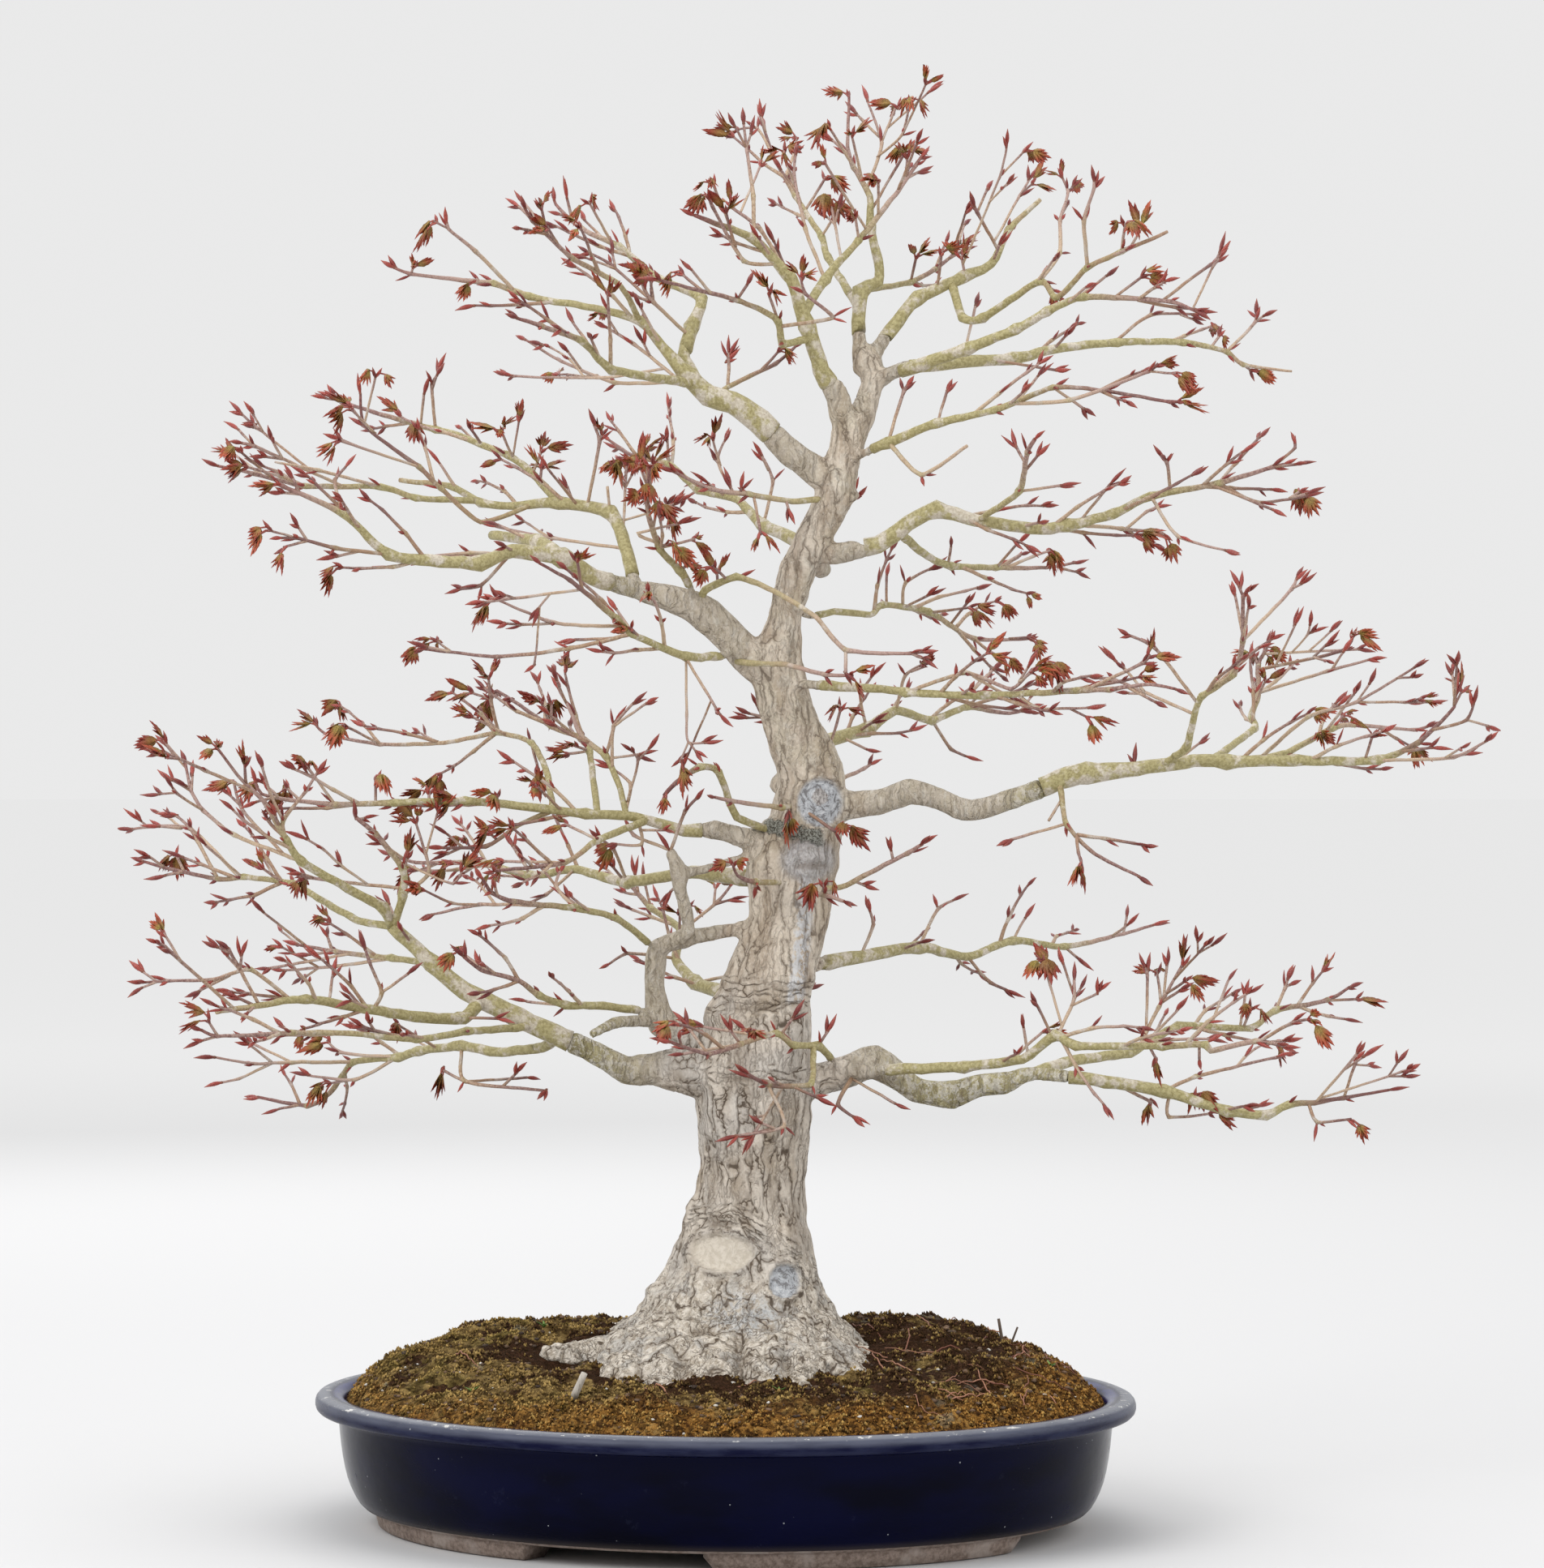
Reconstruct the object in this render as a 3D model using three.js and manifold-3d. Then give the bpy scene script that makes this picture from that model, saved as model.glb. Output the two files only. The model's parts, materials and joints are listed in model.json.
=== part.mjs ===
import * as THREE from "three";
import Module from "manifold-3d";

// A japanese maple trained as an informal upright bonsai, in bud, in a low glazed oval pot.
// Millimetres. X runs across the tree, -Y is the front, +Z is up.

// Pot
const LIP_HALF_LONG = 255;
const LIP_HALF_SHORT = 232;
const POT_TURN = -19;
const POT_SEGMENTS = 32;
const FOOT_BOTTOM = -3;
const FOOT_TOP = 11;
const FOOT_FIRST = -3;
const FOOT_SPAN = 58;
const UNDERSIDE = 6.5;
const FLOOR = 18.5;
const HOLE_OUT = 110;
const HOLE_RADIUS = 12;
// Offset in from the lip's outer line, and height, of each ring of the pot from under to floor.
const POT_PROFILE = [
  [-36, UNDERSIDE],
  [-29, 8.5],
  [-24, 14],
  [-18.5, 28],
  [-14, 65.5],
  [-3, 66.5],
  [0, 70],
  [-0.8, 75.5],
  [-5, 78],
  [-15, 77.5],
  [-19, 72],
  [-22, 40],
  [-27, 24],
  [-38, FLOOR],
];

// Drainage screens
const SCREEN_SIDE = 44;
const SCREEN_THICK = 1;
const SCREEN_HOLE = 8;
const SCREEN_PITCH = 13;

// Soil
const GAP = 0.3;
const SOIL_EDGE = 74.8;
const SOIL_RISE = 37;
const SOIL_RUN = 32;
const SOIL_STEPS = [0, 9, 26, 62, 125];

// Trunk: height, left side and right side of the front view.
const TRUNK_ROWS = [
  [70, -58, 62],
  [114, -60, 68],
  [132, -50, 66],
  [154, -37, 57],
  [188, -21, 51],
  [216, -15, 51],
  [243, -17, 54],
  [277, -20, 55],
  [326, -4, 54],
  [344, 3, 59],
  [368, 15, 65],
  [408, 14, 71],
  [434, 28, 75],
  [456, 33, 74],
  [500, 20, 55],
  [530, 15, 48],
  [556, 27, 48],
  [585, 33, 58],
  [625, 53, 79],
  [650, 62, 84],
  [672, 66, 90],
  [684, 71, 93],
];
// The flared foot that stands for the first two rows in the trunk's own surface.
const TRUNK_FOOT = [
  [70, -100, 108],
  [92, -88, 98],
  [104, -80, 89],
  [114, -71, 80],
  [123, -60, 73],
];
const TRUNK_SIDES = 12;
const TRUNK_DEEP = 0.92;
const FOOT_DEEPER = 0.2;
const TRUNK_SWAY = [
  [70, 0],
  [200, 8],
  [330, -6],
  [430, 4],
  [520, -4],
  [684, 2],
];

// Surface roots: x, y, z and thickness down each root, from inside the trunk foot to the soil.
const ROOTS = [
  [-24, 0, 118, 40, -60, -4, 103, 24, -92, -9, 98, 17, -110, -6, 94, 12],
  [32, 0, 118, 40, 72, -6, 100, 24, 98, -9, 92, 14, 116, -3, 84, 7],
  [-20, -28, 118, 40, -50, -58, 98, 26, -70, -78, 91, 15, -82, -94, 82, 7],
  [6, -34, 114, 44, 4, -70, 97, 27, 0, -88, 90, 15, -4, -100, 80, 7],
  [30, -28, 118, 38, 56, -58, 98, 22, 68, -74, 90, 13, 76, -84, 80, 6],
  [-18, 26, 122, 40, -50, 60, 109, 24, -74, 88, 103, 13, -92, 106, 94, 6],
  [14, 30, 124, 38, 22, 72, 112, 22, 28, 104, 104, 12, 30, 126, 94, 6],
  [34, 24, 118, 36, 70, 52, 106, 21, 95, 74, 98, 12, 112, 90, 90, 6],
];

// Young wood
const EYE_X = 29.5;
const EYE_Z = 452.5;
const EYE_OUT = 3200;
const WOOD_CLEAR = 0.9;
const BUD_LENGTH = 12;
const LEAF_LENGTH = 14;
const TIDY = 0.12;
const SHOOTS_EVERY = 190;
const TWIGS_KEPT = 3;
const TWIGS_OF = 5;
const TWIG_BEFORE_END = 13;

// Each stem: name, stem it grows from, node and how far out its own node starts, depth of its end,
// then x,z:thickness down the stem as seen from the front; n is a swelling.
// The end is a bud b, an opening leaf L or a cut stub s. Twigs of the stem follow after >.
const STEMS = `
low_left trunk spray_low_left@118 -30 -15,275:34 -45,277:20 -60,276:17n -80,287:14 -120,305:12.5 -160,325:11.5 -180,342:9n -205,365:8s
low_left_top low_left - -120 -205,365:6 -210,376:6n -232,388 -261,405:5n -270,418n -284,442 -300,458:2 -318,482:1.6L
> -275,416;-272,430;-258,448;-245,469b -272,430;-280,447;-288,474b -275,417;-281,430;-269,442b -273,405;-297,436;-303,455;-310,460L
> -261,404;-302,421;-321,436;-329,449;-332,465;-335,473b -321,436;-338,447;-344,458b -338,447;-358,446b -329,450;-340,455b
> -290,447;-320,461;-345,472;-356,474b -345,472;-350,483b
low_left_back low_left - 95 -205,364:5 -225,368 -245,379 -266,391:4n -296,395n -312,394:3n -345,401 -366,407:1.6b
> -345,401;-362,413b -312,395;-325,418;-329,425;-338,433;-350,436b -338,433;-346,432b
> -300,420;-329,425;-355,426;-374,423b -355,426;-369,437b -297,396;-327,421b
low_left_rise low_left - -75 -203,365:5 -198,384:5n -198,400:4n -215,422:3n -227,432 -228,442:1.6b
> -220,388;-236,402;-248,413;-268,424b -236,402;-238,411b -220,388;-258,395;-268,401b -227,432;-213,433b -198,400;-192,414L
> -198,384;-182,397;-184,409;-193,438L -184,409;-174,445L -182,397;-167,391;-158,408L
fan_front low_left spray_fan_front@22 -165 -150,320:9 -160,308:8 -190,309 -222,314:6 -258,320n -280,317:4 -313,312:3s
> -267,322;-292,338;-315,332;-343,331;-370,329b -315,332;-345,352;-357,357b -290,338;-306,351;-314,356b -306,351;-321,356b
> -217,311;-211,324;-219,343;-224,361b -211,324;-187,341b -243,322;-240,345b -155,304;-130,308b
fan_tan low_left - 60 -178,340:4.5 -187,343:4.5 -205,345:4n -239,349:3n -271,355:1.6b
> -230,346;-290,337b -205,343;-240,340;-280,337b
fan_back low_left spray_fan_back@20 175 -100,296:7 -112,290:6.5 -140,287 -162,291:6n -188,288n -201,284:5n -229,281:4n -243,262 -257,254:3n -296,261:1.6b
> -201,284;-237,287;-249,300L -201,284;-228,270;-266,274b -229,282;-267,281;-290,280;-325,286b -267,281;-300,297b
> -162,291;-160,269;-108,263;-112,257b -160,269;-112,272b -160,268;-176,277;-178,273L
fan_low low_left spray_fan_low@20 -215 -118,304:6 -128,302:5 -158,300n -190,295:4n -235,299 -267,299:3n -313,297:2n -330,305:1.6b
> -190,295;-218,301;-230,308b -267,299;-279,308b
riser trunk - -34 -5,286:19 -28,300:17 -38,305:18n -43,325:13 -42,343:14 -40,352:12n -22,362:9 -27,388:8 -27,397:10n -34,412:6n -41,423:3b
> -28,413;-24,436;-10,450b -34,412;-56,421;-62,432b
riser_link riser - 0 -40,352:11 -25,357:10n 8,363:9 30,368:8s
riser_link_top riser - 0 -27,397:7 -8,401:6 14,408:6 34,412:6s
riser_front riser spray_riser_front@16 -190 -42,350:5 -67,370:4n -92,376:4n -130,380:3n -144,386:2.4n -153,402:1.6b
> -92,376;-104,390;-97,407b -104,390;-120,410b -105,381;-151,378;-189,370b -151,378;-168,379;-193,391L
riser_low riser spray_riser_low@16 -120 -47,312:5 -75,316:5 -98,316n -114,322:4n -126,331 -150,338:2.5 -168,352:1.6b
> -150,338;-154,350b -98,316;-131,319b
riser_stub riser - -60 -45,306:8 -65,306:8 -82,298:6s
left_mid trunk spray_left_mid@62 -100 25,416:14 -6,424:11n -25,424:7 -55,432:6 -85,434:5.5n -135,440:5 -160,442:4.5n -203,441:4n -240,440:3n -285,446:2 -291,465:1.5b
> -140,440;-140,452L -182,441;-182,455L -215,441;-215,463L -240,441;-262,470L -262,443;-275,455L -160,442;-175,445L
left_mid_rise left_mid - 10 -60,432:4 -66,455 -73,470:4n -88,482:3 -96,500:2 -107,520:1.5b
> -73,470;-66,494;-62,500b -68,462;-68,488;-48,511b -68,488;-40,508b -50,438;-58,453;-80,470b -53,440;-53,468;-64,479b -53,468;-42,472b
left_mid_tall left_mid - 110 -78,434:4.5 -83,473:4n -88,481n -107,488:3n -140,510:2 -148,500:1.5L
> -83,473;-103,470L -83,473;-98,478L -107,488;-115,509L -107,488;-106,509L -132,505;-138,504b
left_mid_back left_mid spray_left_mid_back@14 165 -105,438:4 -110,462:4 -119,478:3.5n -139,484:3n -172,478 -212,477:2.4n -245,483:2 -255,493:1.5L
> -139,485;-144,505;-146,527L -144,505;-163,511L -212,477;-240,492L -119,478;-113,455L
left_mid_droop left_mid spray_left_mid_low@14 -170 -48,429:5 -78,418:4n -98,404:3n -150,398:1.6b
> -98,404;-145,405L -78,418;-104,431L -52,426;-51,415;-76,416L -52,424;-30,424b
left_mid_low left_mid - -30 -105,437:3.5 -127,427 -147,414:2.5n -185,413:1.6b
> -140,418;-150,427L
left_arch trunk - -60 8,432:5 -3,460:4n -15,463:4n -30,453:3 -42,440:1.8L
upper_mid trunk - -14 30,522:26 18,528:24 0,547:22 -15,560:20n -30,566:17 -50,571:14s
upper_mid_rise upper_mid spray_upper_mid_rise@22 100 -46,568:9 -55,575:9 -60,595:8 -70,620:8n -102,626:7n -130,624:5 -150,626:5n -168,636:4n -200,640:3s
> -70,622;-72,636s -84,626;-77,664;-84,682b -77,664;-72,676L -66,600;-60,657L -92,626;-100,645b -62,615;-33,624;-26,633b -33,624;-31,615L
> -60,598;-105,604;-150,613b
upper_mid_top upper_mid_rise spray_upper_mid_top@16 185 -102,628:6 -118,644:5 -133,655:4.5n -165,668:4 -178,671:4n -210,680:3 -237,689:2 -245,700:1.5b
> -237,689;-256,692b -178,671;-180,699;-171,712b -180,699;-184,703b -128,655;-140,676L -128,655;-125,685L -118,644;-110,665L -112,640;-112,655L
upper_mid_out upper_mid_rise spray_upper_mid_out@16 45 -152,627:4.5 -190,629:4n -212,636:4n -258,636:3.4n -290,644:2.5n -323,651:1.5b
> -212,637;-250,646;-277,651s -235,640;-290,661;-305,663b -290,661;-305,677b -250,651;-290,674;-304,687b -290,674;-297,673b
upper_mid_fan upper_mid_rise - 20 -118,624:3.5 -150,614:3 -175,635:3n -188,648:3n -222,674:2 -224,705:1.5b
> -222,674;-213,712L -188,648;-245,667L
upper_mid_olive upper_mid spray_upper_mid_olive@24 -130 -50,571:12 -80,580:11 -100,592:10n -130,596:9 -150,589:8n -175,590:7.5 -207,594:6n -236,620:4n -272,636:2.4n -281,640:1.5L
> -208,592;-240,598;-263,604;-283,604b -263,604;-287,611L -225,594;-250,590b -236,618;-240,640;-226,655b -130,596;-150,575;-172,572b
upper_mid_gnarl upper_mid_olive - 45 -100,590:9 -115,602:8n -143,606:6s
upper_mid_front upper_mid spray_upper_mid_front@18 -215 0,532:6 -24,531:5n -57,545:4n -67,555:4n -95,578:2.4n -120,592:1.5b
> -57,545;-95,536;-140,531;-188,536;-195,537L -60,551;-105,552;-149,570b -105,552;-160,563b -105,552;-121,553b -95,536;-117,526;-124,521b
> -67,541;-101,541b -24,530;-23,495;-22,478;0,479b -22,478;3,486b -23,495;-26,462b
cross_low upper_mid - -80 8,528:4 38,526 62,520:2.6n 85,519:1.5L
cross_high upper_mid - -95 -12,572:5 8,580:4n 30,572 56,556:3 75,535:3n 115,533:2n 132,536:1.5b
> 115,533;132,526b 75,535;75,518;80,512b -5,578;-5,590L 2,579;-12,592L
upper_mid_spur upper_mid spray_upper_mid_spur@14 -110 -20,572:5 -27,584:5n -40,598:4n -47,620:3n -47,635:2.6n -45,655:1.5L
> -47,635;-55,657L -47,635;-50,667L -43,610;-40,633L -45,600;-53,607;-15,616b -40,598;-12,605L -40,598;-28,605L -27,584;-18,592L
upper_left trunk spray_upper_left@74 -18 75,632:20 42,656:17 22,676:15n 5,688:14 -10,692:13n -22,704:10n -38,722:6 -52,738:5n -80,746:4.4 -120,753:4n -142,761:3.4n -193,767:2n -212,775:1.5b
> -128,759;-153,781;-170,795;-171,810b -170,795;-185,803L -193,767;-190,778L -150,761;-160,768L
upper_left_rise upper_left spray_upper_left_rise@14 105 -18,698:10 -25,715:9 -20,735:8n -14,752:6n -42,765:4.5n -65,784:4n -88,795:3n -104,810:2 -106,820:1.5b
> -26,730;-44,750;-49,757;-55,771L -26,730;-70,773;-93,784b -49,757;-50,771L
upper_left_mid upper_left - -120 -52,738:4 -64,760 -94,777:3n -118,800:2.4n -127,815:1.5b
> -118,800;-133,815b -52,735;-95,741;-150,744;-177,750;-220,769b
upper_left_low upper_left spray_upper_left_low@18 -165 -22,700:6 -69,708:5n -88,726:4n -113,735:3n -135,742:1.6b
> -28,705;-56,724;-82,740b -38,707;-75,703;-130,704;-142,707b -30,696;-67,700;-100,713;-130,731b -88,709;-103,728b -28,697;-40,722;-35,730L -40,722;-55,735b
upper_left_spur upper_left - 45 -6,690:4 3,698 32,712:2.5n 50,728:1.5b
> 0,700;3,715;1,727b 3,715;8,720b
mid_row trunk - -75 58,628:4 42,627:3.6 15,631:3.4n -10,635:2.6n -40,650:1.6b
> 18,630;24,600L 38,628;43,612b 5,632;0,646b 10,632;12,645b
crown_left trunk spray_crown_left@34 -45 75,672:17 70,690:14 60,708:11 51,735:9n 43,760:7.5 39,767:7n 18,789:5n -18,803:2.4 -27,808:1.5b
> 18,789;18,815;14,843;11,870b 32,772;12,775;-7,808;-12,820L 39,767;22,795;5,808;2,818L 5,795;-10,830L 18,815;25,840L
crown_mid crown_left - 60 49,742:6 62,764:5.5n 83,788:4n 107,818:3 118,834:2.2n 126,846:1.5b
> 62,764;50,795;43,830;46,850b 43,830;58,842L 83,788;80,810L 72,776;64,820L 95,803;95,832L
crown_front crown_left - -115 52,727:5 36,724n 33,739:4n 8,751:3n -20,758:2.4 -50,766:1.6b
> 36,735;67,740;50,755;46,772L 8,751;20,770b 33,739;25,762L
crown_right trunk spray_crown_right@64 45 82,672:18 92,700:14 88,712:18n 83,725:9 84,756:9n 95,762:6n 95,775:6 90,797:5n 90,815:4 80,833:3n 76,845:2.4 77,872:1.8 77,884:1.5L
> 90,820;97,848;85,882b 97,848;106,871;103,878L 97,838;110,853;116,882L 110,853;128,892L 110,853;134,886b 92,805;115,848L 80,833;60,865L
crown_right_low crown_right - 120 86,756:4 115,762:3.6n 130,770:3n 140,778:2 147,788:1.5L
> 115,762;120,785L 130,770;140,795b
crown_right_back crown_right spray_crown_back@14 175 84,745:6 64,777:4.4n 60,790:4n 44,815:3n 30,840:2.4n 20,872:1.5b
> 30,840;20,857;0,855L 60,790;74,812b 50,806;66,832L
top_front crown_right spray_top_front@26 -95 90,702:10 115,709:8.5 150,721:7n 180,733:5.5n 199,744:5n 222,753:4n 275,750:2.4n 300,740:1.5b
> 270,752;300,773;313,777b 300,773;310,790b 240,752;265,771L
top_rise crown_right spray_top_rise@24 25 90,714:10 103,733:9 119,752:8n 148,765:7n 165,773:5.5 176,795:4n 195,813:3s
> 160,786;156,805;150,818b 156,805;166,828b 165,786;182,815;193,833b 148,785;170,827;176,855b 170,827;190,848L 148,767;145,785L 130,760;135,787L
top_mid top_rise - -95 140,762:6 147,740:5n 160,740:5n 195,763:4n 205,752:3.5n 224,771:3.4n 245,781:3n 265,789:2.4 273,793:2s
> 195,763;207,780;207,800;212,818;205,833L 212,818;221,826L 224,771;222,800;228,820;227,835b 228,820;234,828b 245,781;248,804L 250,784;261,802L
top_back crown_right spray_top_back@26 140 95,700:9 110,709:9 150,713:8 178,715:7n 205,721:6 242,725:5n 283,725:4n 310,719:3n 320,711:2.6n 350,707:1.6s
> 310,720;328,738;326,750b 328,738;340,746b 165,712;215,706b 240,728;263,742;300,742b 300,722;309,734L 147,714;157,757b
right_thin trunk spray_right_thin@24 -130 72,652:7 101,663:6n 131,675:5n 167,683:4n 203,697:3n 235,695:2.4n 275,688:2n 287,690:1.5L
> 178,686;213,689;262,707;270,716L 262,707;285,705L 203,697;230,678b 101,663;111,695;119,704b 131,678;140,705b
dead_twig right_thin - -60 104,660:3 122,643:2.6n 150,661:2s
right_upper trunk spray_right_upper@44 -40 65,594:14 95,600:11 113,613:10 131,622:9n 155,615:8 195,610:7.5 212,612:7n 240,619:5.5n 263,630:4.6n 305,638:3.4n 338,648:2.4n 355,652:1.5b
> 338,648;352,660;350,672b 338,648;365,651b 305,637;330,626;370,632b 300,637;348,618b 305,638;316,651;336,673b 275,634;273,651;265,659b 273,651;278,658b
> 263,630;280,605;320,594b 218,616;245,646b 215,609;245,610;270,607;272,598L
right_upper_rise right_upper - -110 157,617:4 182,633:4n 187,657:3n 195,671:2b
> 182,633;218,638b 187,650;176,668b
right_upper_low right_upper spray_right_upper_low@16 150 110,606:6 125,593:5 140,587:4.4n 168,586:3.6n 199,586:2.4 222,590:1.5b
> 139,590;141,608b 168,586;190,598b
right_middle trunk spray_right_middle@30 195 55,556:5 68,559:4.5 90,557:4 98,563:4n 126,559:4n 154,542:3n 195,542:1.6b
> 154,542;167,532;178,530L 110,562;112,577;137,590b 112,572;136,574b 100,562;100,590b 140,552;156,572b
right_lower trunk spray_right_lower@34 -200 45,514:7 98,511:5 112,509:5n 160,507:4.4n 217,510:3.4n 238,511:3n 263,514:2 288,509:1.5b
> 112,510;149,521;177,511;190,523;205,528L 180,508;195,499;235,500b 222,510;258,527;265,537L
big_right trunk spray_big_right@150 -26 60,438:21 95,441:16 115,448:15n 135,442:14 152,436:14 180,444:13 212,457:12n 224,459:13n 255,462:9 290,467:8 310,466:8n 352,467:6n 403,467:5n 428,478:3n 450,500:2 450,520:1.5b
> 450,500;458,516L 436,485;458,492;465,512b 458,492;479,486b 403,467;450,469;479,484b 395,467;402,490L 253,462;253,475b
big_right_top big_right spray_big_right_top@14 90 308,466:5 345,471:4n 375,487:3.6n 388,489:3n 425,486:2n 441,490:1.5b
> 330,478;360,494;390,503;435,530b 390,503;420,503;446,503b 420,503;437,507L 390,503;404,523b 375,493;388,507b 360,480;372,485L
big_right_front big_right spray_big_right_front@14 -135 270,463:5 285,475:4.6n 291,500:4 295,507:4n 314,520:3.4n 320,541:3n 320,568:2.4n 329,577:1.5b
> 320,568;314,583b 320,541;350,573;355,587b 350,573;365,580b 287,505;265,537;240,548b 284,497;240,517;222,517b
big_right_back big_right spray_big_right_back@14 165 300,466:5 327,487:4.4n 325,494:4n 330,510:3.6 329,525:3n 335,538:1.8L
> 329,525;325,538L 330,523;382,535;390,550L 382,535;400,536b 350,530;360,545;362,560b 360,545;372,549b 340,526;356,559b 335,507;372,522;408,532b
big_right_low big_right - -75 207,452:4 211,428:3n 229,409:2.4 265,391:1.5b
> 211,428;166,415b 176,438;200,430s 200,455;204,462;209,478b 185,448;175,475b
low_right trunk spray_low_right@206 -40 40,270:28 50,268:22 78,276:18n 93,282:19n 118,264:16 140,261:16n 158,267:14 173,268:13n 190,274:9 228,270:8 271,263:7n 310,251:6n 334,248:5.5n 348,255:4n 364,256:3.4 382,259:2.4n 422,266:1.5b
> 382,260;389,280;395,290b 389,280;407,278b 360,258;366,244;394,247L 364,260;397,294b 362,262;418,275;431,279b 271,263;291,272;340,284;355,289b 240,267;264,256;266,250L 274,260;274,247;308,250L 290,258;295,266L
low_right_front low_right spray_low_right_front@34 -150 66,278:9 86,275:8n 110,277:7 148,278:6n 184,283:6 204,298:6n 217,291:5n 270,291:4n 297,292:4n 300,288:3.6 328,294:3n 356,289:1.6b
> 205,296;216,321;215,342b 216,321;225,333b 216,321;206,351b 204,305;195,350L 217,314;233,325;233,333b 233,325;240,332b 200,300;188,326b 184,290;183,313b 262,290;270,276L 330,295;350,305;368,309L 293,290;293,274b
low_right_back low_right spray_low_right_back@18 150 176,270:8 215,282:7 250,287:6n 280,303:5n 325,302:4n 340,313:4n 372,319:2.6n 393,332:1.6b
> 372,319;398,320L 340,313;346,327;349,341b 346,327;357,334b 318,302;323,333b 320,303;328,322L 255,292;268,315;283,342;285,348L
> 258,300;261,335;256,348b 261,335;263,347b 262,325;274,350b 280,330;303,360b 300,318;314,340b 278,320;290,335L
low_front low_right spray_low_front@22 -165 70,279:5 58,291:4.6n 43,291:4n 32,299:3.6n 10,292:3n -10,286:2.6n -41,296:1.5b
> 10,292;-36,284b -10,286;-30,313b 10,292;-3,310b 20,296;5,307b 58,291;70,309b 35,298;49,317b
low_front_b low_front - -105 55,285:4 53,267:3.6n 27,267:3n 6,279:1.6b
> 27,267;37,241;-5,234b 37,245;12,227b 40,262;67,255b
low_right_small low_right - -60 84,276:3 70,255:2.4n 87,243:1.5b
> 80,270;115,250b
mid_small trunk - -58 60,388:4 75,390:3.4 113,410:2.6n 130,420:1.5b
> 105,404;101,421b 80,393;96,386b
mid_front trunk - -72 46,392:4 20,392:3.6n 8,396:2 4,408:1.5L
> 20,392;17,380b
mid_front_b trunk - -66 40,386:4 62,384:3n 80,378:1.6b
> 62,384;60,398L
front_cross trunk - -88 48,440:4 35,438:3.4n 5,442:2.6n -12,446:1.6b
> 40,438;45,455L 40,438;40,428L 45,440;68,424;78,430L
mid_right_twig trunk - 60 70,455:3 86,462:2.4n 95,468:1.5b
> 62,500;74,506L
back_low trunk spray_back_low@48 235 14,300:15 2,322:10 -18,330:8n -30,345:6 -26,362:5n -45,376:4n -60,392:2.4 -75,398:1.5b
> -18,330;20,338;44,352b -30,345;-60,348;-78,336b -26,362;-4,380;10,398b -45,376;-52,402b 2,322;34,318;62,330b
back_mid trunk spray_back_mid@48 245 34,452:13 60,478:9 88,486:8n 106,498:6 128,492:5n 150,500:4n 176,496:2.4 196,502:1.5b
> 88,486;84,508;98,528b 106,498;112,520;130,530b 128,492;140,474;158,466b 60,478;30,492;6,498b 150,500;166,516b 72,482;96,470b
back_high trunk spray_back_high@46 240 60,585:12 46,602:8.5 24,612:7n 8,628:5.4 -16,634:5n -34,650:4n -58,656:2.4 -76,668:1.5b
> 24,612;30,640;20,662b 8,628;-4,652;4,672b -16,634;-34,622b 46,602;72,622;84,640b -34,650;-36,674b 34,608;58,600b
back_left trunk spray_back_left@44 225 10,395:11 -20,398:8 -60,392:7n -92,400:5.4 -120,396:5n -150,404:4n -190,404:2.4 -214,412:1.5b
> -60,392;-68,412;-84,424b -92,400;-110,384;-128,376b -120,396;-128,416b -150,404;-170,392b -20,398;-40,380b -150,404;-162,422L
back_right trunk spray_back_right@44 230 45,340:12 84,346:8.5 120,352:7n 150,346:5.4 178,356:5n 210,352:4n 246,360:2.4 272,368:1.5b
> 84,346;92,366;86,384b 120,352;132,376;150,384b 150,346;164,330;184,322b 178,356;190,378b 210,352;226,338b 246,360;250,378b
`;

const wasm = await Module();
wasm.setup();

function seeded(seed) {
  let a = seed >>> 0;
  return () => {
    a = (a + 0x6d2b79f5) >>> 0;
    let t = a;
    t = Math.imul(t ^ (t >>> 15), t | 1);
    t ^= t + Math.imul(t ^ (t >>> 7), t | 61);
    return ((t ^ (t >>> 14)) >>> 0) / 4294967296;
  };
}

// A closed solid skinned over rings of points; an end is a point or a flat cap.
function skin(rings, first, last) {
  const points = [];
  const faces = [];
  const n = rings[0].length;
  for (const ring of rings) {
    points.push(...ring);
  }
  for (let i = 0; i + 1 < rings.length; i++) {
    for (let j = 0; j < n; j++) {
      const a = i * n + j;
      const b = i * n + ((j + 1) % n);
      faces.push([a, b, b + n], [a, b + n, a + n]);
    }
  }
  const close = (start, point, turned) => {
    if (point) {
      points.push(point);
      const c = points.length - 1;
      for (let j = 0; j < n; j++) {
        const a = start + j;
        const b = start + ((j + 1) % n);
        faces.push(turned ? [c, b, a] : [c, a, b]);
      }
      return;
    }
    for (let j = 1; j + 1 < n; j++) {
      const t = [start, start + j, start + j + 1];
      faces.push(turned ? [t[0], t[2], t[1]] : t);
    }
  };
  close(0, first, true);
  close((rings.length - 1) * n, last, false);
  let volume = 0;
  for (const [a, b, c] of faces) {
    volume += points[a].dot(new THREE.Vector3().crossVectors(points[b], points[c]));
  }
  if (volume < 0) {
    for (const f of faces) {
      f.reverse();
    }
  }
  const mesh = new wasm.Mesh({
    numProp: 3,
    vertProperties: new Float32Array(points.flatMap((p) => [p.x, p.y, p.z])),
    triVerts: new Uint32Array(faces.flat()),
  });
  return new wasm.Manifold(mesh);
}

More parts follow.
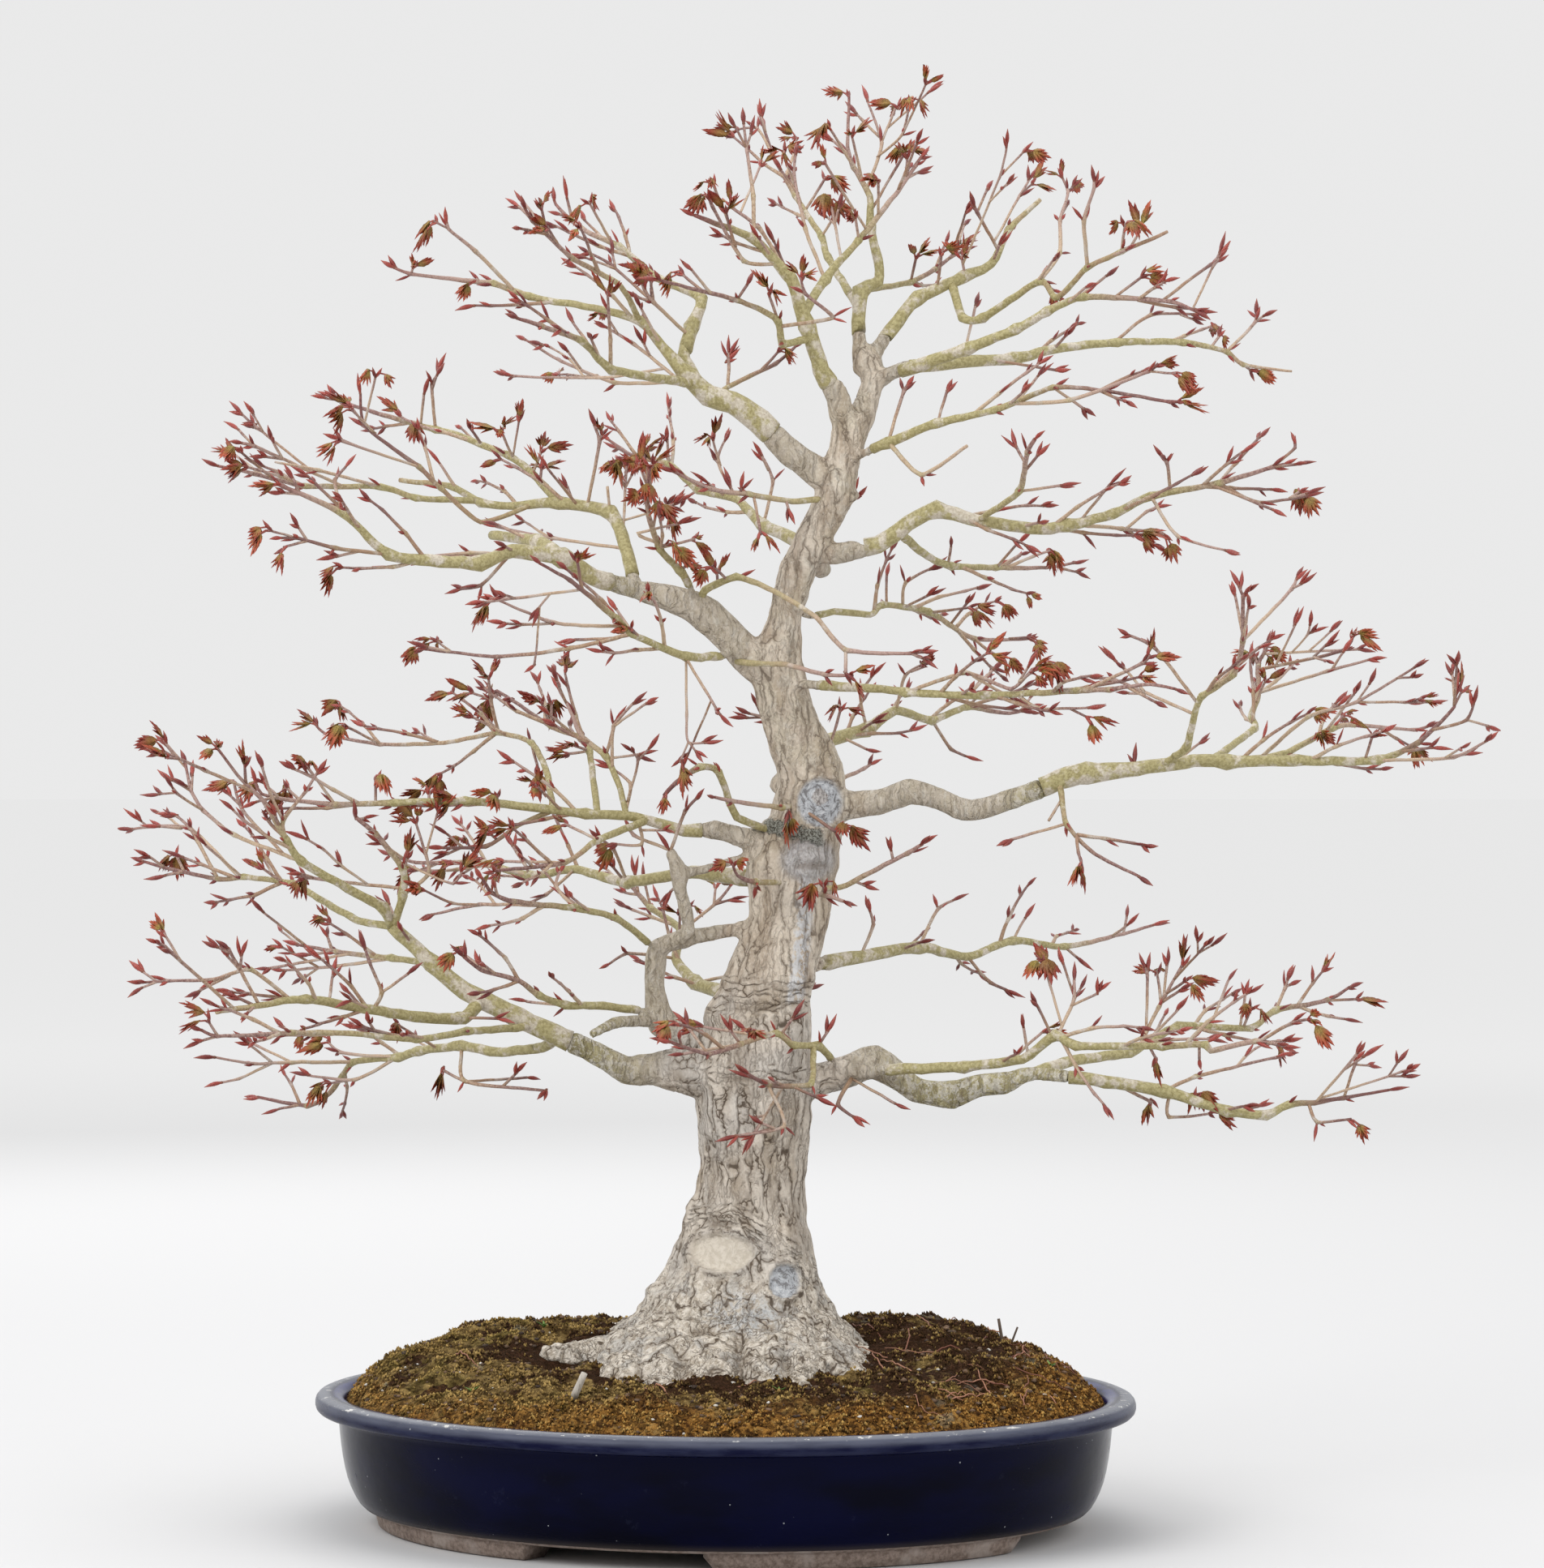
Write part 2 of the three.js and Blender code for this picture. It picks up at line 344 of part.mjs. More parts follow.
// Solids joined into one, its flat faces whole again.
function joined(list) {
  let parts = list;
  while (parts.length > 1) {
    const next = [];
    for (let i = 0; i < parts.length; i += 2) {
      next.push(i + 1 < parts.length ? parts[i].add(parts[i + 1]) : parts[i]);
    }
    parts = next;
  }
  const bodies = parts[0].asOriginal().simplify(TIDY).decompose();
  return bodies.reduce((a, b) => (b.volume() > a.volume() ? b : a));
}

// Rings square to a path, turned as little as possible from one to the next.
function ringsOn(path, radii, sides) {
  const rings = [];
  const along = path.map((p, i) => {
    const back = path[Math.max(i - 1, 0)];
    const ahead = path[Math.min(i + 1, path.length - 1)];
    const a = new THREE.Vector3().subVectors(p, back);
    const b = new THREE.Vector3().subVectors(ahead, p);
    if (a.length() > 0) {
      a.normalize();
    }
    if (b.length() > 0) {
      b.normalize();
    }
    return a.add(b).normalize();
  });
  const t = along[0];
  let across = Math.abs(t.y) < 0.8 ? new THREE.Vector3(0, 1, 0) : new THREE.Vector3(1, 0, 0);
  path.forEach((p, i) => {
    across = across.clone().addScaledVector(along[i], -across.dot(along[i])).normalize();
    const up = new THREE.Vector3().crossVectors(along[i], across);
    const ring = [];
    for (let j = 0; j < sides; j++) {
      const turn = (2 * Math.PI * (j + 0.5)) / sides;
      ring.push(
        p
          .clone()
          .addScaledVector(across, radii[i] * Math.cos(turn))
          .addScaledVector(up, radii[i] * Math.sin(turn)),
      );
    }
    rings.push(ring);
  });
  return rings;
}

function sidesFor(radius) {
  return radius >= 8 ? 6 : radius >= 4.5 ? 5 : radius >= 2.4 ? 4 : 3;
}

// Pot, screens and soil

const turn = THREE.MathUtils.degToRad(POT_TURN);

function ovalAt(offset, angle, z) {
  const x = (LIP_HALF_LONG + offset) * Math.cos(angle);
  const y = (LIP_HALF_SHORT + offset) * Math.sin(angle);
  return new THREE.Vector3(
    x * Math.cos(turn) - y * Math.sin(turn),
    x * Math.sin(turn) + y * Math.cos(turn),
    z,
  );
}

function ovalRing(offset, z) {
  const ring = [];
  for (let j = 0; j < POT_SEGMENTS; j++) {
    ring.push(ovalAt(offset, (2 * Math.PI * j) / POT_SEGMENTS, z));
  }
  return ring;
}

// The oval in a direction given in degrees from the front, right side first.
function ovalToward(offset, degrees, z) {
  const a = THREE.MathUtils.degToRad(degrees - 90) - turn;
  const u = Math.cos(a) / (LIP_HALF_LONG + offset);
  const v = Math.sin(a) / (LIP_HALF_SHORT + offset);
  const r = 1 / Math.hypot(u, v);
  return new THREE.Vector3(r * Math.cos(a + turn), r * Math.sin(a + turn), z);
}

function foot(first) {
  const rings = [];
  for (let k = 0; k <= 6; k++) {
    const top = first + (FOOT_SPAN * k) / 6;
    const low = first + 1.8 + ((FOOT_SPAN - 3.6) * k) / 6;
    rings.push([
      ovalToward(-38, low, FOOT_BOTTOM),
      ovalToward(-60, low, FOOT_BOTTOM),
      ovalToward(-63, top, FOOT_TOP),
      ovalToward(-36, top, FOOT_TOP),
    ]);
  }
  return skin(rings);
}

const holes = [-HOLE_OUT, HOLE_OUT].map((out) => [out * Math.cos(turn), out * Math.sin(turn)]);

function makePot() {
  const rings = POT_PROFILE.map(([offset, z]) => ovalRing(offset, z));
  let body = skin(rings, new THREE.Vector3(0, 0, UNDERSIDE), new THREE.Vector3(0, 0, FLOOR));
  for (let k = 0; k < 4; k++) {
    body = body.add(foot(FOOT_FIRST + 90 * k));
  }
  for (const [x, y] of holes) {
    const hole = wasm.Manifold.cylinder(40, HOLE_RADIUS, HOLE_RADIUS, 14, true);
    body = body.subtract(hole.translate([x, y, 12]));
  }
  return body;
}

function makeScreen(x, y) {
  let plate = wasm.Manifold.cube([SCREEN_SIDE, SCREEN_SIDE, SCREEN_THICK], true);
  for (let i = -1; i <= 1; i++) {
    for (let j = -1; j <= 1; j++) {
      const hole = wasm.Manifold.cube([SCREEN_HOLE, SCREEN_HOLE, 8], true);
      plate = plate.subtract(hole.translate([i * SCREEN_PITCH, j * SCREEN_PITCH, 0]));
    }
  }
  return plate
    .rotate([0, 0, POT_TURN])
    .translate([x, y, FLOOR + GAP + SCREEN_THICK / 2]);
}

function soilHeight(inward, x, y) {
  const rise = SOIL_RISE * (1 - Math.exp(-inward / SOIL_RUN));
  const lean = THREE.MathUtils.smoothstep(y, -130, 40);
  const rough = 1.6 * Math.sin(x / 17 + 1.3) * Math.sin(y / 19 + 0.4) + 1.1 * Math.sin(x / 8 - y / 11);
  return SOIL_EDGE + rise * (0.5 + 0.5 * lean) + rough * Math.min(1, inward / 25);
}

function makeSoil(hollow) {
  const rings = [
    ovalRing(-39, FLOOR + GAP + 0.1),
    ovalRing(-27.7, 24.6),
    ovalRing(-19.7, 72),
  ];
  for (const inward of SOIL_STEPS) {
    const ring = ovalRing(-19.7 - inward, 0);
    for (const p of ring) {
      p.z = soilHeight(inward, p.x, p.y);
    }
    rings.push(ring);
  }
  const top = new THREE.Vector3(0, 0, soilHeight(230, 0, 0));
  let body = skin(rings, new THREE.Vector3(0, 0, FLOOR + GAP + 0.1), top);
  for (const [x, y] of holes) {
    const side = SCREEN_SIDE + 2 * GAP;
    const pocket = wasm.Manifold.cube([side, side, 2 * (SCREEN_THICK + 2 * GAP)], true);
    body = body.subtract(pocket.rotate([0, 0, POT_TURN]).translate([x, y, FLOOR + GAP]));
  }
  return body.subtract(hollow);
}

// Trunk

function along(table, z) {
  let k = 0;
  while (k + 2 < table.length && z > table[k + 1][0]) {
    k++;
  }
  const [a, b] = [table[k], table[k + 1]];
  const f = THREE.MathUtils.clamp((z - a[0]) / (b[0] - a[0]), 0, 1);
  return a.map((value, i) => value + (b[i] - value) * f);
}

function trunkRing([z, left, right], grow) {
  const ring = [];
  const middle = (left + right) / 2;
  const half = (right - left) / 2;
  const depth = along(TRUNK_SWAY, z)[1];
  const deep = TRUNK_DEEP + FOOT_DEEPER * (1 - THREE.MathUtils.smoothstep(z, 90, 150));
  for (let j = 0; j < TRUNK_SIDES; j++) {
    const a = (2 * Math.PI * j) / TRUNK_SIDES;
    const off = Math.abs(Math.sin(a));
    const relief = 1 + off * (0.06 * Math.sin(3 * a + z / 31) + 0.05 * Math.sin(5 * a - z / 23));
    ring.push(
      new THREE.Vector3(
        middle + (half * relief + grow) * Math.cos(a),
        depth + (half * deep * relief + grow) * Math.sin(a),
        z,
      ),
    );
  }
  return ring;
}

function makeFoot(grow) {
  const rings = [...TRUNK_FOOT, ...TRUNK_ROWS.slice(2, 4)].map((row) => trunkRing(row, grow));
  for (const p of rings[0]) {
    p.z -= grow;
  }
  return joined([skin(rings), ...makeRoots(grow)]);
}

function makeRoots(grow) {
  const list = [];
  for (const r of ROOTS) {
    const path = [];
    const radii = [];
    for (let i = 0; i < r.length; i += 4) {
      path.push(new THREE.Vector3(r[i], r[i + 1], r[i + 2]));
      radii.push(r[i + 3] / 2 + grow);
    }
    const end = path[path.length - 1];
    end.addScaledVector(new THREE.Vector3().subVectors(end, path[path.length - 2]).normalize(), grow);
    list.push(skin(ringsOn(path, radii, 6)));
  }
  return list;
}

// Young wood

// A point of the front view, carried to its depth behind the trunk.
function carried(x, z, depth) {
  const k = 1 + depth / EYE_OUT;
  return new THREE.Vector3(EYE_X + (x - EYE_X) * k, depth, EYE_Z + (z - EYE_Z) * k);
}

function read(text) {
  const end = /[bLs]$/.test(text) ? text.slice(-1) : "";
  const [x, rest] = (end ? text.slice(0, -1) : text).split(",");
  const swollen = rest.endsWith("n");
  const [z, thick] = (swollen ? rest.slice(0, -1) : rest).split(":");
  return { x: +x, z: +z, thick: thick ? +thick : 0, swollen, end };
}

// Thicknesses that a row leaves out run evenly between those it gives.
function fillThickness(points) {
  let from = 0;
  for (let i = 1; i < points.length; i++) {
    if (points[i].thick) {
      for (let k = from + 1; k < i; k++) {
        const f = (k - from) / (i - from);
        points[k].thick = points[from].thick + (points[i].thick - points[from].thick) * f;
      }
      from = i;
    }
  }
}

const placed = [];
const stems = new Map();

function measured(stem) {
  stem.reach = [0];
  for (let i = 1; i < stem.path.length; i++) {
    stem.reach.push(stem.reach[i - 1] + stem.path[i].distanceTo(stem.path[i - 1]));
  }
  return stem;
}

const trunkStem = measured({
  name: "trunk",
  node: "trunk",
  outer: "trunk",
  cut: Infinity,
  view: TRUNK_ROWS.map(([z, l, r]) => [(l + r) / 2, z]),
  path: TRUNK_ROWS.map(([z, l, r]) => new THREE.Vector3((l + r) / 2, along(TRUNK_SWAY, z)[1], z)),
  half: TRUNK_ROWS.map(([, l, r]) => (r - l) / 2),
});
stems.set("trunk", trunkStem);

// The place on a stem nearest to a point of the front view.
function nearest(stem, x, z) {
  let best = null;
  for (let i = 0; i + 1 < stem.view.length; i++) {
    const [ax, az] = stem.view[i];
    const [bx, bz] = stem.view[i + 1];
    const l2 = (bx - ax) ** 2 + (bz - az) ** 2 || 1;
    const f = Math.min(1, Math.max(0, ((x - ax) * (bx - ax) + (z - az) * (bz - az)) / l2));
    const away = Math.hypot(x - ax - f * (bx - ax), z - az - f * (bz - az));
    if (!best || away < best.away - 0.01) {
      best = { away, i, f };
    }
  }
  return spot(stem, best.i, best.f, best.away);
}

function spot(stem, i, f, away) {
  const mix = (a, b) => a + (b - a) * f;
  return {
    stem,
    away,
    point: stem.path[i].clone().lerp(stem.path[i + 1], f),
    toward: stem.path[i + 1].clone().sub(stem.path[i]).normalize(),
    half: mix(stem.half[i], stem.half[i + 1]),
    reach: mix(stem.reach[i], stem.reach[i + 1]),
    view: [mix(stem.view[i][0], stem.view[i + 1][0]), mix(stem.view[i][1], stem.view[i + 1][1])],
  };
}

function spotAt(stem, reach) {
  let i = 0;
  while (i + 2 < stem.path.length && reach > stem.reach[i + 1]) {
    i++;
  }
  const span = stem.reach[i + 1] - stem.reach[i] || 1;
  return spot(stem, i, THREE.MathUtils.clamp((reach - stem.reach[i]) / span, 0, 1), 0);
}

// Least distance between two straight lengths.
function between(p1, q1, p2, q2) {
  const d1 = q1.clone().sub(p1);
  const d2 = q2.clone().sub(p2);
  const r = p1.clone().sub(p2);
  const a = d1.dot(d1) || 1e-9;
  const e = d2.dot(d2) || 1e-9;
  const f = d2.dot(r);
  const c = d1.dot(r);
  const b = d1.dot(d2);
  const den = a * e - b * b;
  const one = (v) => Math.min(1, Math.max(0, v));
  let s = den > 1e-9 ? one((b * f - c * e) / den) : 0;
  let t = (b * s + f) / e;
  if (t < 0 || t > 1) {
    t = one(t);
    s = one((b * t - c) / a);
  }
  return p1.clone().addScaledVector(d1, s).distanceTo(p2.clone().addScaledVector(d2, t));
}

// The lengths of a stem past its root, each with its node and its half thickness.
function lengthsOf(stem) {
  const list = [];
  for (let i = 0; i + 1 < stem.path.length; i++) {
    const a = stem.reach[i];
    const b = stem.reach[i + 1];
    const half = Math.max(stem.half[i], stem.half[i + 1]) * 1.15;
    const push = (from, to, node) => {
      if (to - from > 0.5) {
        const p = spotAt(stem, from + 0.01).point;
        const q = spotAt(stem, to - 0.01).point;
        list.push({ p, q, half, node, stem });
      }
    };
    if (b <= stem.cut) {
      push(Math.max(a, Math.min(stem.buried, b)), b, stem.node);
    } else if (a >= stem.cut) {
      push(a, b, stem.outer);
    } else {
      push(Math.max(a, Math.min(stem.buried, stem.cut)), stem.cut, stem.node);
      push(stem.cut, b, stem.outer);
    }
  }
  return list;
}

// How far a new stem stays from the wood of every other node; less than 0 is too near.
function room(stem, sameToo) {
  let least = Infinity;
  for (const own of lengthsOf(stem)) {
    for (const other of placed) {
      if (other.stem === stem) {
        continue;
      }
      const same = other.node === own.node;
      if (same && (!sameToo || other.stem === stem.parent)) {
        continue;
      }
      const need = own.half + other.half + (same ? 0.3 : WOOD_CLEAR);
      const near = Math.min(own.p.distanceTo(other.p), own.q.distanceTo(other.q));
      const spans = own.p.distanceTo(own.q) + other.p.distanceTo(other.q);
      if (near > need + spans + 60) {
        continue;
      }
      least = Math.min(least, between(own.p, own.q, other.p, other.q) - need);
    }
  }
  return least;
}

function keep(stem) {
  stems.set(stem.name, stem);
  placed.push(...lengthsOf(stem));
}

// A stem from its root on another, through points of the front view, to a depth at its end.
function stemFrom(name, root, points, depth, cutAt, outer) {
  const start = root.view;
  const view = [start];
  const half = [Math.min(points[0].thick / 2, root.half * 0.9)];
  const swollen = [false];
  for (const p of points) {
    const from = view[view.length - 1];
    if (Math.hypot(p.x - from[0], p.z - from[1]) > 2.5) {
      view.push([p.x, p.z]);
      half.push(p.thick / 2);
      swollen.push(p.swollen);
    }
  }
  const run = [0];
  for (let i = 1; i < view.length; i++) {
    run.push(run[i - 1] + Math.hypot(view[i][0] - view[i - 1][0], view[i][1] - view[i - 1][1]));
  }
  const whole = run[run.length - 1];
  const path = view.map(([x, z], i) => {
    const d = root.point.y + (depth - root.point.y) * (run[i] / whole) ** 0.92;
    return carried(x, z, d);
  });
  path[0] = root.point.clone();
  const inner = root.reach < root.stem.cut ? root.stem.node : root.stem.outer;
  const stem = measured({
    name,
    parent: root.stem,
    node: inner,
    outer: outer || inner,
    cut: Infinity,
    buried: Math.min(root.half + 3, whole * 0.6),
    view,
    path,
    half,
    swollen,
    end: points[points.length - 1].end,
  });
  if (outer) {
    const last = stem.reach[stem.reach.length - 1];
    for (let s = cutAt; s < Math.min(last * 0.6, cutAt + 60); s += 2) {
      const at = spotAt(stem, s);
      const off = placed
        .filter((l) => l.stem === root.stem && l.node === inner)
        .reduce((v, l) => Math.min(v, between(at.point, at.point, l.p, l.q) - l.half), Infinity);
      stem.cut = s;
      if (off > at.half * 1.3 + 2.5) {
        break;
      }
    }
    let i = 0;
    while (i + 2 < stem.path.length && stem.cut > stem.reach[i + 1]) {
      i++;
    }
    const clear = Math.min(spotAt(stem, stem.cut).half + 2, (stem.reach[i + 1] - stem.reach[i]) * 0.45);
    stem.cut = THREE.MathUtils.clamp(stem.cut, stem.reach[i] + clear, stem.reach[i + 1] - clear);
  }
  return stem;
}

// Keep a root off the flat ends where two nodes meet.
function offTheCut(root, thick) {
  const { stem, reach } = root;
  const off = thick + 3.5;
  if (Math.abs(reach - stem.cut) >= off) {
    return root;
  }
  return spotAt(stem, reach < stem.cut ? stem.cut - off : stem.cut + off);
}

function twigFrom(name, group, text, random) {
  const points = text.split(";").map(read);
  const first = points[0];
  const nearby = group.map((s) => nearest(s, first.x, first.z));
  let root = nearby.reduce((a, b) => (b.away < a.away - 0.01 ? b : a));
  if (points.length === 1) {
    const back = Math.max(root.reach - 0.7 * root.away, Math.min(root.reach, 6));
    root = spotAt(root.stem, back);
  }
  // A twig leaves its stem before the bud at the stem's end.
  const beforeBud = root.stem.reach[root.stem.reach.length - 1] - TWIG_BEFORE_END;
  if (root.reach > beforeBud) {
    root = spotAt(root.stem, Math.max(beforeBud, beforeBud * 0.5 + 4));
  }
  root = offTheCut(root, 1.5);
  const bends = points.length > 1 ? points.slice(1) : points;
  const thick = Math.min(bends.length > 2 ? 2.9 : bends.length > 1 ? 2.5 : 2.1, root.half * 1.8);
  bends.forEach((p, i) => {
    p.thick = thick + (1.4 - thick) * ((i + 1) / bends.length);
    p.swollen = bends.length > 1 && i + 1 < bends.length;
  });
  bends[0].thick = Math.max(bends[0].thick, thick * 0.85);
  const end = bends[bends.length - 1];
  const length = Math.hypot(end.x - root.view[0], end.z - root.view[1]);
  const side = random() < 0.5 ? -1 : 1;
  const lean = (0.25 + 0.6 * random()) * length;
  for (const share of [side, -side, 0.5 * side, -0.5 * side, 1.6 * side, -1.6 * side, 0.15]) {
    const stem = stemFrom(name, root, bends, root.point.y + lean * share, 0, "");
    if (room(stem, true) > 0) {
      return stem;
    }
  }
  return null;
}

// Side shoots in opposite pairs toward the front and the back.
function shootsOf(stem, every, random) {
  const made = [];
  const last = stem.reach[stem.reach.length - 1];
  if (stem.outer === "trunk") {
    return made;
  }
  const start = stem.cut < last ? stem.cut : stem.buried;
  for (let s = start + every * (0.35 + 0.3 * random()); s < last - 14; s += every) {
    for (const side of [-1, 1]) {
      const root = offTheCut(spotAt(stem, s + 3 * side), 1.5);
      const length = 24 + 26 * random();
      const heading = root.toward
        .clone()
        .multiplyScalar(0.5 + 0.4 * random())
        .add(new THREE.Vector3(0.2 * random() - 0.1, side * (0.7 + 0.3 * random()), 0.15 + 0.35 * random()))
        .normalize();
      const thick = Math.min(2.1, root.half * 1.8);
      const shoot = {
        name: `${stem.name}_shoot_${made.length}`,
        parent: stem,
        node: root.reach < stem.cut ? stem.node : stem.outer,
        cut: Infinity,
        buried: Math.min(root.half + 2, length * 0.5),
        path: [root.point, root.point.clone().addScaledVector(heading, length)],
        half: [thick / 2, 0.7],
        swollen: [false, false],
        end: random() < 0.75 ? "b" : "L",
      };
      shoot.outer = shoot.node;
      shoot.view = shoot.path.map((p) => [p.x, p.z]);
      measured(shoot);
      if (room(shoot, true) > 0) {
        placed.push(...lengthsOf(shoot));
        made.push(shoot);
      }
    }
  }
  return made;
}

const rows = STEMS.trim().split("\n");
const mains = [];
for (const row of rows) {
  if (row.startsWith(">")) {
    mains[mains.length - 1].twigs.push(...row.slice(1).trim().split(" "));
    continue;
  }
  const [name, parentName, where, depthText, ...list] = row.split(" ");
  const [outer, cutText] = where.split("@");
  const points = list.map(read);
  fillThickness(points);
  const parent = stems.get(parentName);
  const root = offTheCut(nearest(parent, points[0].x, points[0].z), points[0].thick / 2);
  let best = null;
  for (const shift of [0, 14, -14, 28, -28, 42, -42, 60, -60, 80, -80]) {
    const stem = stemFrom(name, root, points, +depthText + shift, +cutText, cutText ? outer : "");
    stem.room = room(stem, false);
    if (!best || stem.room > best.room) {
      best = stem;
    }
    if (stem.room > 0) {
      break;
    }
  }
  keep(best);
  mains.push({ stem: best, twigs: [] });
}

const grown = mains.map((m) => m.stem);
mains.forEach(({ stem, twigs }, k) => {
  const group = [stem];
  twigs.forEach((text, i) => {
    if ((k + i) % TWIGS_OF >= TWIGS_KEPT) {
      return;
    }
    const random = seeded(101 + 17 * k + 1009 * i);
    const twig = twigFrom(`${stem.name}_twig_${i}`, group, text, random);
    if (twig) {
      placed.push(...lengthsOf(twig));
      group.push(twig);
      grown.push(twig);
    }
  });
});
mains.forEach(({ stem }, k) => {
  grown.push(...shootsOf(stem, SHOOTS_EVERY, seeded(5003 + 29 * k)));
});

// Solids of the wood

const lists = new Map();

function put(node, solid) {
  if (!lists.has(node)) {
    lists.set(node, []);
  }
  lists.get(node).push(solid);
}

function skewed(direction, random, angle) {
  const side = new THREE.Vector3(random() - 0.5, random() - 0.5, random() - 0.5);
  side.addScaledVector(direction, -side.dot(direction)).normalize();
  return direction
    .clone()
    .multiplyScalar(Math.cos(angle))
    .addScaledVector(side, Math.sin(angle));
}

// A bud or a leaf lobe: pointed at both ends, widest at a third of its length.
function spindle(base, direction, length, wide, thick, random) {
  const across = skewed(direction, random, Math.PI / 2);
  const up = new THREE.Vector3().crossVectors(direction, across);
  const middle = base.clone().addScaledVector(direction, length * 0.42);
  const ring = [
    middle.clone().addScaledVector(across, wide).addScaledVector(up, -thick * 0.35),
    middle.clone().addScaledVector(up, thick * 0.65),
    middle.clone().addScaledVector(across, -wide).addScaledVector(up, -thick * 0.35),
  ];
  return skin([ring], base, base.clone().addScaledVector(direction, length));
}

function build(stem, random) {
  const { path, half, reach } = stem;
  const count = path.length;
  const last = reach[count - 1];
  const stations = reach.map((s, i) => {
    const swell = stem.swollen[i] ? (half[i] > 5 ? 1.12 : 1.28) : 1;
    return { s, p: path[i], r: half[i] * swell };
  });
  const before = path[count - 2];
  const forward = path[count - 1].clone().sub(before).normalize();
  const segment = last - reach[count - 2];
  let apex;
  if (stem.end === "b") {
    const length = Math.min(BUD_LENGTH, segment * 0.6);
    stations.pop();
    const tip = path[count - 1];
    const wide = tip.clone().addScaledVector(forward, -length * 0.8);
    stations.push({ s: last - length * 0.8, p: wide, r: 1.5 });
    apex = tip;
  }
  if (stem.end === "L") {
    const length = Math.min(9, segment * 0.5);
    stations.pop();
    const tip = path[count - 1];
    const base = tip.clone().addScaledVector(forward, -length - 2);
    const lean = skewed(forward, random, 0.5 + 0.3 * random());
    if (!stem.name.includes("shoot")) {
      put(stem.outer, spindle(base, lean, LEAF_LENGTH * (0.8 + 0.3 * random()), 2.4, 1.6, random));
    }
    stations.push({ s: last - length * 0.7, p: tip.clone().addScaledVector(forward, -length * 0.7), r: 1.9 });
    apex = tip;
  }
  const tube = (list, point) => {
    const sides = sidesFor(Math.max(...list.map((q) => q.r)));
    const widen = sides < 5 ? 1.12 : 1.03;
    const rings = ringsOn(
      list.map((q) => q.p),
      list.map((q) => q.r * widen),
      sides,
    );
    return skin(rings, undefined, point);
  };
  if (stem.cut >= last) {
    put(stem.node, tube(stations, apex));
    return;
  }
  const at = spotAt(stem, stem.cut);
  const inner = stations.filter((q) => q.s < stem.cut - 0.5);
  const outer = stations.filter((q) => q.s > stem.cut + 1);
  put(stem.node, tube([...inner, { p: at.point, r: at.half }], undefined));
  const begun = at.point.clone().addScaledVector(at.toward, GAP);
  put(stem.outer, tube([{ p: begun, r: at.half * 0.97 }, ...outer], apex));
}

const trunkRings = [...TRUNK_FOOT, ...TRUNK_ROWS.slice(2)].map((row) => trunkRing(row, 0));
put("trunk", skin(trunkRings));
makeRoots(0).forEach((root) => put("trunk", root));
grown.forEach((stem, k) => build(stem, seeded(9001 + 7 * k)));

// Named pieces

const solids = new Map();
solids.set("pot", makePot());
holes.forEach(([x, y], k) => solids.set(k ? "drainage_screen_right" : "drainage_screen_left", makeScreen(x, y)));
solids.set("soil", makeSoil(makeFoot(GAP + 0.1)));
for (const [node, list] of lists) {
  solids.set(node, joined(list));
}

const box = new THREE.Box3();
for (const solid of solids.values()) {
  const { min, max } = solid.boundingBox();
  box.expandByPoint(new THREE.Vector3(...min));
  box.expandByPoint(new THREE.Vector3(...max));
}
const shift = [-(box.min.x + box.max.x) / 2, -(box.min.y + box.max.y) / 2, -box.min.z];

const COLOURS = {
  pot: 0x141c30,
  soil: 0x7a5a30,
  drainage_screen_left: 0x2f3230,
  drainage_screen_right: 0x2f3230,
  trunk: 0xb8a88e,
};

const group = new THREE.Group();
for (const [name, solid] of solids) {
  const made = solid.translate(shift).getMesh();
  const geometry = new THREE.BufferGeometry();
  const size = made.numProp;
  const position = new Float32Array(made.numVert * 3);
  for (let i = 0; i < made.numVert; i++) {
    position.set(made.vertProperties.subarray(i * size, i * size + 3), i * 3);
  }
  geometry.setAttribute("position", new THREE.BufferAttribute(position, 3));
  geometry.setIndex(new THREE.BufferAttribute(new Uint32Array(made.triVerts), 1));
  geometry.computeVertexNormals();
  const material = new THREE.MeshStandardMaterial({ color: COLOURS[name] ?? 0x8a6f4e });
  const mesh = new THREE.Mesh(geometry, material);
  mesh.name = name;
  group.add(mesh);
}

export default group;
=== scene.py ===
"""A japanese maple bonsai in spring bud, in a low glazed oval pot: its finished look."""

import json
import math

import bpy
import numpy as np
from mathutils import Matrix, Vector, noise

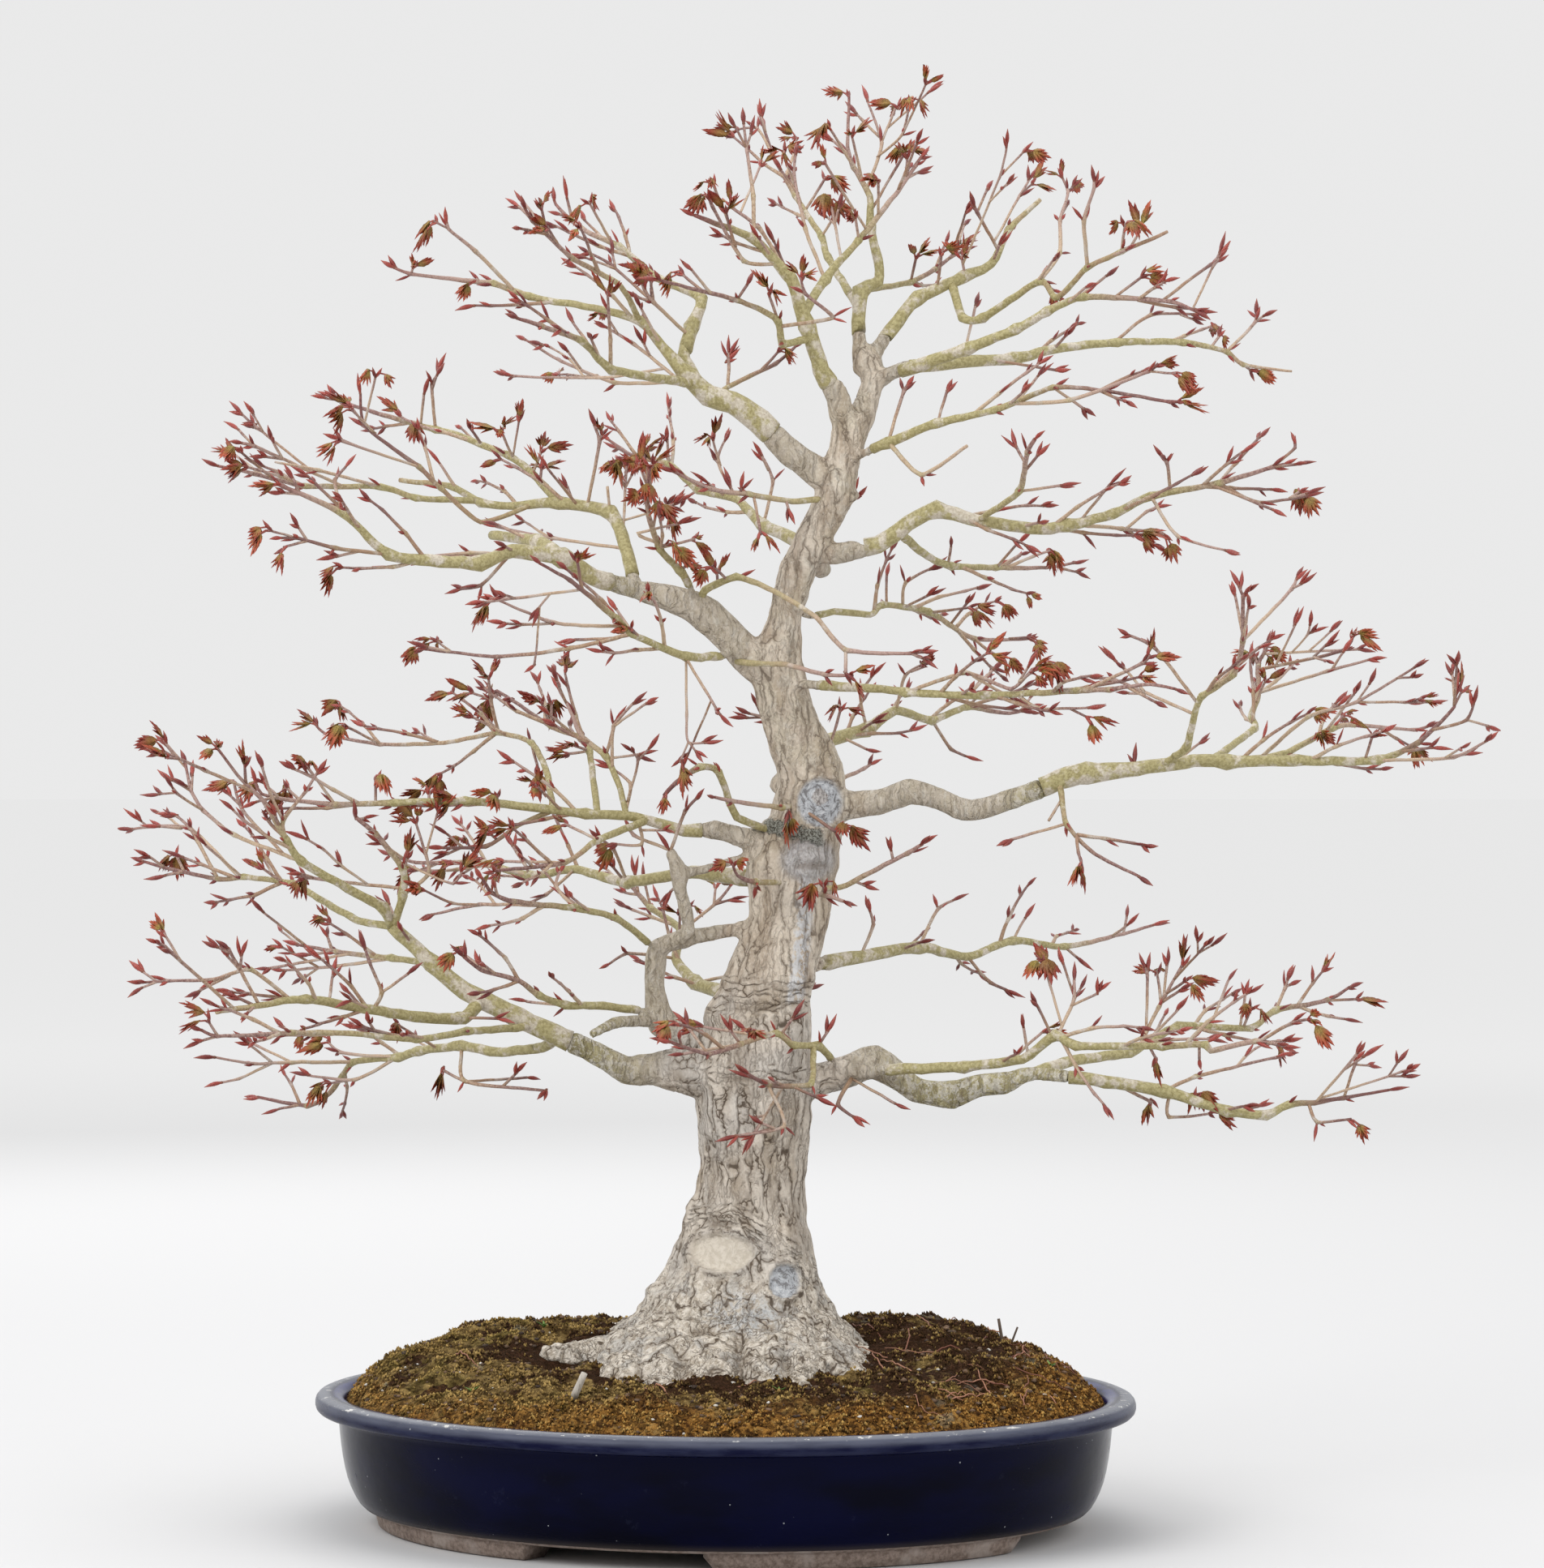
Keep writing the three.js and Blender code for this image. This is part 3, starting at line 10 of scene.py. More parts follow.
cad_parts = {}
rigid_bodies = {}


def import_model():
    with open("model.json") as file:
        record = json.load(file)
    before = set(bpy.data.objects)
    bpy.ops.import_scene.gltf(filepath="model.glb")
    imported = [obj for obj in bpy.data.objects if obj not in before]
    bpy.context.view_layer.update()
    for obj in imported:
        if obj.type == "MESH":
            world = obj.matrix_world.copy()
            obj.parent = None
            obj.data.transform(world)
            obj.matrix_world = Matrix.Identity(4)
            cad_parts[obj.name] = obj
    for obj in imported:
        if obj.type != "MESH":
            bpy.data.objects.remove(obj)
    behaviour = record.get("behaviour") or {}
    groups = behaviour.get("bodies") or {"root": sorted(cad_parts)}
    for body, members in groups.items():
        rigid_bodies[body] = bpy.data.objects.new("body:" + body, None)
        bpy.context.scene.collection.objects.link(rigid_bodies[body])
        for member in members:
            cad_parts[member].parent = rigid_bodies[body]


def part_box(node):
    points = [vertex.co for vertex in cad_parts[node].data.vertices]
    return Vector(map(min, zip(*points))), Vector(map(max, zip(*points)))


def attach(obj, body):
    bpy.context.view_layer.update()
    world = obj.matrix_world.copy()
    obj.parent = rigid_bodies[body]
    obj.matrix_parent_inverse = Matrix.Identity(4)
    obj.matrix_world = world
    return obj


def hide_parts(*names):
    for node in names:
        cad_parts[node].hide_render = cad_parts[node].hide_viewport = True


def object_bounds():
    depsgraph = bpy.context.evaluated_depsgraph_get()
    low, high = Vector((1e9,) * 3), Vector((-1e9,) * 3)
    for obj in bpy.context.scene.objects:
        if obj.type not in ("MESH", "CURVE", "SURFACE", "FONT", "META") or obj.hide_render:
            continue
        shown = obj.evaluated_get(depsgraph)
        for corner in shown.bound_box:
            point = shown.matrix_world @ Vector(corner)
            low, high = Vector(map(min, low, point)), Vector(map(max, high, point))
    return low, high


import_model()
cad_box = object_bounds()

MM = 0.001
pot_low, pot_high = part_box("pot")
# Lengths below are millimetres in the drawing's frame, whose middle is the pot's middle.
PLACE = np.array([(pot_low.x + pot_high.x) / 2, (pot_low.y + pot_high.y) / 2, pot_low.z + 3 * MM])

# How the tree grows.

# Height, left edge and right edge of the trunk.
TRUNK_ROWS = [
    (70, -58, 62), (114, -60, 68), (132, -50, 66), (154, -37, 57), (188, -21, 51), (216, -15, 51),
    (243, -17, 54), (277, -20, 55), (326, -4, 54), (344, 3, 59), (368, 15, 65), (408, 14, 71),
    (434, 28, 75), (456, 33, 74), (500, 20, 55), (530, 15, 48), (556, 27, 48), (585, 33, 58),
    (625, 53, 79), (650, 62, 84), (672, 66, 90), (684, 71, 93),
]
# The flared foot, in place of the first two rows.
TRUNK_FOOT = [
    (70, -100, 108), (92, -88, 98), (104, -80, 89), (114, -71, 80), (123, -60, 73),
]
# Depth of the trunk as a share of its width, and what the foot adds to it.
TRUNK_DEEP = 0.92
FOOT_DEEPER = 0.2
# Height, and how far the trunk leans toward (less) or away from (more) the viewer there.
TRUNK_SWAY = [(70, 0), (200, 8), (330, -6), (430, 4), (520, -4), (684, 2)]
# Four places down each root: x, y, z and thickness.
ROOTS = [
    (-24, 0, 118, 40, -60, -4, 103, 24, -92, -9, 98, 17, -110, -6, 94, 12),
    (32, 0, 118, 40, 72, -6, 100, 24, 98, -9, 92, 14, 116, -3, 84, 7),
    (-20, -28, 118, 40, -50, -58, 98, 26, -70, -78, 91, 15, -82, -94, 82, 7),
    (6, -34, 114, 44, 4, -70, 97, 27, 0, -88, 90, 15, -4, -100, 80, 7),
    (30, -28, 118, 38, 56, -58, 98, 22, 68, -74, 90, 13, 76, -84, 80, 6),
    (-18, 26, 122, 40, -50, 60, 109, 24, -74, 88, 103, 13, -92, 106, 94, 6),
    (14, 30, 124, 38, 22, 72, 112, 22, 28, 104, 104, 12, 30, 126, 94, 6),
    (34, 24, 118, 36, 70, 52, 106, 21, 95, 74, 98, 12, 112, 90, 90, 6),
]
# Where the viewer stands, whose perspective the table of stems is read in.
EYE_X, EYE_Z, EYE_OUT = 29.5, 452.5, 3200.0
WOOD_CLEAR = 0.9
SAME_NODE_CLEAR = 0.3
SHOOTS_EVERY = 190
FINE_TWIGS_EVERY = 46
# Of each five traced twigs the solids hold three.
TWIGS_KEPT = 3
TWIGS_OF = 5
TWIG_BEFORE_END = 13
# Depths tried in turn for a stem, until it is clear of the others.
DEPTH_SHIFTS = (0, 14, -14, 28, -28, 42, -42, 60, -60, 80, -80)

# Each stem has its name, the stem it grows from, its node with how far out that starts, and the
# depth of its end. Then come x,z:thickness down the stem as seen from the front, where n is a swelling.
# The end is a bud b, an opening leaf L or a cut stub s. The stem's twigs follow after >, and end in
# a bud where nothing else is said. A + goes on with the line above it.
STEMS = """
low_left trunk spray_low_left@118 -30 -15,275:34 -45,277:20 -60,276:17n -80,287:14 -120,305:12.5
+ -160,325:11.5 -180,342:9n -205,365:8s
low_left_top low_left - -120 -205,365:6 -210,376:6n -232,388 -261,405:5n -270,418n -284,442 -300,458:2
+ -318,482:1.6L
> -275,416;-272,430;-258,448;-245,469 -272,430;-280,447;-288,474 -275,417;-281,430;-269,442
+ -273,405;-297,436;-303,455;-310,460L -261,404;-302,421;-321,436;-329,449;-332,465;-335,473
+ -321,436;-338,447;-344,458 -338,447;-358,446 -329,450;-340,455 -290,447;-320,461;-345,472;-356,474
+ -345,472;-350,483
low_left_back low_left - 95 -205,364:5 -225,368 -245,379 -266,391:4n -296,395n -312,394:3n -345,401
+ -366,407:1.6b
> -345,401;-362,413 -312,395;-325,418;-329,425;-338,433;-350,436 -338,433;-346,432
+ -300,420;-329,425;-355,426;-374,423 -355,426;-369,437 -297,396;-327,421
low_left_rise low_left - -75 -203,365:5 -198,384:5n -198,400:4n -215,422:3n -227,432 -228,442:1.6b
> -220,388;-236,402;-248,413;-268,424 -236,402;-238,411 -220,388;-258,395;-268,401 -227,432;-213,433
+ -198,400;-192,414L -198,384;-182,397;-184,409;-193,438L -184,409;-174,445L -182,397;-167,391;-158,408L
fan_front low_left spray_fan_front@22 -165 -150,320:9 -160,308:8 -190,309 -222,314:6 -258,320n
+ -280,317:4 -313,312:3s
> -267,322;-292,338;-315,332;-343,331;-370,329 -315,332;-345,352;-357,357 -290,338;-306,351;-314,356
+ -306,351;-321,356 -217,311;-211,324;-219,343;-224,361 -211,324;-187,341 -243,322;-240,345
+ -155,304;-130,308
fan_tan low_left - 60 -178,340:4.5 -187,343:4.5 -205,345:4n -239,349:3n -271,355:1.6b
> -230,346;-290,337 -205,343;-240,340;-280,337
fan_back low_left spray_fan_back@20 175 -100,296:7 -112,290:6.5 -140,287 -162,291:6n -188,288n
+ -201,284:5n -229,281:4n -243,262 -257,254:3n -296,261:1.6b
> -201,284;-237,287;-249,300L -201,284;-228,270;-266,274 -229,282;-267,281;-290,280;-325,286
+ -267,281;-300,297 -162,291;-160,269;-108,263;-112,257 -160,269;-112,272 -160,268;-176,277;-178,273L
fan_low low_left spray_fan_low@20 -215 -118,304:6 -128,302:5 -158,300n -190,295:4n -235,299 -267,299:3n
+ -313,297:2n -330,305:1.6b
> -190,295;-218,301;-230,308 -267,299;-279,308
riser trunk - -34 -5,286:19 -28,300:17 -38,305:18n -43,325:13 -42,343:14 -40,352:12n -22,362:9 -27,388:8
+ -27,397:10n -34,412:6n -41,423:3b
> -28,413;-24,436;-10,450 -34,412;-56,421;-62,432
riser_link riser - 0 -40,352:11 -25,357:10n 8,363:9 30,368:8s
riser_link_top riser - 0 -27,397:7 -8,401:6 14,408:6 34,412:6s
riser_front riser spray_riser_front@16 -190 -42,350:5 -67,370:4n -92,376:4n -130,380:3n -144,386:2.4n
+ -153,402:1.6b
> -92,376;-104,390;-97,407 -104,390;-120,410 -105,381;-151,378;-189,370 -151,378;-168,379;-193,391L
riser_low riser spray_riser_low@16 -120 -47,312:5 -75,316:5 -98,316n -114,322:4n -126,331 -150,338:2.5
+ -168,352:1.6b
> -150,338;-154,350 -98,316;-131,319
riser_stub riser - -60 -45,306:8 -65,306:8 -82,298:6s
left_mid trunk spray_left_mid@62 -100 25,416:14 -6,424:11n -25,424:7 -55,432:6 -85,434:5.5n -135,440:5
+ -160,442:4.5n -203,441:4n -240,440:3n -285,446:2 -291,465:1.5b
> -140,440;-140,452L -182,441;-182,455L -215,441;-215,463L -240,441;-262,470L -262,443;-275,455L
+ -160,442;-175,445L
left_mid_rise left_mid - 10 -60,432:4 -66,455 -73,470:4n -88,482:3 -96,500:2 -107,520:1.5b
> -73,470;-66,494;-62,500 -68,462;-68,488;-48,511 -68,488;-40,508 -50,438;-58,453;-80,470
+ -53,440;-53,468;-64,479 -53,468;-42,472
left_mid_tall left_mid - 110 -78,434:4.5 -83,473:4n -88,481n -107,488:3n -140,510:2 -148,500:1.5L
> -83,473;-103,470L -83,473;-98,478L -107,488;-115,509L -107,488;-106,509L -132,505;-138,504
left_mid_back left_mid spray_left_mid_back@14 165 -105,438:4 -110,462:4 -119,478:3.5n -139,484:3n
+ -172,478 -212,477:2.4n -245,483:2 -255,493:1.5L
> -139,485;-144,505;-146,527L -144,505;-163,511L -212,477;-240,492L -119,478;-113,455L
left_mid_droop left_mid spray_left_mid_low@14 -170 -48,429:5 -78,418:4n -98,404:3n -150,398:1.6b
> -98,404;-145,405L -78,418;-104,431L -52,426;-51,415;-76,416L -52,424;-30,424
left_mid_low left_mid - -30 -105,437:3.5 -127,427 -147,414:2.5n -185,413:1.6b
> -140,418;-150,427L
left_arch trunk - -60 8,432:5 -3,460:4n -15,463:4n -30,453:3 -42,440:1.8L
upper_mid trunk - -14 30,522:26 18,528:24 0,547:22 -15,560:20n -30,566:17 -50,571:14s
upper_mid_rise upper_mid spray_upper_mid_rise@22 100 -46,568:9 -55,575:9 -60,595:8 -70,620:8n
+ -102,626:7n -130,624:5 -150,626:5n -168,636:4n -200,640:3s
> -70,622;-72,636s -84,626;-77,664;-84,682 -77,664;-72,676L -66,600;-60,657L -92,626;-100,645
+ -62,615;-33,624;-26,633 -33,624;-31,615L -60,598;-105,604;-150,613
upper_mid_top upper_mid_rise spray_upper_mid_top@16 185 -102,628:6 -118,644:5 -133,655:4.5n -165,668:4
+ -178,671:4n -210,680:3 -237,689:2 -245,700:1.5b
> -237,689;-256,692 -178,671;-180,699;-171,712 -180,699;-184,703 -128,655;-140,676L -128,655;-125,685L
+ -118,644;-110,665L -112,640;-112,655L
upper_mid_out upper_mid_rise spray_upper_mid_out@16 45 -152,627:4.5 -190,629:4n -212,636:4n
+ -258,636:3.4n -290,644:2.5n -323,651:1.5b
> -212,637;-250,646;-277,651s -235,640;-290,661;-305,663 -290,661;-305,677 -250,651;-290,674;-304,687
+ -290,674;-297,673
upper_mid_fan upper_mid_rise - 20 -118,624:3.5 -150,614:3 -175,635:3n -188,648:3n -222,674:2
+ -224,705:1.5b
> -222,674;-213,712L -188,648;-245,667L
upper_mid_olive upper_mid spray_upper_mid_olive@24 -130 -50,571:12 -80,580:11 -100,592:10n -130,596:9
+ -150,589:8n -175,590:7.5 -207,594:6n -236,620:4n -272,636:2.4n -281,640:1.5L
> -208,592;-240,598;-263,604;-283,604 -263,604;-287,611L -225,594;-250,590 -236,618;-240,640;-226,655
+ -130,596;-150,575;-172,572
upper_mid_gnarl upper_mid_olive - 45 -100,590:9 -115,602:8n -143,606:6s
upper_mid_front upper_mid spray_upper_mid_front@18 -215 0,532:6 -24,531:5n -57,545:4n -67,555:4n
+ -95,578:2.4n -120,592:1.5b
> -57,545;-95,536;-140,531;-188,536;-195,537L -60,551;-105,552;-149,570 -105,552;-160,563
+ -105,552;-121,553 -95,536;-117,526;-124,521 -67,541;-101,541 -24,530;-23,495;-22,478;0,479
+ -22,478;3,486 -23,495;-26,462
cross_low upper_mid - -80 8,528:4 38,526 62,520:2.6n 85,519:1.5L
cross_high upper_mid - -95 -12,572:5 8,580:4n 30,572 56,556:3 75,535:3n 115,533:2n 132,536:1.5b
> 115,533;132,526 75,535;75,518;80,512 -5,578;-5,590L 2,579;-12,592L
upper_mid_spur upper_mid spray_upper_mid_spur@14 -110 -20,572:5 -27,584:5n -40,598:4n -47,620:3n
+ -47,635:2.6n -45,655:1.5L
> -47,635;-55,657L -47,635;-50,667L -43,610;-40,633L -45,600;-53,607;-15,616 -40,598;-12,605L
+ -40,598;-28,605L -27,584;-18,592L
upper_left trunk spray_upper_left@74 -18 75,632:20 42,656:17 22,676:15n 5,688:14 -10,692:13n -22,704:10n
+ -38,722:6 -52,738:5n -80,746:4.4 -120,753:4n -142,761:3.4n -193,767:2n -212,775:1.5b
> -128,759;-153,781;-170,795;-171,810 -170,795;-185,803L -193,767;-190,778L -150,761;-160,768L
upper_left_rise upper_left spray_upper_left_rise@14 105 -18,698:10 -25,715:9 -20,735:8n -14,752:6n
+ -42,765:4.5n -65,784:4n -88,795:3n -104,810:2 -106,820:1.5b
> -26,730;-44,750;-49,757;-55,771L -26,730;-70,773;-93,784 -49,757;-50,771L
upper_left_mid upper_left - -120 -52,738:4 -64,760 -94,777:3n -118,800:2.4n -127,815:1.5b
> -118,800;-133,815 -52,735;-95,741;-150,744;-177,750;-220,769
upper_left_low upper_left spray_upper_left_low@18 -165 -22,700:6 -69,708:5n -88,726:4n -113,735:3n
+ -135,742:1.6b
> -28,705;-56,724;-82,740 -38,707;-75,703;-130,704;-142,707 -30,696;-67,700;-100,713;-130,731
+ -88,709;-103,728 -28,697;-40,722;-35,730L -40,722;-55,735
upper_left_spur upper_left - 45 -6,690:4 3,698 32,712:2.5n 50,728:1.5b
> 0,700;3,715;1,727 3,715;8,720
mid_row trunk - -75 58,628:4 42,627:3.6 15,631:3.4n -10,635:2.6n -40,650:1.6b
> 18,630;24,600L 38,628;43,612 5,632;0,646 10,632;12,645
crown_left trunk spray_crown_left@34 -45 75,672:17 70,690:14 60,708:11 51,735:9n 43,760:7.5 39,767:7n
+ 18,789:5n -18,803:2.4 -27,808:1.5b
> 18,789;18,815;14,843;11,870 32,772;12,775;-7,808;-12,820L 39,767;22,795;5,808;2,818L 5,795;-10,830L
+ 18,815;25,840L
crown_mid crown_left - 60 49,742:6 62,764:5.5n 83,788:4n 107,818:3 118,834:2.2n 126,846:1.5b
> 62,764;50,795;43,830;46,850 43,830;58,842L 83,788;80,810L 72,776;64,820L 95,803;95,832L
crown_front crown_left - -115 52,727:5 36,724n 33,739:4n 8,751:3n -20,758:2.4 -50,766:1.6b
> 36,735;67,740;50,755;46,772L 8,751;20,770 33,739;25,762L
crown_right trunk spray_crown_right@64 45 82,672:18 92,700:14 88,712:18n 83,725:9 84,756:9n 95,762:6n
+ 95,775:6 90,797:5n 90,815:4 80,833:3n 76,845:2.4 77,872:1.8 77,884:1.5L
> 90,820;97,848;85,882 97,848;106,871;103,878L 97,838;110,853;116,882L 110,853;128,892L 110,853;134,886
+ 92,805;115,848L 80,833;60,865L
crown_right_low crown_right - 120 86,756:4 115,762:3.6n 130,770:3n 140,778:2 147,788:1.5L
> 115,762;120,785L 130,770;140,795
crown_right_back crown_right spray_crown_back@14 175 84,745:6 64,777:4.4n 60,790:4n 44,815:3n
+ 30,840:2.4n 20,872:1.5b
> 30,840;20,857;0,855L 60,790;74,812 50,806;66,832L
top_front crown_right spray_top_front@26 -95 90,702:10 115,709:8.5 150,721:7n 180,733:5.5n 199,744:5n
+ 222,753:4n 275,750:2.4n 300,740:1.5b
> 270,752;300,773;313,777 300,773;310,790 240,752;265,771L
top_rise crown_right spray_top_rise@24 25 90,714:10 103,733:9 119,752:8n 148,765:7n 165,773:5.5
+ 176,795:4n 195,813:3s
> 160,786;156,805;150,818 156,805;166,828 165,786;182,815;193,833 148,785;170,827;176,855
+ 170,827;190,848L 148,767;145,785L 130,760;135,787L
top_mid top_rise - -95 140,762:6 147,740:5n 160,740:5n 195,763:4n 205,752:3.5n 224,771:3.4n 245,781:3n
+ 265,789:2.4 273,793:2s
> 195,763;207,780;207,800;212,818;205,833L 212,818;221,826L 224,771;222,800;228,820;227,835
+ 228,820;234,828 245,781;248,804L 250,784;261,802L
top_back crown_right spray_top_back@26 140 95,700:9 110,709:9 150,713:8 178,715:7n 205,721:6 242,725:5n
+ 283,725:4n 310,719:3n 320,711:2.6n 350,707:1.6s
> 310,720;328,738;326,750 328,738;340,746 165,712;215,706 240,728;263,742;300,742 300,722;309,734L
+ 147,714;157,757
right_thin trunk spray_right_thin@24 -130 72,652:7 101,663:6n 131,675:5n 167,683:4n 203,697:3n
+ 235,695:2.4n 275,688:2n 287,690:1.5L
> 178,686;213,689;262,707;270,716L 262,707;285,705L 203,697;230,678 101,663;111,695;119,704
+ 131,678;140,705
dead_twig right_thin - -60 104,660:3 122,643:2.6n 150,661:2s
right_upper trunk spray_right_upper@44 -40 65,594:14 95,600:11 113,613:10 131,622:9n 155,615:8
+ 195,610:7.5 212,612:7n 240,619:5.5n 263,630:4.6n 305,638:3.4n 338,648:2.4n 355,652:1.5b
> 338,648;352,660;350,672 338,648;365,651 305,637;330,626;370,632 300,637;348,618
+ 305,638;316,651;336,673 275,634;273,651;265,659 273,651;278,658 263,630;280,605;320,594
+ 218,616;245,646 215,609;245,610;270,607;272,598L
right_upper_rise right_upper - -110 157,617:4 182,633:4n 187,657:3n 195,671:2b
> 182,633;218,638 187,650;176,668
right_upper_low right_upper spray_right_upper_low@16 150 110,606:6 125,593:5 140,587:4.4n 168,586:3.6n
+ 199,586:2.4 222,590:1.5b
> 139,590;141,608 168,586;190,598
right_middle trunk spray_right_middle@30 195 55,556:5 68,559:4.5 90,557:4 98,563:4n 126,559:4n
+ 154,542:3n 195,542:1.6b
> 154,542;167,532;178,530L 110,562;112,577;137,590 112,572;136,574 100,562;100,590 140,552;156,572
right_lower trunk spray_right_lower@34 -200 45,514:7 98,511:5 112,509:5n 160,507:4.4n 217,510:3.4n
+ 238,511:3n 263,514:2 288,509:1.5b
> 112,510;149,521;177,511;190,523;205,528L 180,508;195,499;235,500 222,510;258,527;265,537L
big_right trunk spray_big_right@150 -26 60,438:21 95,441:16 115,448:15n 135,442:14 152,436:14 180,444:13
+ 212,457:12n 224,459:13n 255,462:9 290,467:8 310,466:8n 352,467:6n 403,467:5n 428,478:3n 450,500:2
+ 450,520:1.5b
> 450,500;458,516L 436,485;458,492;465,512 458,492;479,486 403,467;450,469;479,484 395,467;402,490L
+ 253,462;253,475
big_right_top big_right spray_big_right_top@14 90 308,466:5 345,471:4n 375,487:3.6n 388,489:3n
+ 425,486:2n 441,490:1.5b
> 330,478;360,494;390,503;435,530 390,503;420,503;446,503 420,503;437,507L 390,503;404,523
+ 375,493;388,507 360,480;372,485L
big_right_front big_right spray_big_right_front@14 -135 270,463:5 285,475:4.6n 291,500:4 295,507:4n
+ 314,520:3.4n 320,541:3n 320,568:2.4n 329,577:1.5b
> 320,568;314,583 320,541;350,573;355,587 350,573;365,580 287,505;265,537;240,548
+ 284,497;240,517;222,517
big_right_back big_right spray_big_right_back@14 165 300,466:5 327,487:4.4n 325,494:4n 330,510:3.6
+ 329,525:3n 335,538:1.8L
> 329,525;325,538L 330,523;382,535;390,550L 382,535;400,536 350,530;360,545;362,560 360,545;372,549
+ 340,526;356,559 335,507;372,522;408,532
big_right_low big_right - -75 207,452:4 211,428:3n 229,409:2.4 265,391:1.5b
> 211,428;166,415 176,438;200,430s 200,455;204,462;209,478 185,448;175,475
low_right trunk spray_low_right@206 -40 40,270:28 50,268:22 78,276:18n 93,282:19n 118,264:16 140,261:16n
+ 158,267:14 173,268:13n 190,274:9 228,270:8 271,263:7n 310,251:6n 334,248:5.5n 348,255:4n 364,256:3.4
+ 382,259:2.4n 422,266:1.5b
> 382,260;389,280;395,290 389,280;407,278 360,258;366,244;394,247L 364,260;397,294
+ 362,262;418,275;431,279 271,263;291,272;340,284;355,289 240,267;264,256;266,250L
+ 274,260;274,247;308,250L 290,258;295,266L
low_right_front low_right spray_low_right_front@34 -150 66,278:9 86,275:8n 110,277:7 148,278:6n
+ 184,283:6 204,298:6n 217,291:5n 270,291:4n 297,292:4n 300,288:3.6 328,294:3n 356,289:1.6b
> 205,296;216,321;215,342 216,321;225,333 216,321;206,351 204,305;195,350L 217,314;233,325;233,333
+ 233,325;240,332 200,300;188,326 184,290;183,313 262,290;270,276L 330,295;350,305;368,309L
+ 293,290;293,274
low_right_back low_right spray_low_right_back@18 150 176,270:8 215,282:7 250,287:6n 280,303:5n
+ 325,302:4n 340,313:4n 372,319:2.6n 393,332:1.6b
> 372,319;398,320L 340,313;346,327;349,341 346,327;357,334 318,302;323,333 320,303;328,322L
+ 255,292;268,315;283,342;285,348L 258,300;261,335;256,348 261,335;263,347 262,325;274,350
+ 280,330;303,360 300,318;314,340 278,320;290,335L
low_front low_right spray_low_front@22 -165 70,279:5 58,291:4.6n 43,291:4n 32,299:3.6n 10,292:3n
+ -10,286:2.6n -41,296:1.5b
> 10,292;-36,284 -10,286;-30,313 10,292;-3,310 20,296;5,307 58,291;70,309 35,298;49,317
low_front_b low_front - -105 55,285:4 53,267:3.6n 27,267:3n 6,279:1.6b
> 27,267;37,241;-5,234 37,245;12,227 40,262;67,255
low_right_small low_right - -60 84,276:3 70,255:2.4n 87,243:1.5b
> 80,270;115,250
mid_small trunk - -58 60,388:4 75,390:3.4 113,410:2.6n 130,420:1.5b
> 105,404;101,421 80,393;96,386
mid_front trunk - -72 46,392:4 20,392:3.6n 8,396:2 4,408:1.5L
> 20,392;17,380
mid_front_b trunk - -66 40,386:4 62,384:3n 80,378:1.6b
> 62,384;60,398L
front_cross trunk - -88 48,440:4 35,438:3.4n 5,442:2.6n -12,446:1.6b
> 40,438;45,455L 40,438;40,428L 45,440;68,424;78,430L
mid_right_twig trunk - 60 70,455:3 86,462:2.4n 95,468:1.5b
> 62,500;74,506L
back_low trunk spray_back_low@48 235 14,300:15 2,322:10 -18,330:8n -30,345:6 -26,362:5n -45,376:4n
+ -60,392:2.4 -75,398:1.5b
> -18,330;20,338;44,352 -30,345;-60,348;-78,336 -26,362;-4,380;10,398 -45,376;-52,402
+ 2,322;34,318;62,330
back_mid trunk spray_back_mid@48 245 34,452:13 60,478:9 88,486:8n 106,498:6 128,492:5n 150,500:4n
+ 176,496:2.4 196,502:1.5b
> 88,486;84,508;98,528 106,498;112,520;130,530 128,492;140,474;158,466 60,478;30,492;6,498
+ 150,500;166,516 72,482;96,470
back_high trunk spray_back_high@46 240 60,585:12 46,602:8.5 24,612:7n 8,628:5.4 -16,634:5n -34,650:4n
+ -58,656:2.4 -76,668:1.5b
> 24,612;30,640;20,662 8,628;-4,652;4,672 -16,634;-34,622 46,602;72,622;84,640 -34,650;-36,674
+ 34,608;58,600
back_left trunk spray_back_left@44 225 10,395:11 -20,398:8 -60,392:7n -92,400:5.4 -120,396:5n
+ -150,404:4n -190,404:2.4 -214,412:1.5b
> -60,392;-68,412;-84,424 -92,400;-110,384;-128,376 -120,396;-128,416 -150,404;-170,392 -20,398;-40,380
+ -150,404;-162,422L
back_right trunk spray_back_right@44 230 45,340:12 84,346:8.5 120,352:7n 150,346:5.4 178,356:5n
+ 210,352:4n 246,360:2.4 272,368:1.5b
> 84,346;92,366;86,384 120,352;132,376;150,384 150,346;164,330;184,322 178,356;190,378 210,352;226,338
+ 246,360;250,378
"""


def seeded(seed):
    """A draw of numbers from 0 to 1 that is the same each run."""
    state = [seed & 0xFFFFFFFF]

    def draw():
        state[0] = (state[0] + 0x6D2B79F5) & 0xFFFFFFFF
        t = state[0]
        t = ((t ^ (t >> 15)) * (t | 1)) & 0xFFFFFFFF
        t ^= (t + (((t ^ (t >> 7)) * (t | 61)) & 0xFFFFFFFF)) & 0xFFFFFFFF
        return ((t ^ (t >> 14)) & 0xFFFFFFFF) / 4294967296

    return draw


def unit(v):
    return v / (math.sqrt(float(v @ v)) or 1.0)


def clamp(v, low, high):
    return max(low, min(high, v))


def noise_at(x, y, z):
    return noise.noise(Vector((x, y, z)))


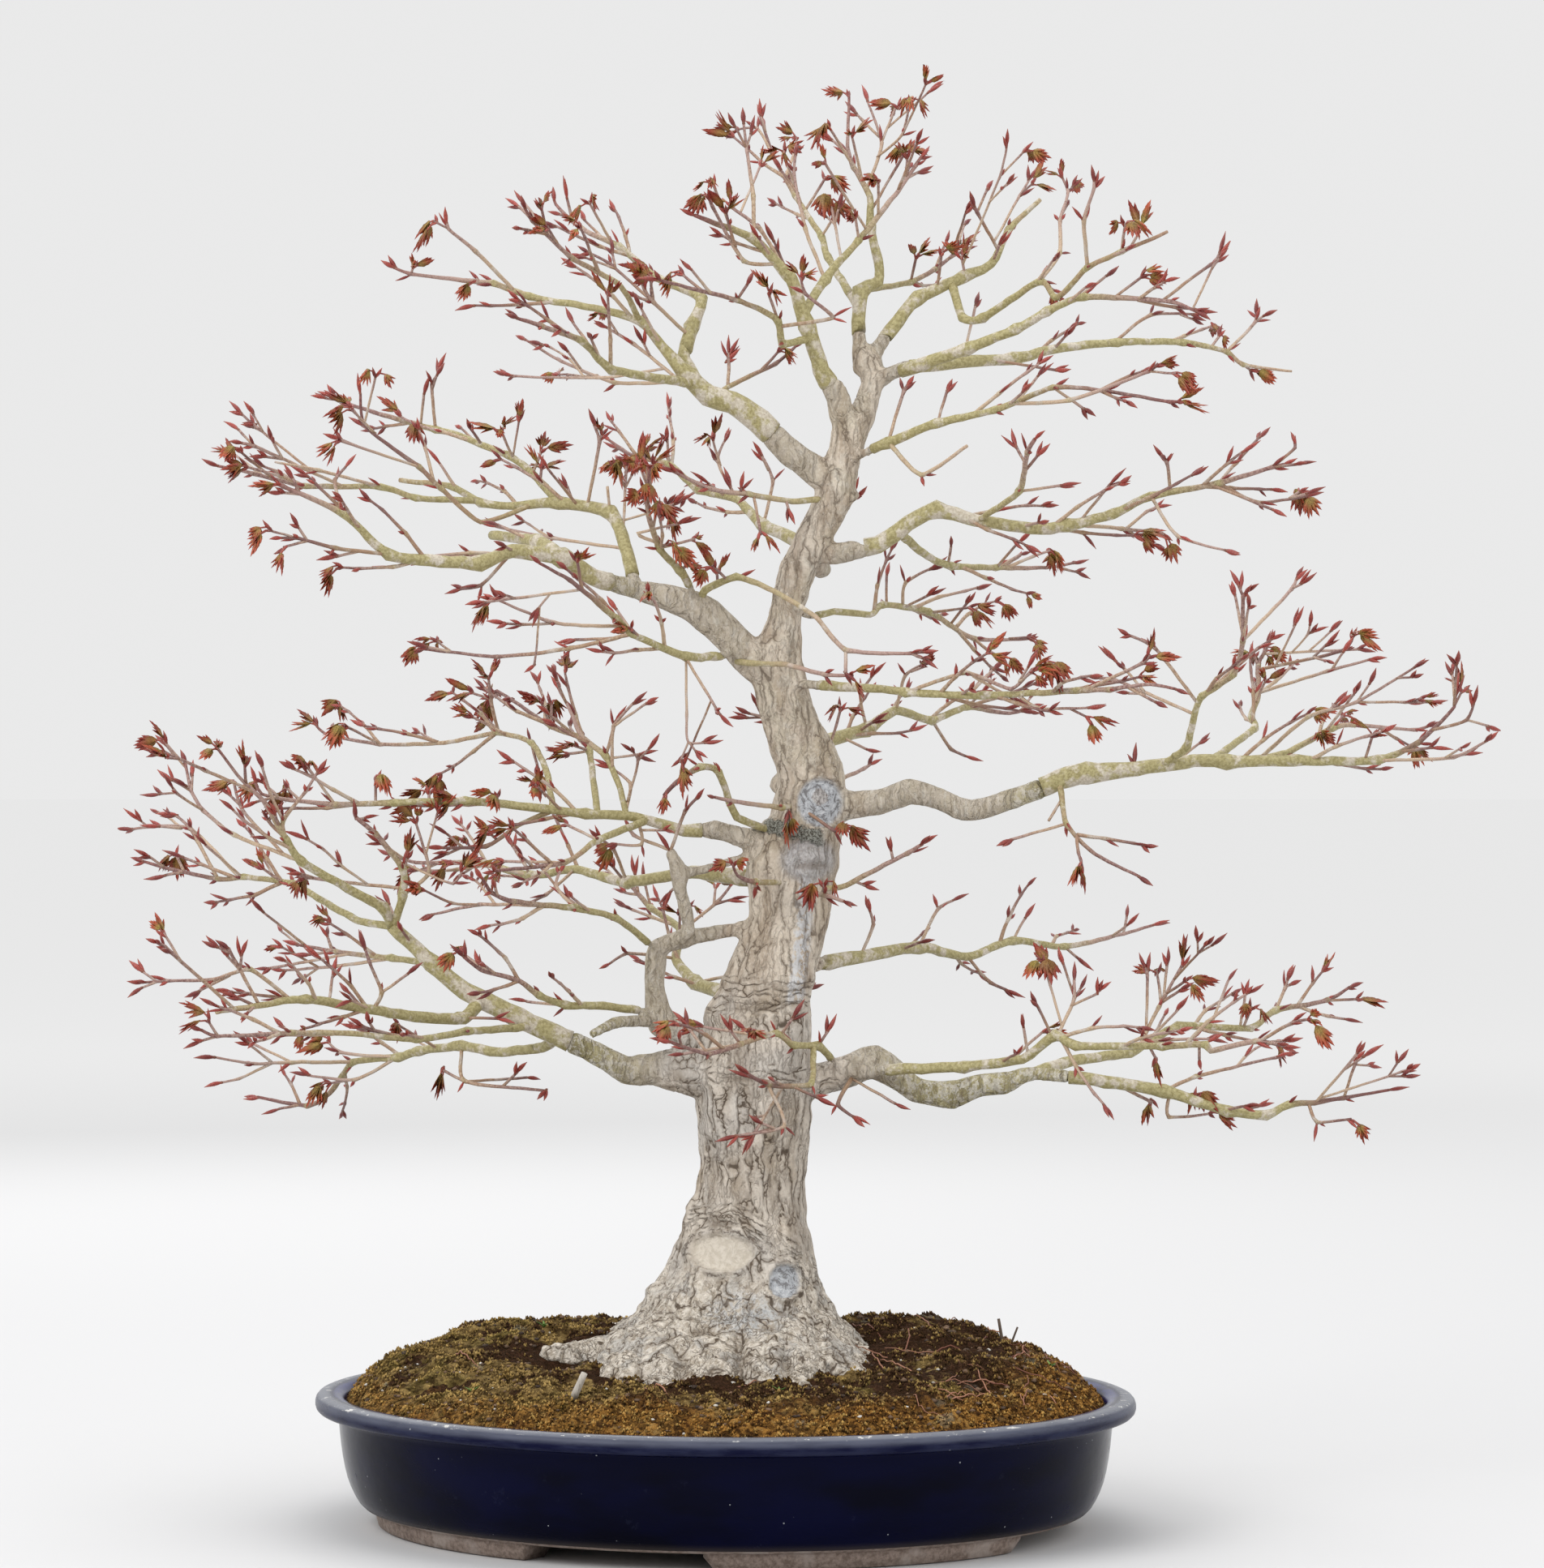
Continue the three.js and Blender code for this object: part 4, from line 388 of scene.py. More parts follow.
def along_rows(table, z):
    """A row of a table for a height between two of its rows."""
    k = 0
    while k + 2 < len(table) and z > table[k + 1][0]:
        k += 1
    a, b = table[k], table[k + 1]
    f = clamp((z - a[0]) / (b[0] - a[0]), 0, 1)
    return [p + (q - p) * f for p, q in zip(a, b)]


def carried(x, z, depth):
    """The point that is seen at x, z of the front view and lies at a depth."""
    k = 1 + depth / EYE_OUT
    return np.array([EYE_X + (x - EYE_X) * k, depth, EYE_Z + (z - EYE_Z) * k])


def read_point(text):
    """One point of the table, such as -60,276:17n."""
    end = text[-1] if text[-1] in "bLs" else ""
    x, rest = (text[:-1] if end else text).split(",")
    swollen = rest.endswith("n")
    z, _, thick = (rest[:-1] if swollen else rest).partition(":")
    thick = float(thick or 0)
    return {"x": float(x), "z": float(z), "thick": thick, "swollen": swollen, "end": end}


def fill_thickness(points):
    """Gives the points that state no thickness one between their neighbours'."""
    start = 0
    for i in range(1, len(points)):
        if points[i]["thick"]:
            a, b = points[start]["thick"], points[i]["thick"]
            for k in range(start + 1, i):
                points[k]["thick"] = a + (b - a) * ((k - start) / (i - start))
            start = i


def reach_of(path):
    """How far down a path each of its points lies."""
    reach = [0.0]
    for a, b in zip(path, path[1:]):
        reach.append(reach[-1] + float(np.linalg.norm(b - a)))
    return reach


class Stem:
    """One length of wood: its path, half thickness at each point, node and end.

    From cut on it belongs to the node outer, and up to buried it lies inside its parent.
    """

    def __init__(self, name, parent, node, view, path, half, swollen, buried=0, end=""):
        self.name, self.parent, self.end = name, parent, end
        self.node, self.outer, self.cut = node, node, math.inf
        self.view, self.path, self.half, self.swollen = view, path, half, swollen
        self.buried = buried
        self.reach = reach_of(path)


class Spot:
    """A place on a stem: its point, heading, half thickness and reach down the stem."""

    def __init__(self, stem, i, f, away):
        def mix(a, b):
            return a + (b - a) * f

        self.stem = stem
        self.away = away
        self.point = mix(stem.path[i], stem.path[i + 1])
        self.toward = unit(stem.path[i + 1] - stem.path[i])
        self.half = mix(stem.half[i], stem.half[i + 1])
        self.reach = mix(stem.reach[i], stem.reach[i + 1])
        a, b = stem.view[i], stem.view[i + 1]
        self.view = (mix(a[0], b[0]), mix(a[1], b[1]))


def nearest(stem, x, z):
    """The spot of a stem nearest a place in the front view."""
    best = None
    for i in range(len(stem.view) - 1):
        ax, az = stem.view[i]
        bx, bz = stem.view[i + 1]
        square = (bx - ax) ** 2 + (bz - az) ** 2 or 1
        f = clamp(((x - ax) * (bx - ax) + (z - az) * (bz - az)) / square, 0, 1)
        away = math.hypot(x - ax - f * (bx - ax), z - az - f * (bz - az))
        if best is None or away < best[0] - 0.01:
            best = (away, i, f)
    return Spot(stem, best[1], best[2], best[0])


def spot_at(stem, reach):
    i = 0
    while i + 2 < len(stem.path) and reach > stem.reach[i + 1]:
        i += 1
    span = (stem.reach[i + 1] - stem.reach[i]) or 1
    return Spot(stem, i, clamp((reach - stem.reach[i]) / span, 0, 1), 0)


class Wood:
    """Every straight length of wood placed so far, for keeping new stems clear of it."""

    def __init__(self):
        self.p = np.zeros((0, 3))
        self.q = np.zeros((0, 3))
        self.half = np.zeros(0)
        self.node = []
        self.stem = []

    def add(self, stem):
        lengths = lengths_of(stem)
        if lengths:
            self.p = np.vstack([self.p] + [a["p"] for a in lengths])
            self.q = np.vstack([self.q] + [a["q"] for a in lengths])
            self.half = np.append(self.half, [a["half"] for a in lengths])
            self.node += [a["node"] for a in lengths]
            self.stem += [stem] * len(lengths)

    def distances(self, p, q):
        """Least distance from the length p-q to each length placed."""
        d1 = q - p
        d2 = self.q - self.p
        r = p - self.p
        a = float(d1 @ d1) or 1e-9
        e = np.maximum((d2 * d2).sum(1), 1e-9)
        f = (d2 * r).sum(1)
        c = r @ d1
        b = d2 @ d1
        den = a * e - b * b
        s = np.where(den > 1e-9, np.clip((b * f - c * e) / np.where(den > 1e-9, den, 1), 0, 1), 0)
        t = (b * s + f) / e
        held = np.clip(t, 0, 1)
        s = np.where(t != held, np.clip((b * held - c) / a, 0, 1), s)
        near = p + s[:, None] * d1 - self.p - held[:, None] * d2
        return np.sqrt((near * near).sum(1))


def lengths_of(stem):
    """The straight lengths of a stem outside its parent, each in the node that it belongs to."""
    made = []

    def push(start, stop, node, half):
        if stop - start > 0.5:
            p = spot_at(stem, start + 0.01).point
            q = spot_at(stem, stop - 0.01).point
            made.append({"p": p, "q": q, "half": half, "node": node})

    for i in range(len(stem.path) - 1):
        a, b = stem.reach[i], stem.reach[i + 1]
        half = max(stem.half[i], stem.half[i + 1]) * 1.15
        if b <= stem.cut:
            push(max(a, min(stem.buried, b)), b, stem.node, half)
        elif a >= stem.cut:
            push(a, b, stem.outer, half)
        else:
            push(max(a, min(stem.buried, stem.cut)), stem.cut, stem.node, half)
            push(stem.cut, b, stem.outer, half)
    return made


wood = Wood()
stems = {}


def room(stem, same_too):
    """The least gap between a stem and the wood placed so far; under 0 they cross."""
    least = 1e9
    others = np.array([s is not stem for s in wood.stem], bool)
    parents = np.array([s is stem.parent for s in wood.stem], bool)
    if not len(others):
        return least
    for own in lengths_of(stem):
        same = np.array([n == own["node"] for n in wood.node], bool)
        keep = others & ~(same & (parents if same_too else True))
        need = own["half"] + wood.half + np.where(same, SAME_NODE_CLEAR, WOOD_CLEAR)
        gap = wood.distances(own["p"], own["q"]) - need
        if keep.any():
            least = min(least, float(gap[keep].min()))
    return least


def stem_from(name, root, points, depth, cut_at, outer):
    """A stem from its root spot through points of the front view, ending at a depth."""
    view = [root.view]
    half = [min(points[0]["thick"] / 2, root.half * 0.9)]
    swollen = [False]
    for p in points:
        if math.hypot(p["x"] - view[-1][0], p["z"] - view[-1][1]) > 2.5:
            view.append((p["x"], p["z"]))
            half.append(p["thick"] / 2)
            swollen.append(p["swollen"])
    run = [0.0]
    for a, b in zip(view, view[1:]):
        run.append(run[-1] + math.hypot(b[0] - a[0], b[1] - a[1]))
    start = float(root.point[1])
    depths = [start + (depth - start) * (r / run[-1]) ** 0.92 for r in run]
    path = [carried(x, z, y) for (x, z), y in zip(view, depths)]
    path[0] = root.point.copy()
    inner = root.stem.node if root.reach < root.stem.cut else root.stem.outer
    buried = min(root.half + 3, run[-1] * 0.6)
    stem = Stem(name, root.stem, inner, view, path, half, swollen, buried, points[-1]["end"])
    if outer:
        stem.outer = outer
        mask = np.array([s is root.stem and n == inner for s, n in zip(wood.stem, wood.node)], bool)
        s = cut_at
        while s < min(stem.reach[-1] * 0.6, cut_at + 60):
            at = spot_at(stem, s)
            off = math.inf
            if mask.any():
                off = float((wood.distances(at.point, at.point) - wood.half)[mask].min())
            stem.cut = s
            if off > at.half * 1.3 + 2.5:
                break
            s += 2
        i = 0
        while i + 2 < len(stem.path) and stem.cut > stem.reach[i + 1]:
            i += 1
        clear = min(spot_at(stem, stem.cut).half + 2, (stem.reach[i + 1] - stem.reach[i]) * 0.45)
        stem.cut = clamp(stem.cut, stem.reach[i] + clear, stem.reach[i + 1] - clear)
    return stem


def off_the_cut(root, thick):
    """Moves a root spot off the joint where its stem goes from one node to the next."""
    stem, reach = root.stem, root.reach
    off = thick + 3.5
    if abs(reach - stem.cut) >= off:
        return root
    return spot_at(stem, stem.cut - off if reach < stem.cut else stem.cut + off)


def twig_from(name, group, text, draw):
    """A traced twig from the nearest stem of its group, or None where it finds no room."""
    points = [read_point(t) for t in text.split(";")]
    points[-1]["end"] = points[-1]["end"] or "b"
    first = points[0]
    root = None
    for stem in group:
        spot = nearest(stem, first["x"], first["z"])
        if root is None or spot.away < root.away - 0.01:
            root = spot
    if len(points) == 1:
        back = max(root.reach - 0.7 * root.away, min(root.reach, 6))
        root = spot_at(root.stem, back)
    # A twig leaves its stem before the bud at the stem's end.
    before_bud = root.stem.reach[-1] - TWIG_BEFORE_END
    if root.reach > before_bud:
        root = spot_at(root.stem, max(before_bud, before_bud * 0.5 + 4))
    root = off_the_cut(root, 1.5)
    bends = points[1:] if len(points) > 1 else points
    thick = min(2.9 if len(bends) > 2 else 2.5 if len(bends) > 1 else 2.1, root.half * 1.8)
    for i, p in enumerate(bends):
        p["thick"] = thick + (1.4 - thick) * ((i + 1) / len(bends))
        p["swollen"] = len(bends) > 1 and i + 1 < len(bends)
    bends[0]["thick"] = max(bends[0]["thick"], thick * 0.85)
    length = math.hypot(bends[-1]["x"] - root.view[0], bends[-1]["z"] - root.view[1])
    side = -1 if draw() < 0.5 else 1
    lean = (0.25 + 0.6 * draw()) * length
    for share in (side, -side, 0.5 * side, -0.5 * side, 1.6 * side, -1.6 * side, 0.15):
        stem = stem_from(name, root, bends, float(root.point[1]) + lean * share, 0, "")
        if room(stem, True) > 0:
            return stem
    return None


def side_stem(name, parent, root, path, half, buried, end):
    """A short stem that grows in the same node as the place it comes from."""
    node = parent.node if root.reach < parent.cut else parent.outer
    view = [(p[0], p[2]) for p in path]
    swollen = [False] + [True] * (len(path) - 2) + [False]
    return Stem(name, parent, node, view, path, half, swollen, buried, end)


def shoots_of(stem, every, draw):
    """Single straight shoots in opposite pairs along a stem."""
    made = []
    last = stem.reach[-1]
    if stem.outer == "trunk":
        return made
    s = (stem.cut if stem.cut < last else stem.buried) + every * (0.35 + 0.3 * draw())
    while s < last - 14:
        for side in (-1, 1):
            root = off_the_cut(spot_at(stem, s + 3 * side), 1.5)
            length = 24 + 26 * draw()
            heading = root.toward * (0.5 + 0.4 * draw())
            sway = 0.2 * draw() - 0.1
            out = side * (0.7 + 0.3 * draw())
            heading = unit(heading + np.array([sway, out, 0.15 + 0.35 * draw()]))
            thick = min(2.1, root.half * 1.8)
            path = [root.point, root.point + heading * length]
            buried = min(root.half + 2, length * 0.5)
            end = "b" if draw() < 0.75 else "L"
            name = f"{stem.name}_shoot_{len(made)}"
            shoot = side_stem(name, stem, root, path, [thick / 2, 0.7], buried, end)
            if room(shoot, True) > 0:
                wood.add(shoot)
                made.append(shoot)
        s += every
    return made


def grow():
    """Grows every stem of the table with its twigs and shoots, each clear of the others."""
    view = [((left + right) / 2, z) for z, left, right in TRUNK_ROWS]
    path = [np.array([x, along_rows(TRUNK_SWAY, z)[1], z]) for x, z in view]
    half = [(right - left) / 2 for _, left, right in TRUNK_ROWS]
    stems["trunk"] = Stem("trunk", None, "trunk", view, path, half, [False] * len(view))
    mains = []
    for row in STEMS.strip().replace("\n+", "").split("\n"):
        if row.startswith(">"):
            mains[-1][1].extend(row[1:].split())
            continue
        name, parent, where, depth, *texts = row.split(" ")
        outer, _, cut = where.partition("@")
        points = [read_point(t) for t in texts]
        fill_thickness(points)
        first = points[0]
        root = off_the_cut(nearest(stems[parent], first["x"], first["z"]), first["thick"] / 2)
        best = None
        outer, cut_at = outer if cut else "", float(cut or 0)
        for shift in DEPTH_SHIFTS:
            stem = stem_from(name, root, points, float(depth) + shift, cut_at, outer)
            stem.room = room(stem, False)
            if best is None or stem.room > best.room:
                best = stem
            if stem.room > 0:
                break
        stems[name] = best
        wood.add(best)
        mains.append((best, []))
    grown = [m[0] for m in mains]
    groups = [[m[0]] for m in mains]

    def grow_twig(k, i, text):
        draw = seeded(101 + 17 * k + 1009 * i)
        twig = twig_from(f"{mains[k][0].name}_twig_{i}", groups[k], text, draw)
        if twig:
            wood.add(twig)
            groups[k].append(twig)
            grown.append(twig)

    # The solids keep some of the traced twigs, and the rest grow after their shoots.
    spared = []
    for k, (_, twigs) in enumerate(mains):
        for i, text in enumerate(twigs):
            if (k + i) % TWIGS_OF < TWIGS_KEPT:
                grow_twig(k, i, text)
            else:
                spared.append((k, i, text))
    for k, (stem, _) in enumerate(mains):
        grown += shoots_of(stem, SHOOTS_EVERY, seeded(5003 + 29 * k))
    for k, i, text in spared:
        grow_twig(k, i, text)
    return grown


# Building meshes.


def linked(name, data):
    made = bpy.data.objects.new(name, data)
    bpy.context.collection.objects.link(made)
    return made


def evaluated(piece):
    """The mesh of a piece with its modifiers applied."""
    graph = bpy.context.evaluated_depsgraph_get()
    return bpy.data.meshes.new_from_object(piece.evaluated_get(graph))


class Skin:
    """Points, faces and per-point values of one piece, gathered and made into an object at the end."""

    def __init__(self):
        self.points = []
        self.faces = []
        self.slots = []
        self.values = {"girth": [], "along": [], "tone": []}

    def add(self, points, faces, slot, girth=1.0, along=0.0, tone=0.5):
        start = len(self.points)
        self.points += [tuple(p) for p in points]
        self.faces += [tuple(start + i for i in f) for f in faces]
        self.slots += [slot] * len(faces)
        n = len(points)
        for key, value in (("girth", girth), ("along", along), ("tone", tone)):
            self.values[key] += list(value) if hasattr(value, "__len__") else [value] * n

    def make(self, name, materials):
        mesh = bpy.data.meshes.new(name)
        points = np.array(self.points) * MM + PLACE
        mesh.from_pydata(points.tolist(), [], self.faces)
        mesh.polygons.foreach_set("material_index", self.slots)
        mesh.polygons.foreach_set("use_smooth", [True] * len(self.faces))
        for key, value in self.values.items():
            mesh.attributes.new(key, "FLOAT", "POINT").data.foreach_set("value", value)
        for material in materials:
            mesh.materials.append(material)
        mesh.update()
        return linked(name, mesh)


def rings_on(path, radii, sides, turn=0.5):
    """Rings square to a path, turned as little as possible from one to the next."""
    path = np.asarray(path)
    steps = np.diff(path, axis=0)
    steps /= np.maximum(np.linalg.norm(steps, axis=1), 1e-9)[:, None]
    ways = np.vstack([steps[:1], steps[:-1] + steps[1:], steps[-1:]])
    ways /= np.maximum(np.linalg.norm(ways, axis=1), 1e-9)[:, None]
    across = np.array([0.0, 1, 0]) if abs(ways[0][1]) < 0.8 else np.array([1.0, 0, 0])
    turns = 2 * np.pi * (np.arange(sides) + turn) / sides
    cos, sin = np.cos(turns)[:, None], np.sin(turns)[:, None]
    rings = []
    for p, way, radius in zip(path, ways, radii):
        across = unit(across - way * float(across @ way))
        up = np.cross(way, across)
        rings.append(p + radius * (cos * across + sin * up))
    return rings


def bands(count, around, start=0, inward=False):
    """The faces between count rings of points, each with as many points as around says."""
    faces = []
    for i in range(count - 1):
        for j in range(around):
            a = start + i * around + j
            b = start + i * around + (j + 1) % around
            face = (a, a + around, b + around, b) if inward else (a, b, b + around, a + around)
            faces.append(face)
    return faces


def tube(skin, path, radii, sides, slot, along=0.0, tone=0.5, point=True):
    """A round length of wood along a path, its ends closed to a point if asked."""
    rings = rings_on(path, radii, sides)
    count = len(rings)
    points = np.vstack(rings + [path[0], path[-1]] if point else rings)
    faces = bands(count, sides)
    if point:
        first, last = count * sides, count * sides + 1
        for j in range(sides):
            a, b = j, (j + 1) % sides
            faces.append((first, b, a))
            faces.append((last, (count - 1) * sides + a, (count - 1) * sides + b))
    along = list(along) if hasattr(along, "__len__") else [along] * count
    girth = [r for r in radii for _ in range(sides)]
    spread = [v for v in along for _ in range(sides)]
    if point:
        girth += [radii[0], radii[-1]]
        spread += [along[0], along[-1]]
    skin.add(points, faces, slot, girth, spread, tone)


def bent(direction, draw, angle):
    """A direction turned by an angle to a side that is drawn."""
    side = np.array([draw() - 0.5, draw() - 0.5, draw() - 0.5])
    side = unit(side - direction * float(side @ direction))
    return unit(direction * math.cos(angle) + side * math.sin(angle))


# Share of the length, and the share of the full width there.
BUD_FORM = [
    (0.0, 0.5), (0.07, 0.68), (0.14, 0.6), (0.3, 0.9), (0.48, 1.0), (0.68, 0.78), (0.88, 0.32),
]
LOBE_FORM = [
    (0.0, 0.3), (0.15, 0.6), (0.32, 1.0), (0.5, 0.84),
    (0.56, 0.9), (0.74, 0.5), (0.79, 0.54), (0.93, 0.16),
]


def bud(skin, base, way, length, half, draw):
    """A long pointed bud on a short scaly collar, its tip a little hooked."""
    hook = bent(way, draw, math.pi / 2)
    curl = (0.08 + 0.1 * draw()) * length
    path = [base + way * length * t + hook * curl * (t * t - 0.3 * t) for t, _ in BUD_FORM]
    path.append(base + way * length + hook * curl * 0.7)
    radii = [max(0.35, half * r) for _, r in BUD_FORM] + [0.14]
    tube(skin, path, radii, 6, 1, [t for t, _ in BUD_FORM] + [1.0], draw())


def lobe(skin, base, way, flat, length, half, curl, tone, slot=2):
    """One narrow pointed leaf lobe, folded along its rib and curling toward its tip."""
    across = unit(np.cross(way, flat))
    up = np.cross(across, way)
    points, along = [], []
    for t, wide in LOBE_FORM:
        middle = base + way * length * t + up * curl * length * t * t
        fold = 0.6 * half * wide
        points += [
            middle - across * half * wide + up * fold,
            middle + up * 0.16,
            middle + across * half * wide + up * fold,
            middle - up * 0.16,
        ]
        along += [t] * 4
    points.append(base + way * length + up * curl * length)
    along.append(1.0)
    n = len(LOBE_FORM)
    faces = bands(n, 4, inward=True)
    faces.append((0, 1, 2, 3))
    for j in range(4):
        faces.append(((n - 1) * 4 + j, n * 4, (n - 1) * 4 + (j + 1) % 4))
    skin.add(points, faces, slot, 0.5, along, tone)


def young_leaf(skin, base, way, length, draw, opened):
    """A leaf part way out of its bud: a bent red stalk and a hanging folded fan of lobes."""
    drop = np.array([0.0, 0.0, -1.0])
    stalk = [base, base + way * (2 + 2 * opened)]
    hang = unit(way * (1.15 - 0.75 * opened) + drop * (0.15 + 0.85 * opened))
    stalk.append(stalk[-1] + unit(way + hang) * (2 + 3 * opened))
    tube(skin, stalk, [0.75, 0.62, 0.5], 6, 1, [0.6, 0.8, 1.0], draw(), False)
    foot = stalk[-1]
    flat = bent(hang, draw, math.pi / 2)
    across = np.cross(hang, flat)
    tone = draw()
    count = 7 if opened > 0.45 else 5
    for k in range(count):
        side = (k - (count - 1) / 2) / ((count - 1) / 2)
        angle = side * (0.12 + 0.72 * opened)
        fan = hang * math.cos(angle) + across * math.sin(angle)
        heading = unit(fan + flat * (0.2 * draw() - 0.3 * abs(side)))
        size = length * (1 - 0.34 * abs(side)) * (0.88 + 0.24 * draw())
        half = 0.1 * size + 0.45
        lobe(skin, foot - hang * 0.6, heading, flat, size, half, 0.25 * draw() - 0.05, tone)


def leaf_cluster(skin, tip, way, draw):
    """Two or three young leaves out of one bud, and the pair of scales left behind them."""
    opened = draw()
    count = 2 + (draw() < 0.5)
    for _ in range(count):
        heading = bent(way, draw, 0.25 + 0.55 * draw())
        length = 10 + 8 * draw()
        own = clamp(opened + 0.4 * draw() - 0.2, 0, 1)
        young_leaf(skin, tip - way * 2.5, heading, length, draw, own)
    for _ in range(2):
        heading = bent(way, draw, 0.35 + 0.3 * draw())
        bud(skin, tip - way * 3, heading, 6 + 4 * draw(), 1.1, draw)


# How round the bends of a stem are: 0 straight from point to point, 1 fully eased.
EASE = 0.55


def smooth_path(path, half, reach, swollen, step_for):
    """Points down a stem, its bends eased and its swellings put in, about one thickness apart."""
    path = np.asarray(path)
    out, radii, where = [], [], []
    count = len(path)
    for i in range(count - 1):
        a, b = path[i], path[i + 1]
        before = path[i - 1] if i else a - (b - a)
        after = path[i + 2] if i + 2 < count else b + (b - a)
        span = reach[i + 1] - reach[i]
        pieces = max(2, int(math.ceil(span / step_for(max(half[i], half[i + 1])))))
        straight = b - a
        ma = straight + ((b - before) * 0.5 - straight) * EASE
        mb = straight + ((after - a) * 0.5 - straight) * EASE
        for k in range(pieces):
            t = k / pieces
            h = (2 * t**3 - 3 * t**2 + 1, t**3 - 2 * t**2 + t, -2 * t**3 + 3 * t**2, t**3 - t**2)
            out.append(a * h[0] + ma * h[1] + b * h[2] + mb * h[3])
            radii.append(half[i] + (half[i + 1] - half[i]) * t)
            where.append(reach[i] + span * t)
    out.append(path[-1])
    radii.append(half[-1])
    where.append(reach[-1])
    radii = np.array(radii)
    where = np.array(where)
    for s, h, full in zip(reach, half, swollen):
        if full:
            radii += (0.1 if h > 5 else 0.3) * h * np.exp(-(((where - s) / (0.9 * h + 0.9)) ** 2))
    return np.array(out), radii, where


def sides_of(radius):
    return 14 if radius > 6 else 10 if radius > 3 else 8 if radius > 1.6 else 6


def dress(stem, skins, draw):
    """The finished wood of one stem, with what its end carries and the side buds at its joints."""
    path, radii, where = smooth_path(
        stem.path, stem.half, stem.reach, stem.swollen, lambda h: clamp(2.0 * h, 4.0, 8)
    )
    last = stem.reach[-1]
    for i, (p, r) in enumerate(zip(path, radii)):
        if where[i] > stem.buried:
            shake = noise.noise_vector(Vector((p[0] / 9, p[1] / 9, p[2] / 9 + stem.half[0])))
            path[i] = p + np.array(shake) * min(0.8, 0.22 * r + 0.12)
            radii[i] = r * (1 + 0.1 * noise_at(p[0] / 4, p[1] / 4, p[2] / 4))
    forward = unit(stem.path[-1] - stem.path[-2])
    tip = stem.path[-1]
    tone = draw()
    reddened = clamp(0.75 * last, 30, 120)
    near = 1 - np.clip((last - where) / reddened, 0, 1) if stem.end != "s" else where * 0
    if stem.end in ("b", "L"):
        keep = where < last - (9 if stem.end == "b" else 6)
        keep[0] = True
        path, radii, near = path[keep], radii[keep], near[keep]
        where = where[keep]
        if len(path) < 2:
            path = np.vstack([path, tip - forward * 9])
            radii, near = np.append(radii, radii[-1]), np.append(near, 1.0)
            where = np.append(where, last - 9)
    skin = skins[stem.outer]
    if stem.cut < last:
        inner = where < stem.cut
        at = spot_at(stem, stem.cut)
        inner_path = np.vstack([path[inner], at.point])
        inner_radii = np.append(radii[inner], at.half)
        if stem.node == "trunk":
            limbs.append((inner_path, inner_radii))
        else:
            tube(skins[stem.node], inner_path, inner_radii, sides_of(max(inner_radii)), 0, 0, tone)
        path = np.vstack([at.point - at.toward * 0.6, path[~inner]])
        radii = np.append(at.half, radii[~inner])
        near = np.append(0.0, near[~inner])
    elif stem.outer == "trunk" and max(radii[1:]) > 3.0:
        limbs.append((path, radii))
        skin = None
    if skin is not None:
        tube(skin, path, radii, sides_of(max(radii)), 0, near, tone)
    carry = skins[stem.outer]
    base = path[-1]
    if stem.end == "b":
        length = clamp(float(np.linalg.norm(tip - base)), 9, 12) * (0.9 + 0.45 * draw())
        bud(carry, base - forward * 1.0, bent(forward, draw, 0.12), length, 1.2 + 0.4 * draw(), draw)
        if draw() < 0.7:
            twin = bent(forward, draw, 0.35 + 0.3 * draw())
            twin_length = length * (0.7 + 0.3 * draw())
            bud(carry, base - forward * 2.0, twin, twin_length, 1.05 + 0.35 * draw(), draw)
    if stem.end == "L":
        leaf_cluster(carry, base, forward, draw)
    # Side buds in pairs at the joints of thin wood.
    for s, h, full in zip(stem.reach[1:-1], stem.half[1:-1], stem.swollen[1:-1]):
        if full and h < 2.4 and last - s > 12:
            at = spot_at(stem, s)
            across = bent(at.toward, draw, math.pi / 2)
            for side in (-1, 1):
                way = at.toward * (0.9 + 0.5 * draw()) + across * side * (0.5 + 0.3 * draw())
                if draw() < 0.6:
                    seat, length = at.point + across * side * h * 0.5, 5 + 8 * draw()
                    bud(carry, seat, unit(way), length, 0.8 + 0.45 * draw(), draw)


# Trunk, roots and thick limbs.

TRUNK_AROUND = 48
REMESH_SIZE = 0.0019
# Swellings of the wood: x, z, half width, half height and how far they stand out.
TRUNK_SWELLS = [
    (-14, 312, 14, 9, 5.5), (58, 445, 5, 5, 3.0), (72, 478, 12, 20, 5.0), (26, 427, 8, 4, 2.6),
    (40, 424, 10, 4, 2.6), (54, 421, 8, 4, 2.4), (20, 399, 7, 8, 2.6), (37, 149, 12, 13, 1.8),
    (-1, 166, 24, 14, 1.6), (40, 332, 26, 5, 2.2), (20, 322, 26, 4, 2.0), (52, 404, 24, 6, 1.6),
    (66, 690, 12, 12, 2.4), (16, 250, 30, 6, 1.2), (24, 214, 28, 5, 1.0), (45, 500, 16, 8, 1.6),
    (-20, 193, 8, 5, 2.6), (-8, 190, 9, 4, 2.4), (6, 187, 9, 4, 2.4), (19, 181, 9, 4, 2.4),
    (31, 173, 8, 5, 2.2), (41, 167, 7, 5, 1.8), (-46, 141, 6, 7, 4.5), (64, 155, 6, 6, 3.0),
    (-24, 186, 8, 7, 3.5), (25, 104, 13, 15, 4.2), (-10, 108, 11, 10, 3.2), (-38, 98, 11, 11, 3.6),
    (-64, 96, 9, 9, 3.2), (48, 98, 8, 13, 3.4), (0, 88, 9, 7, 3.0),
]
# Healed scars: x, z, half width, half height.
SCARS = [(-1, 166, 19, 11), (37, 149, 9.5, 10), (59, 441, 14, 15)]
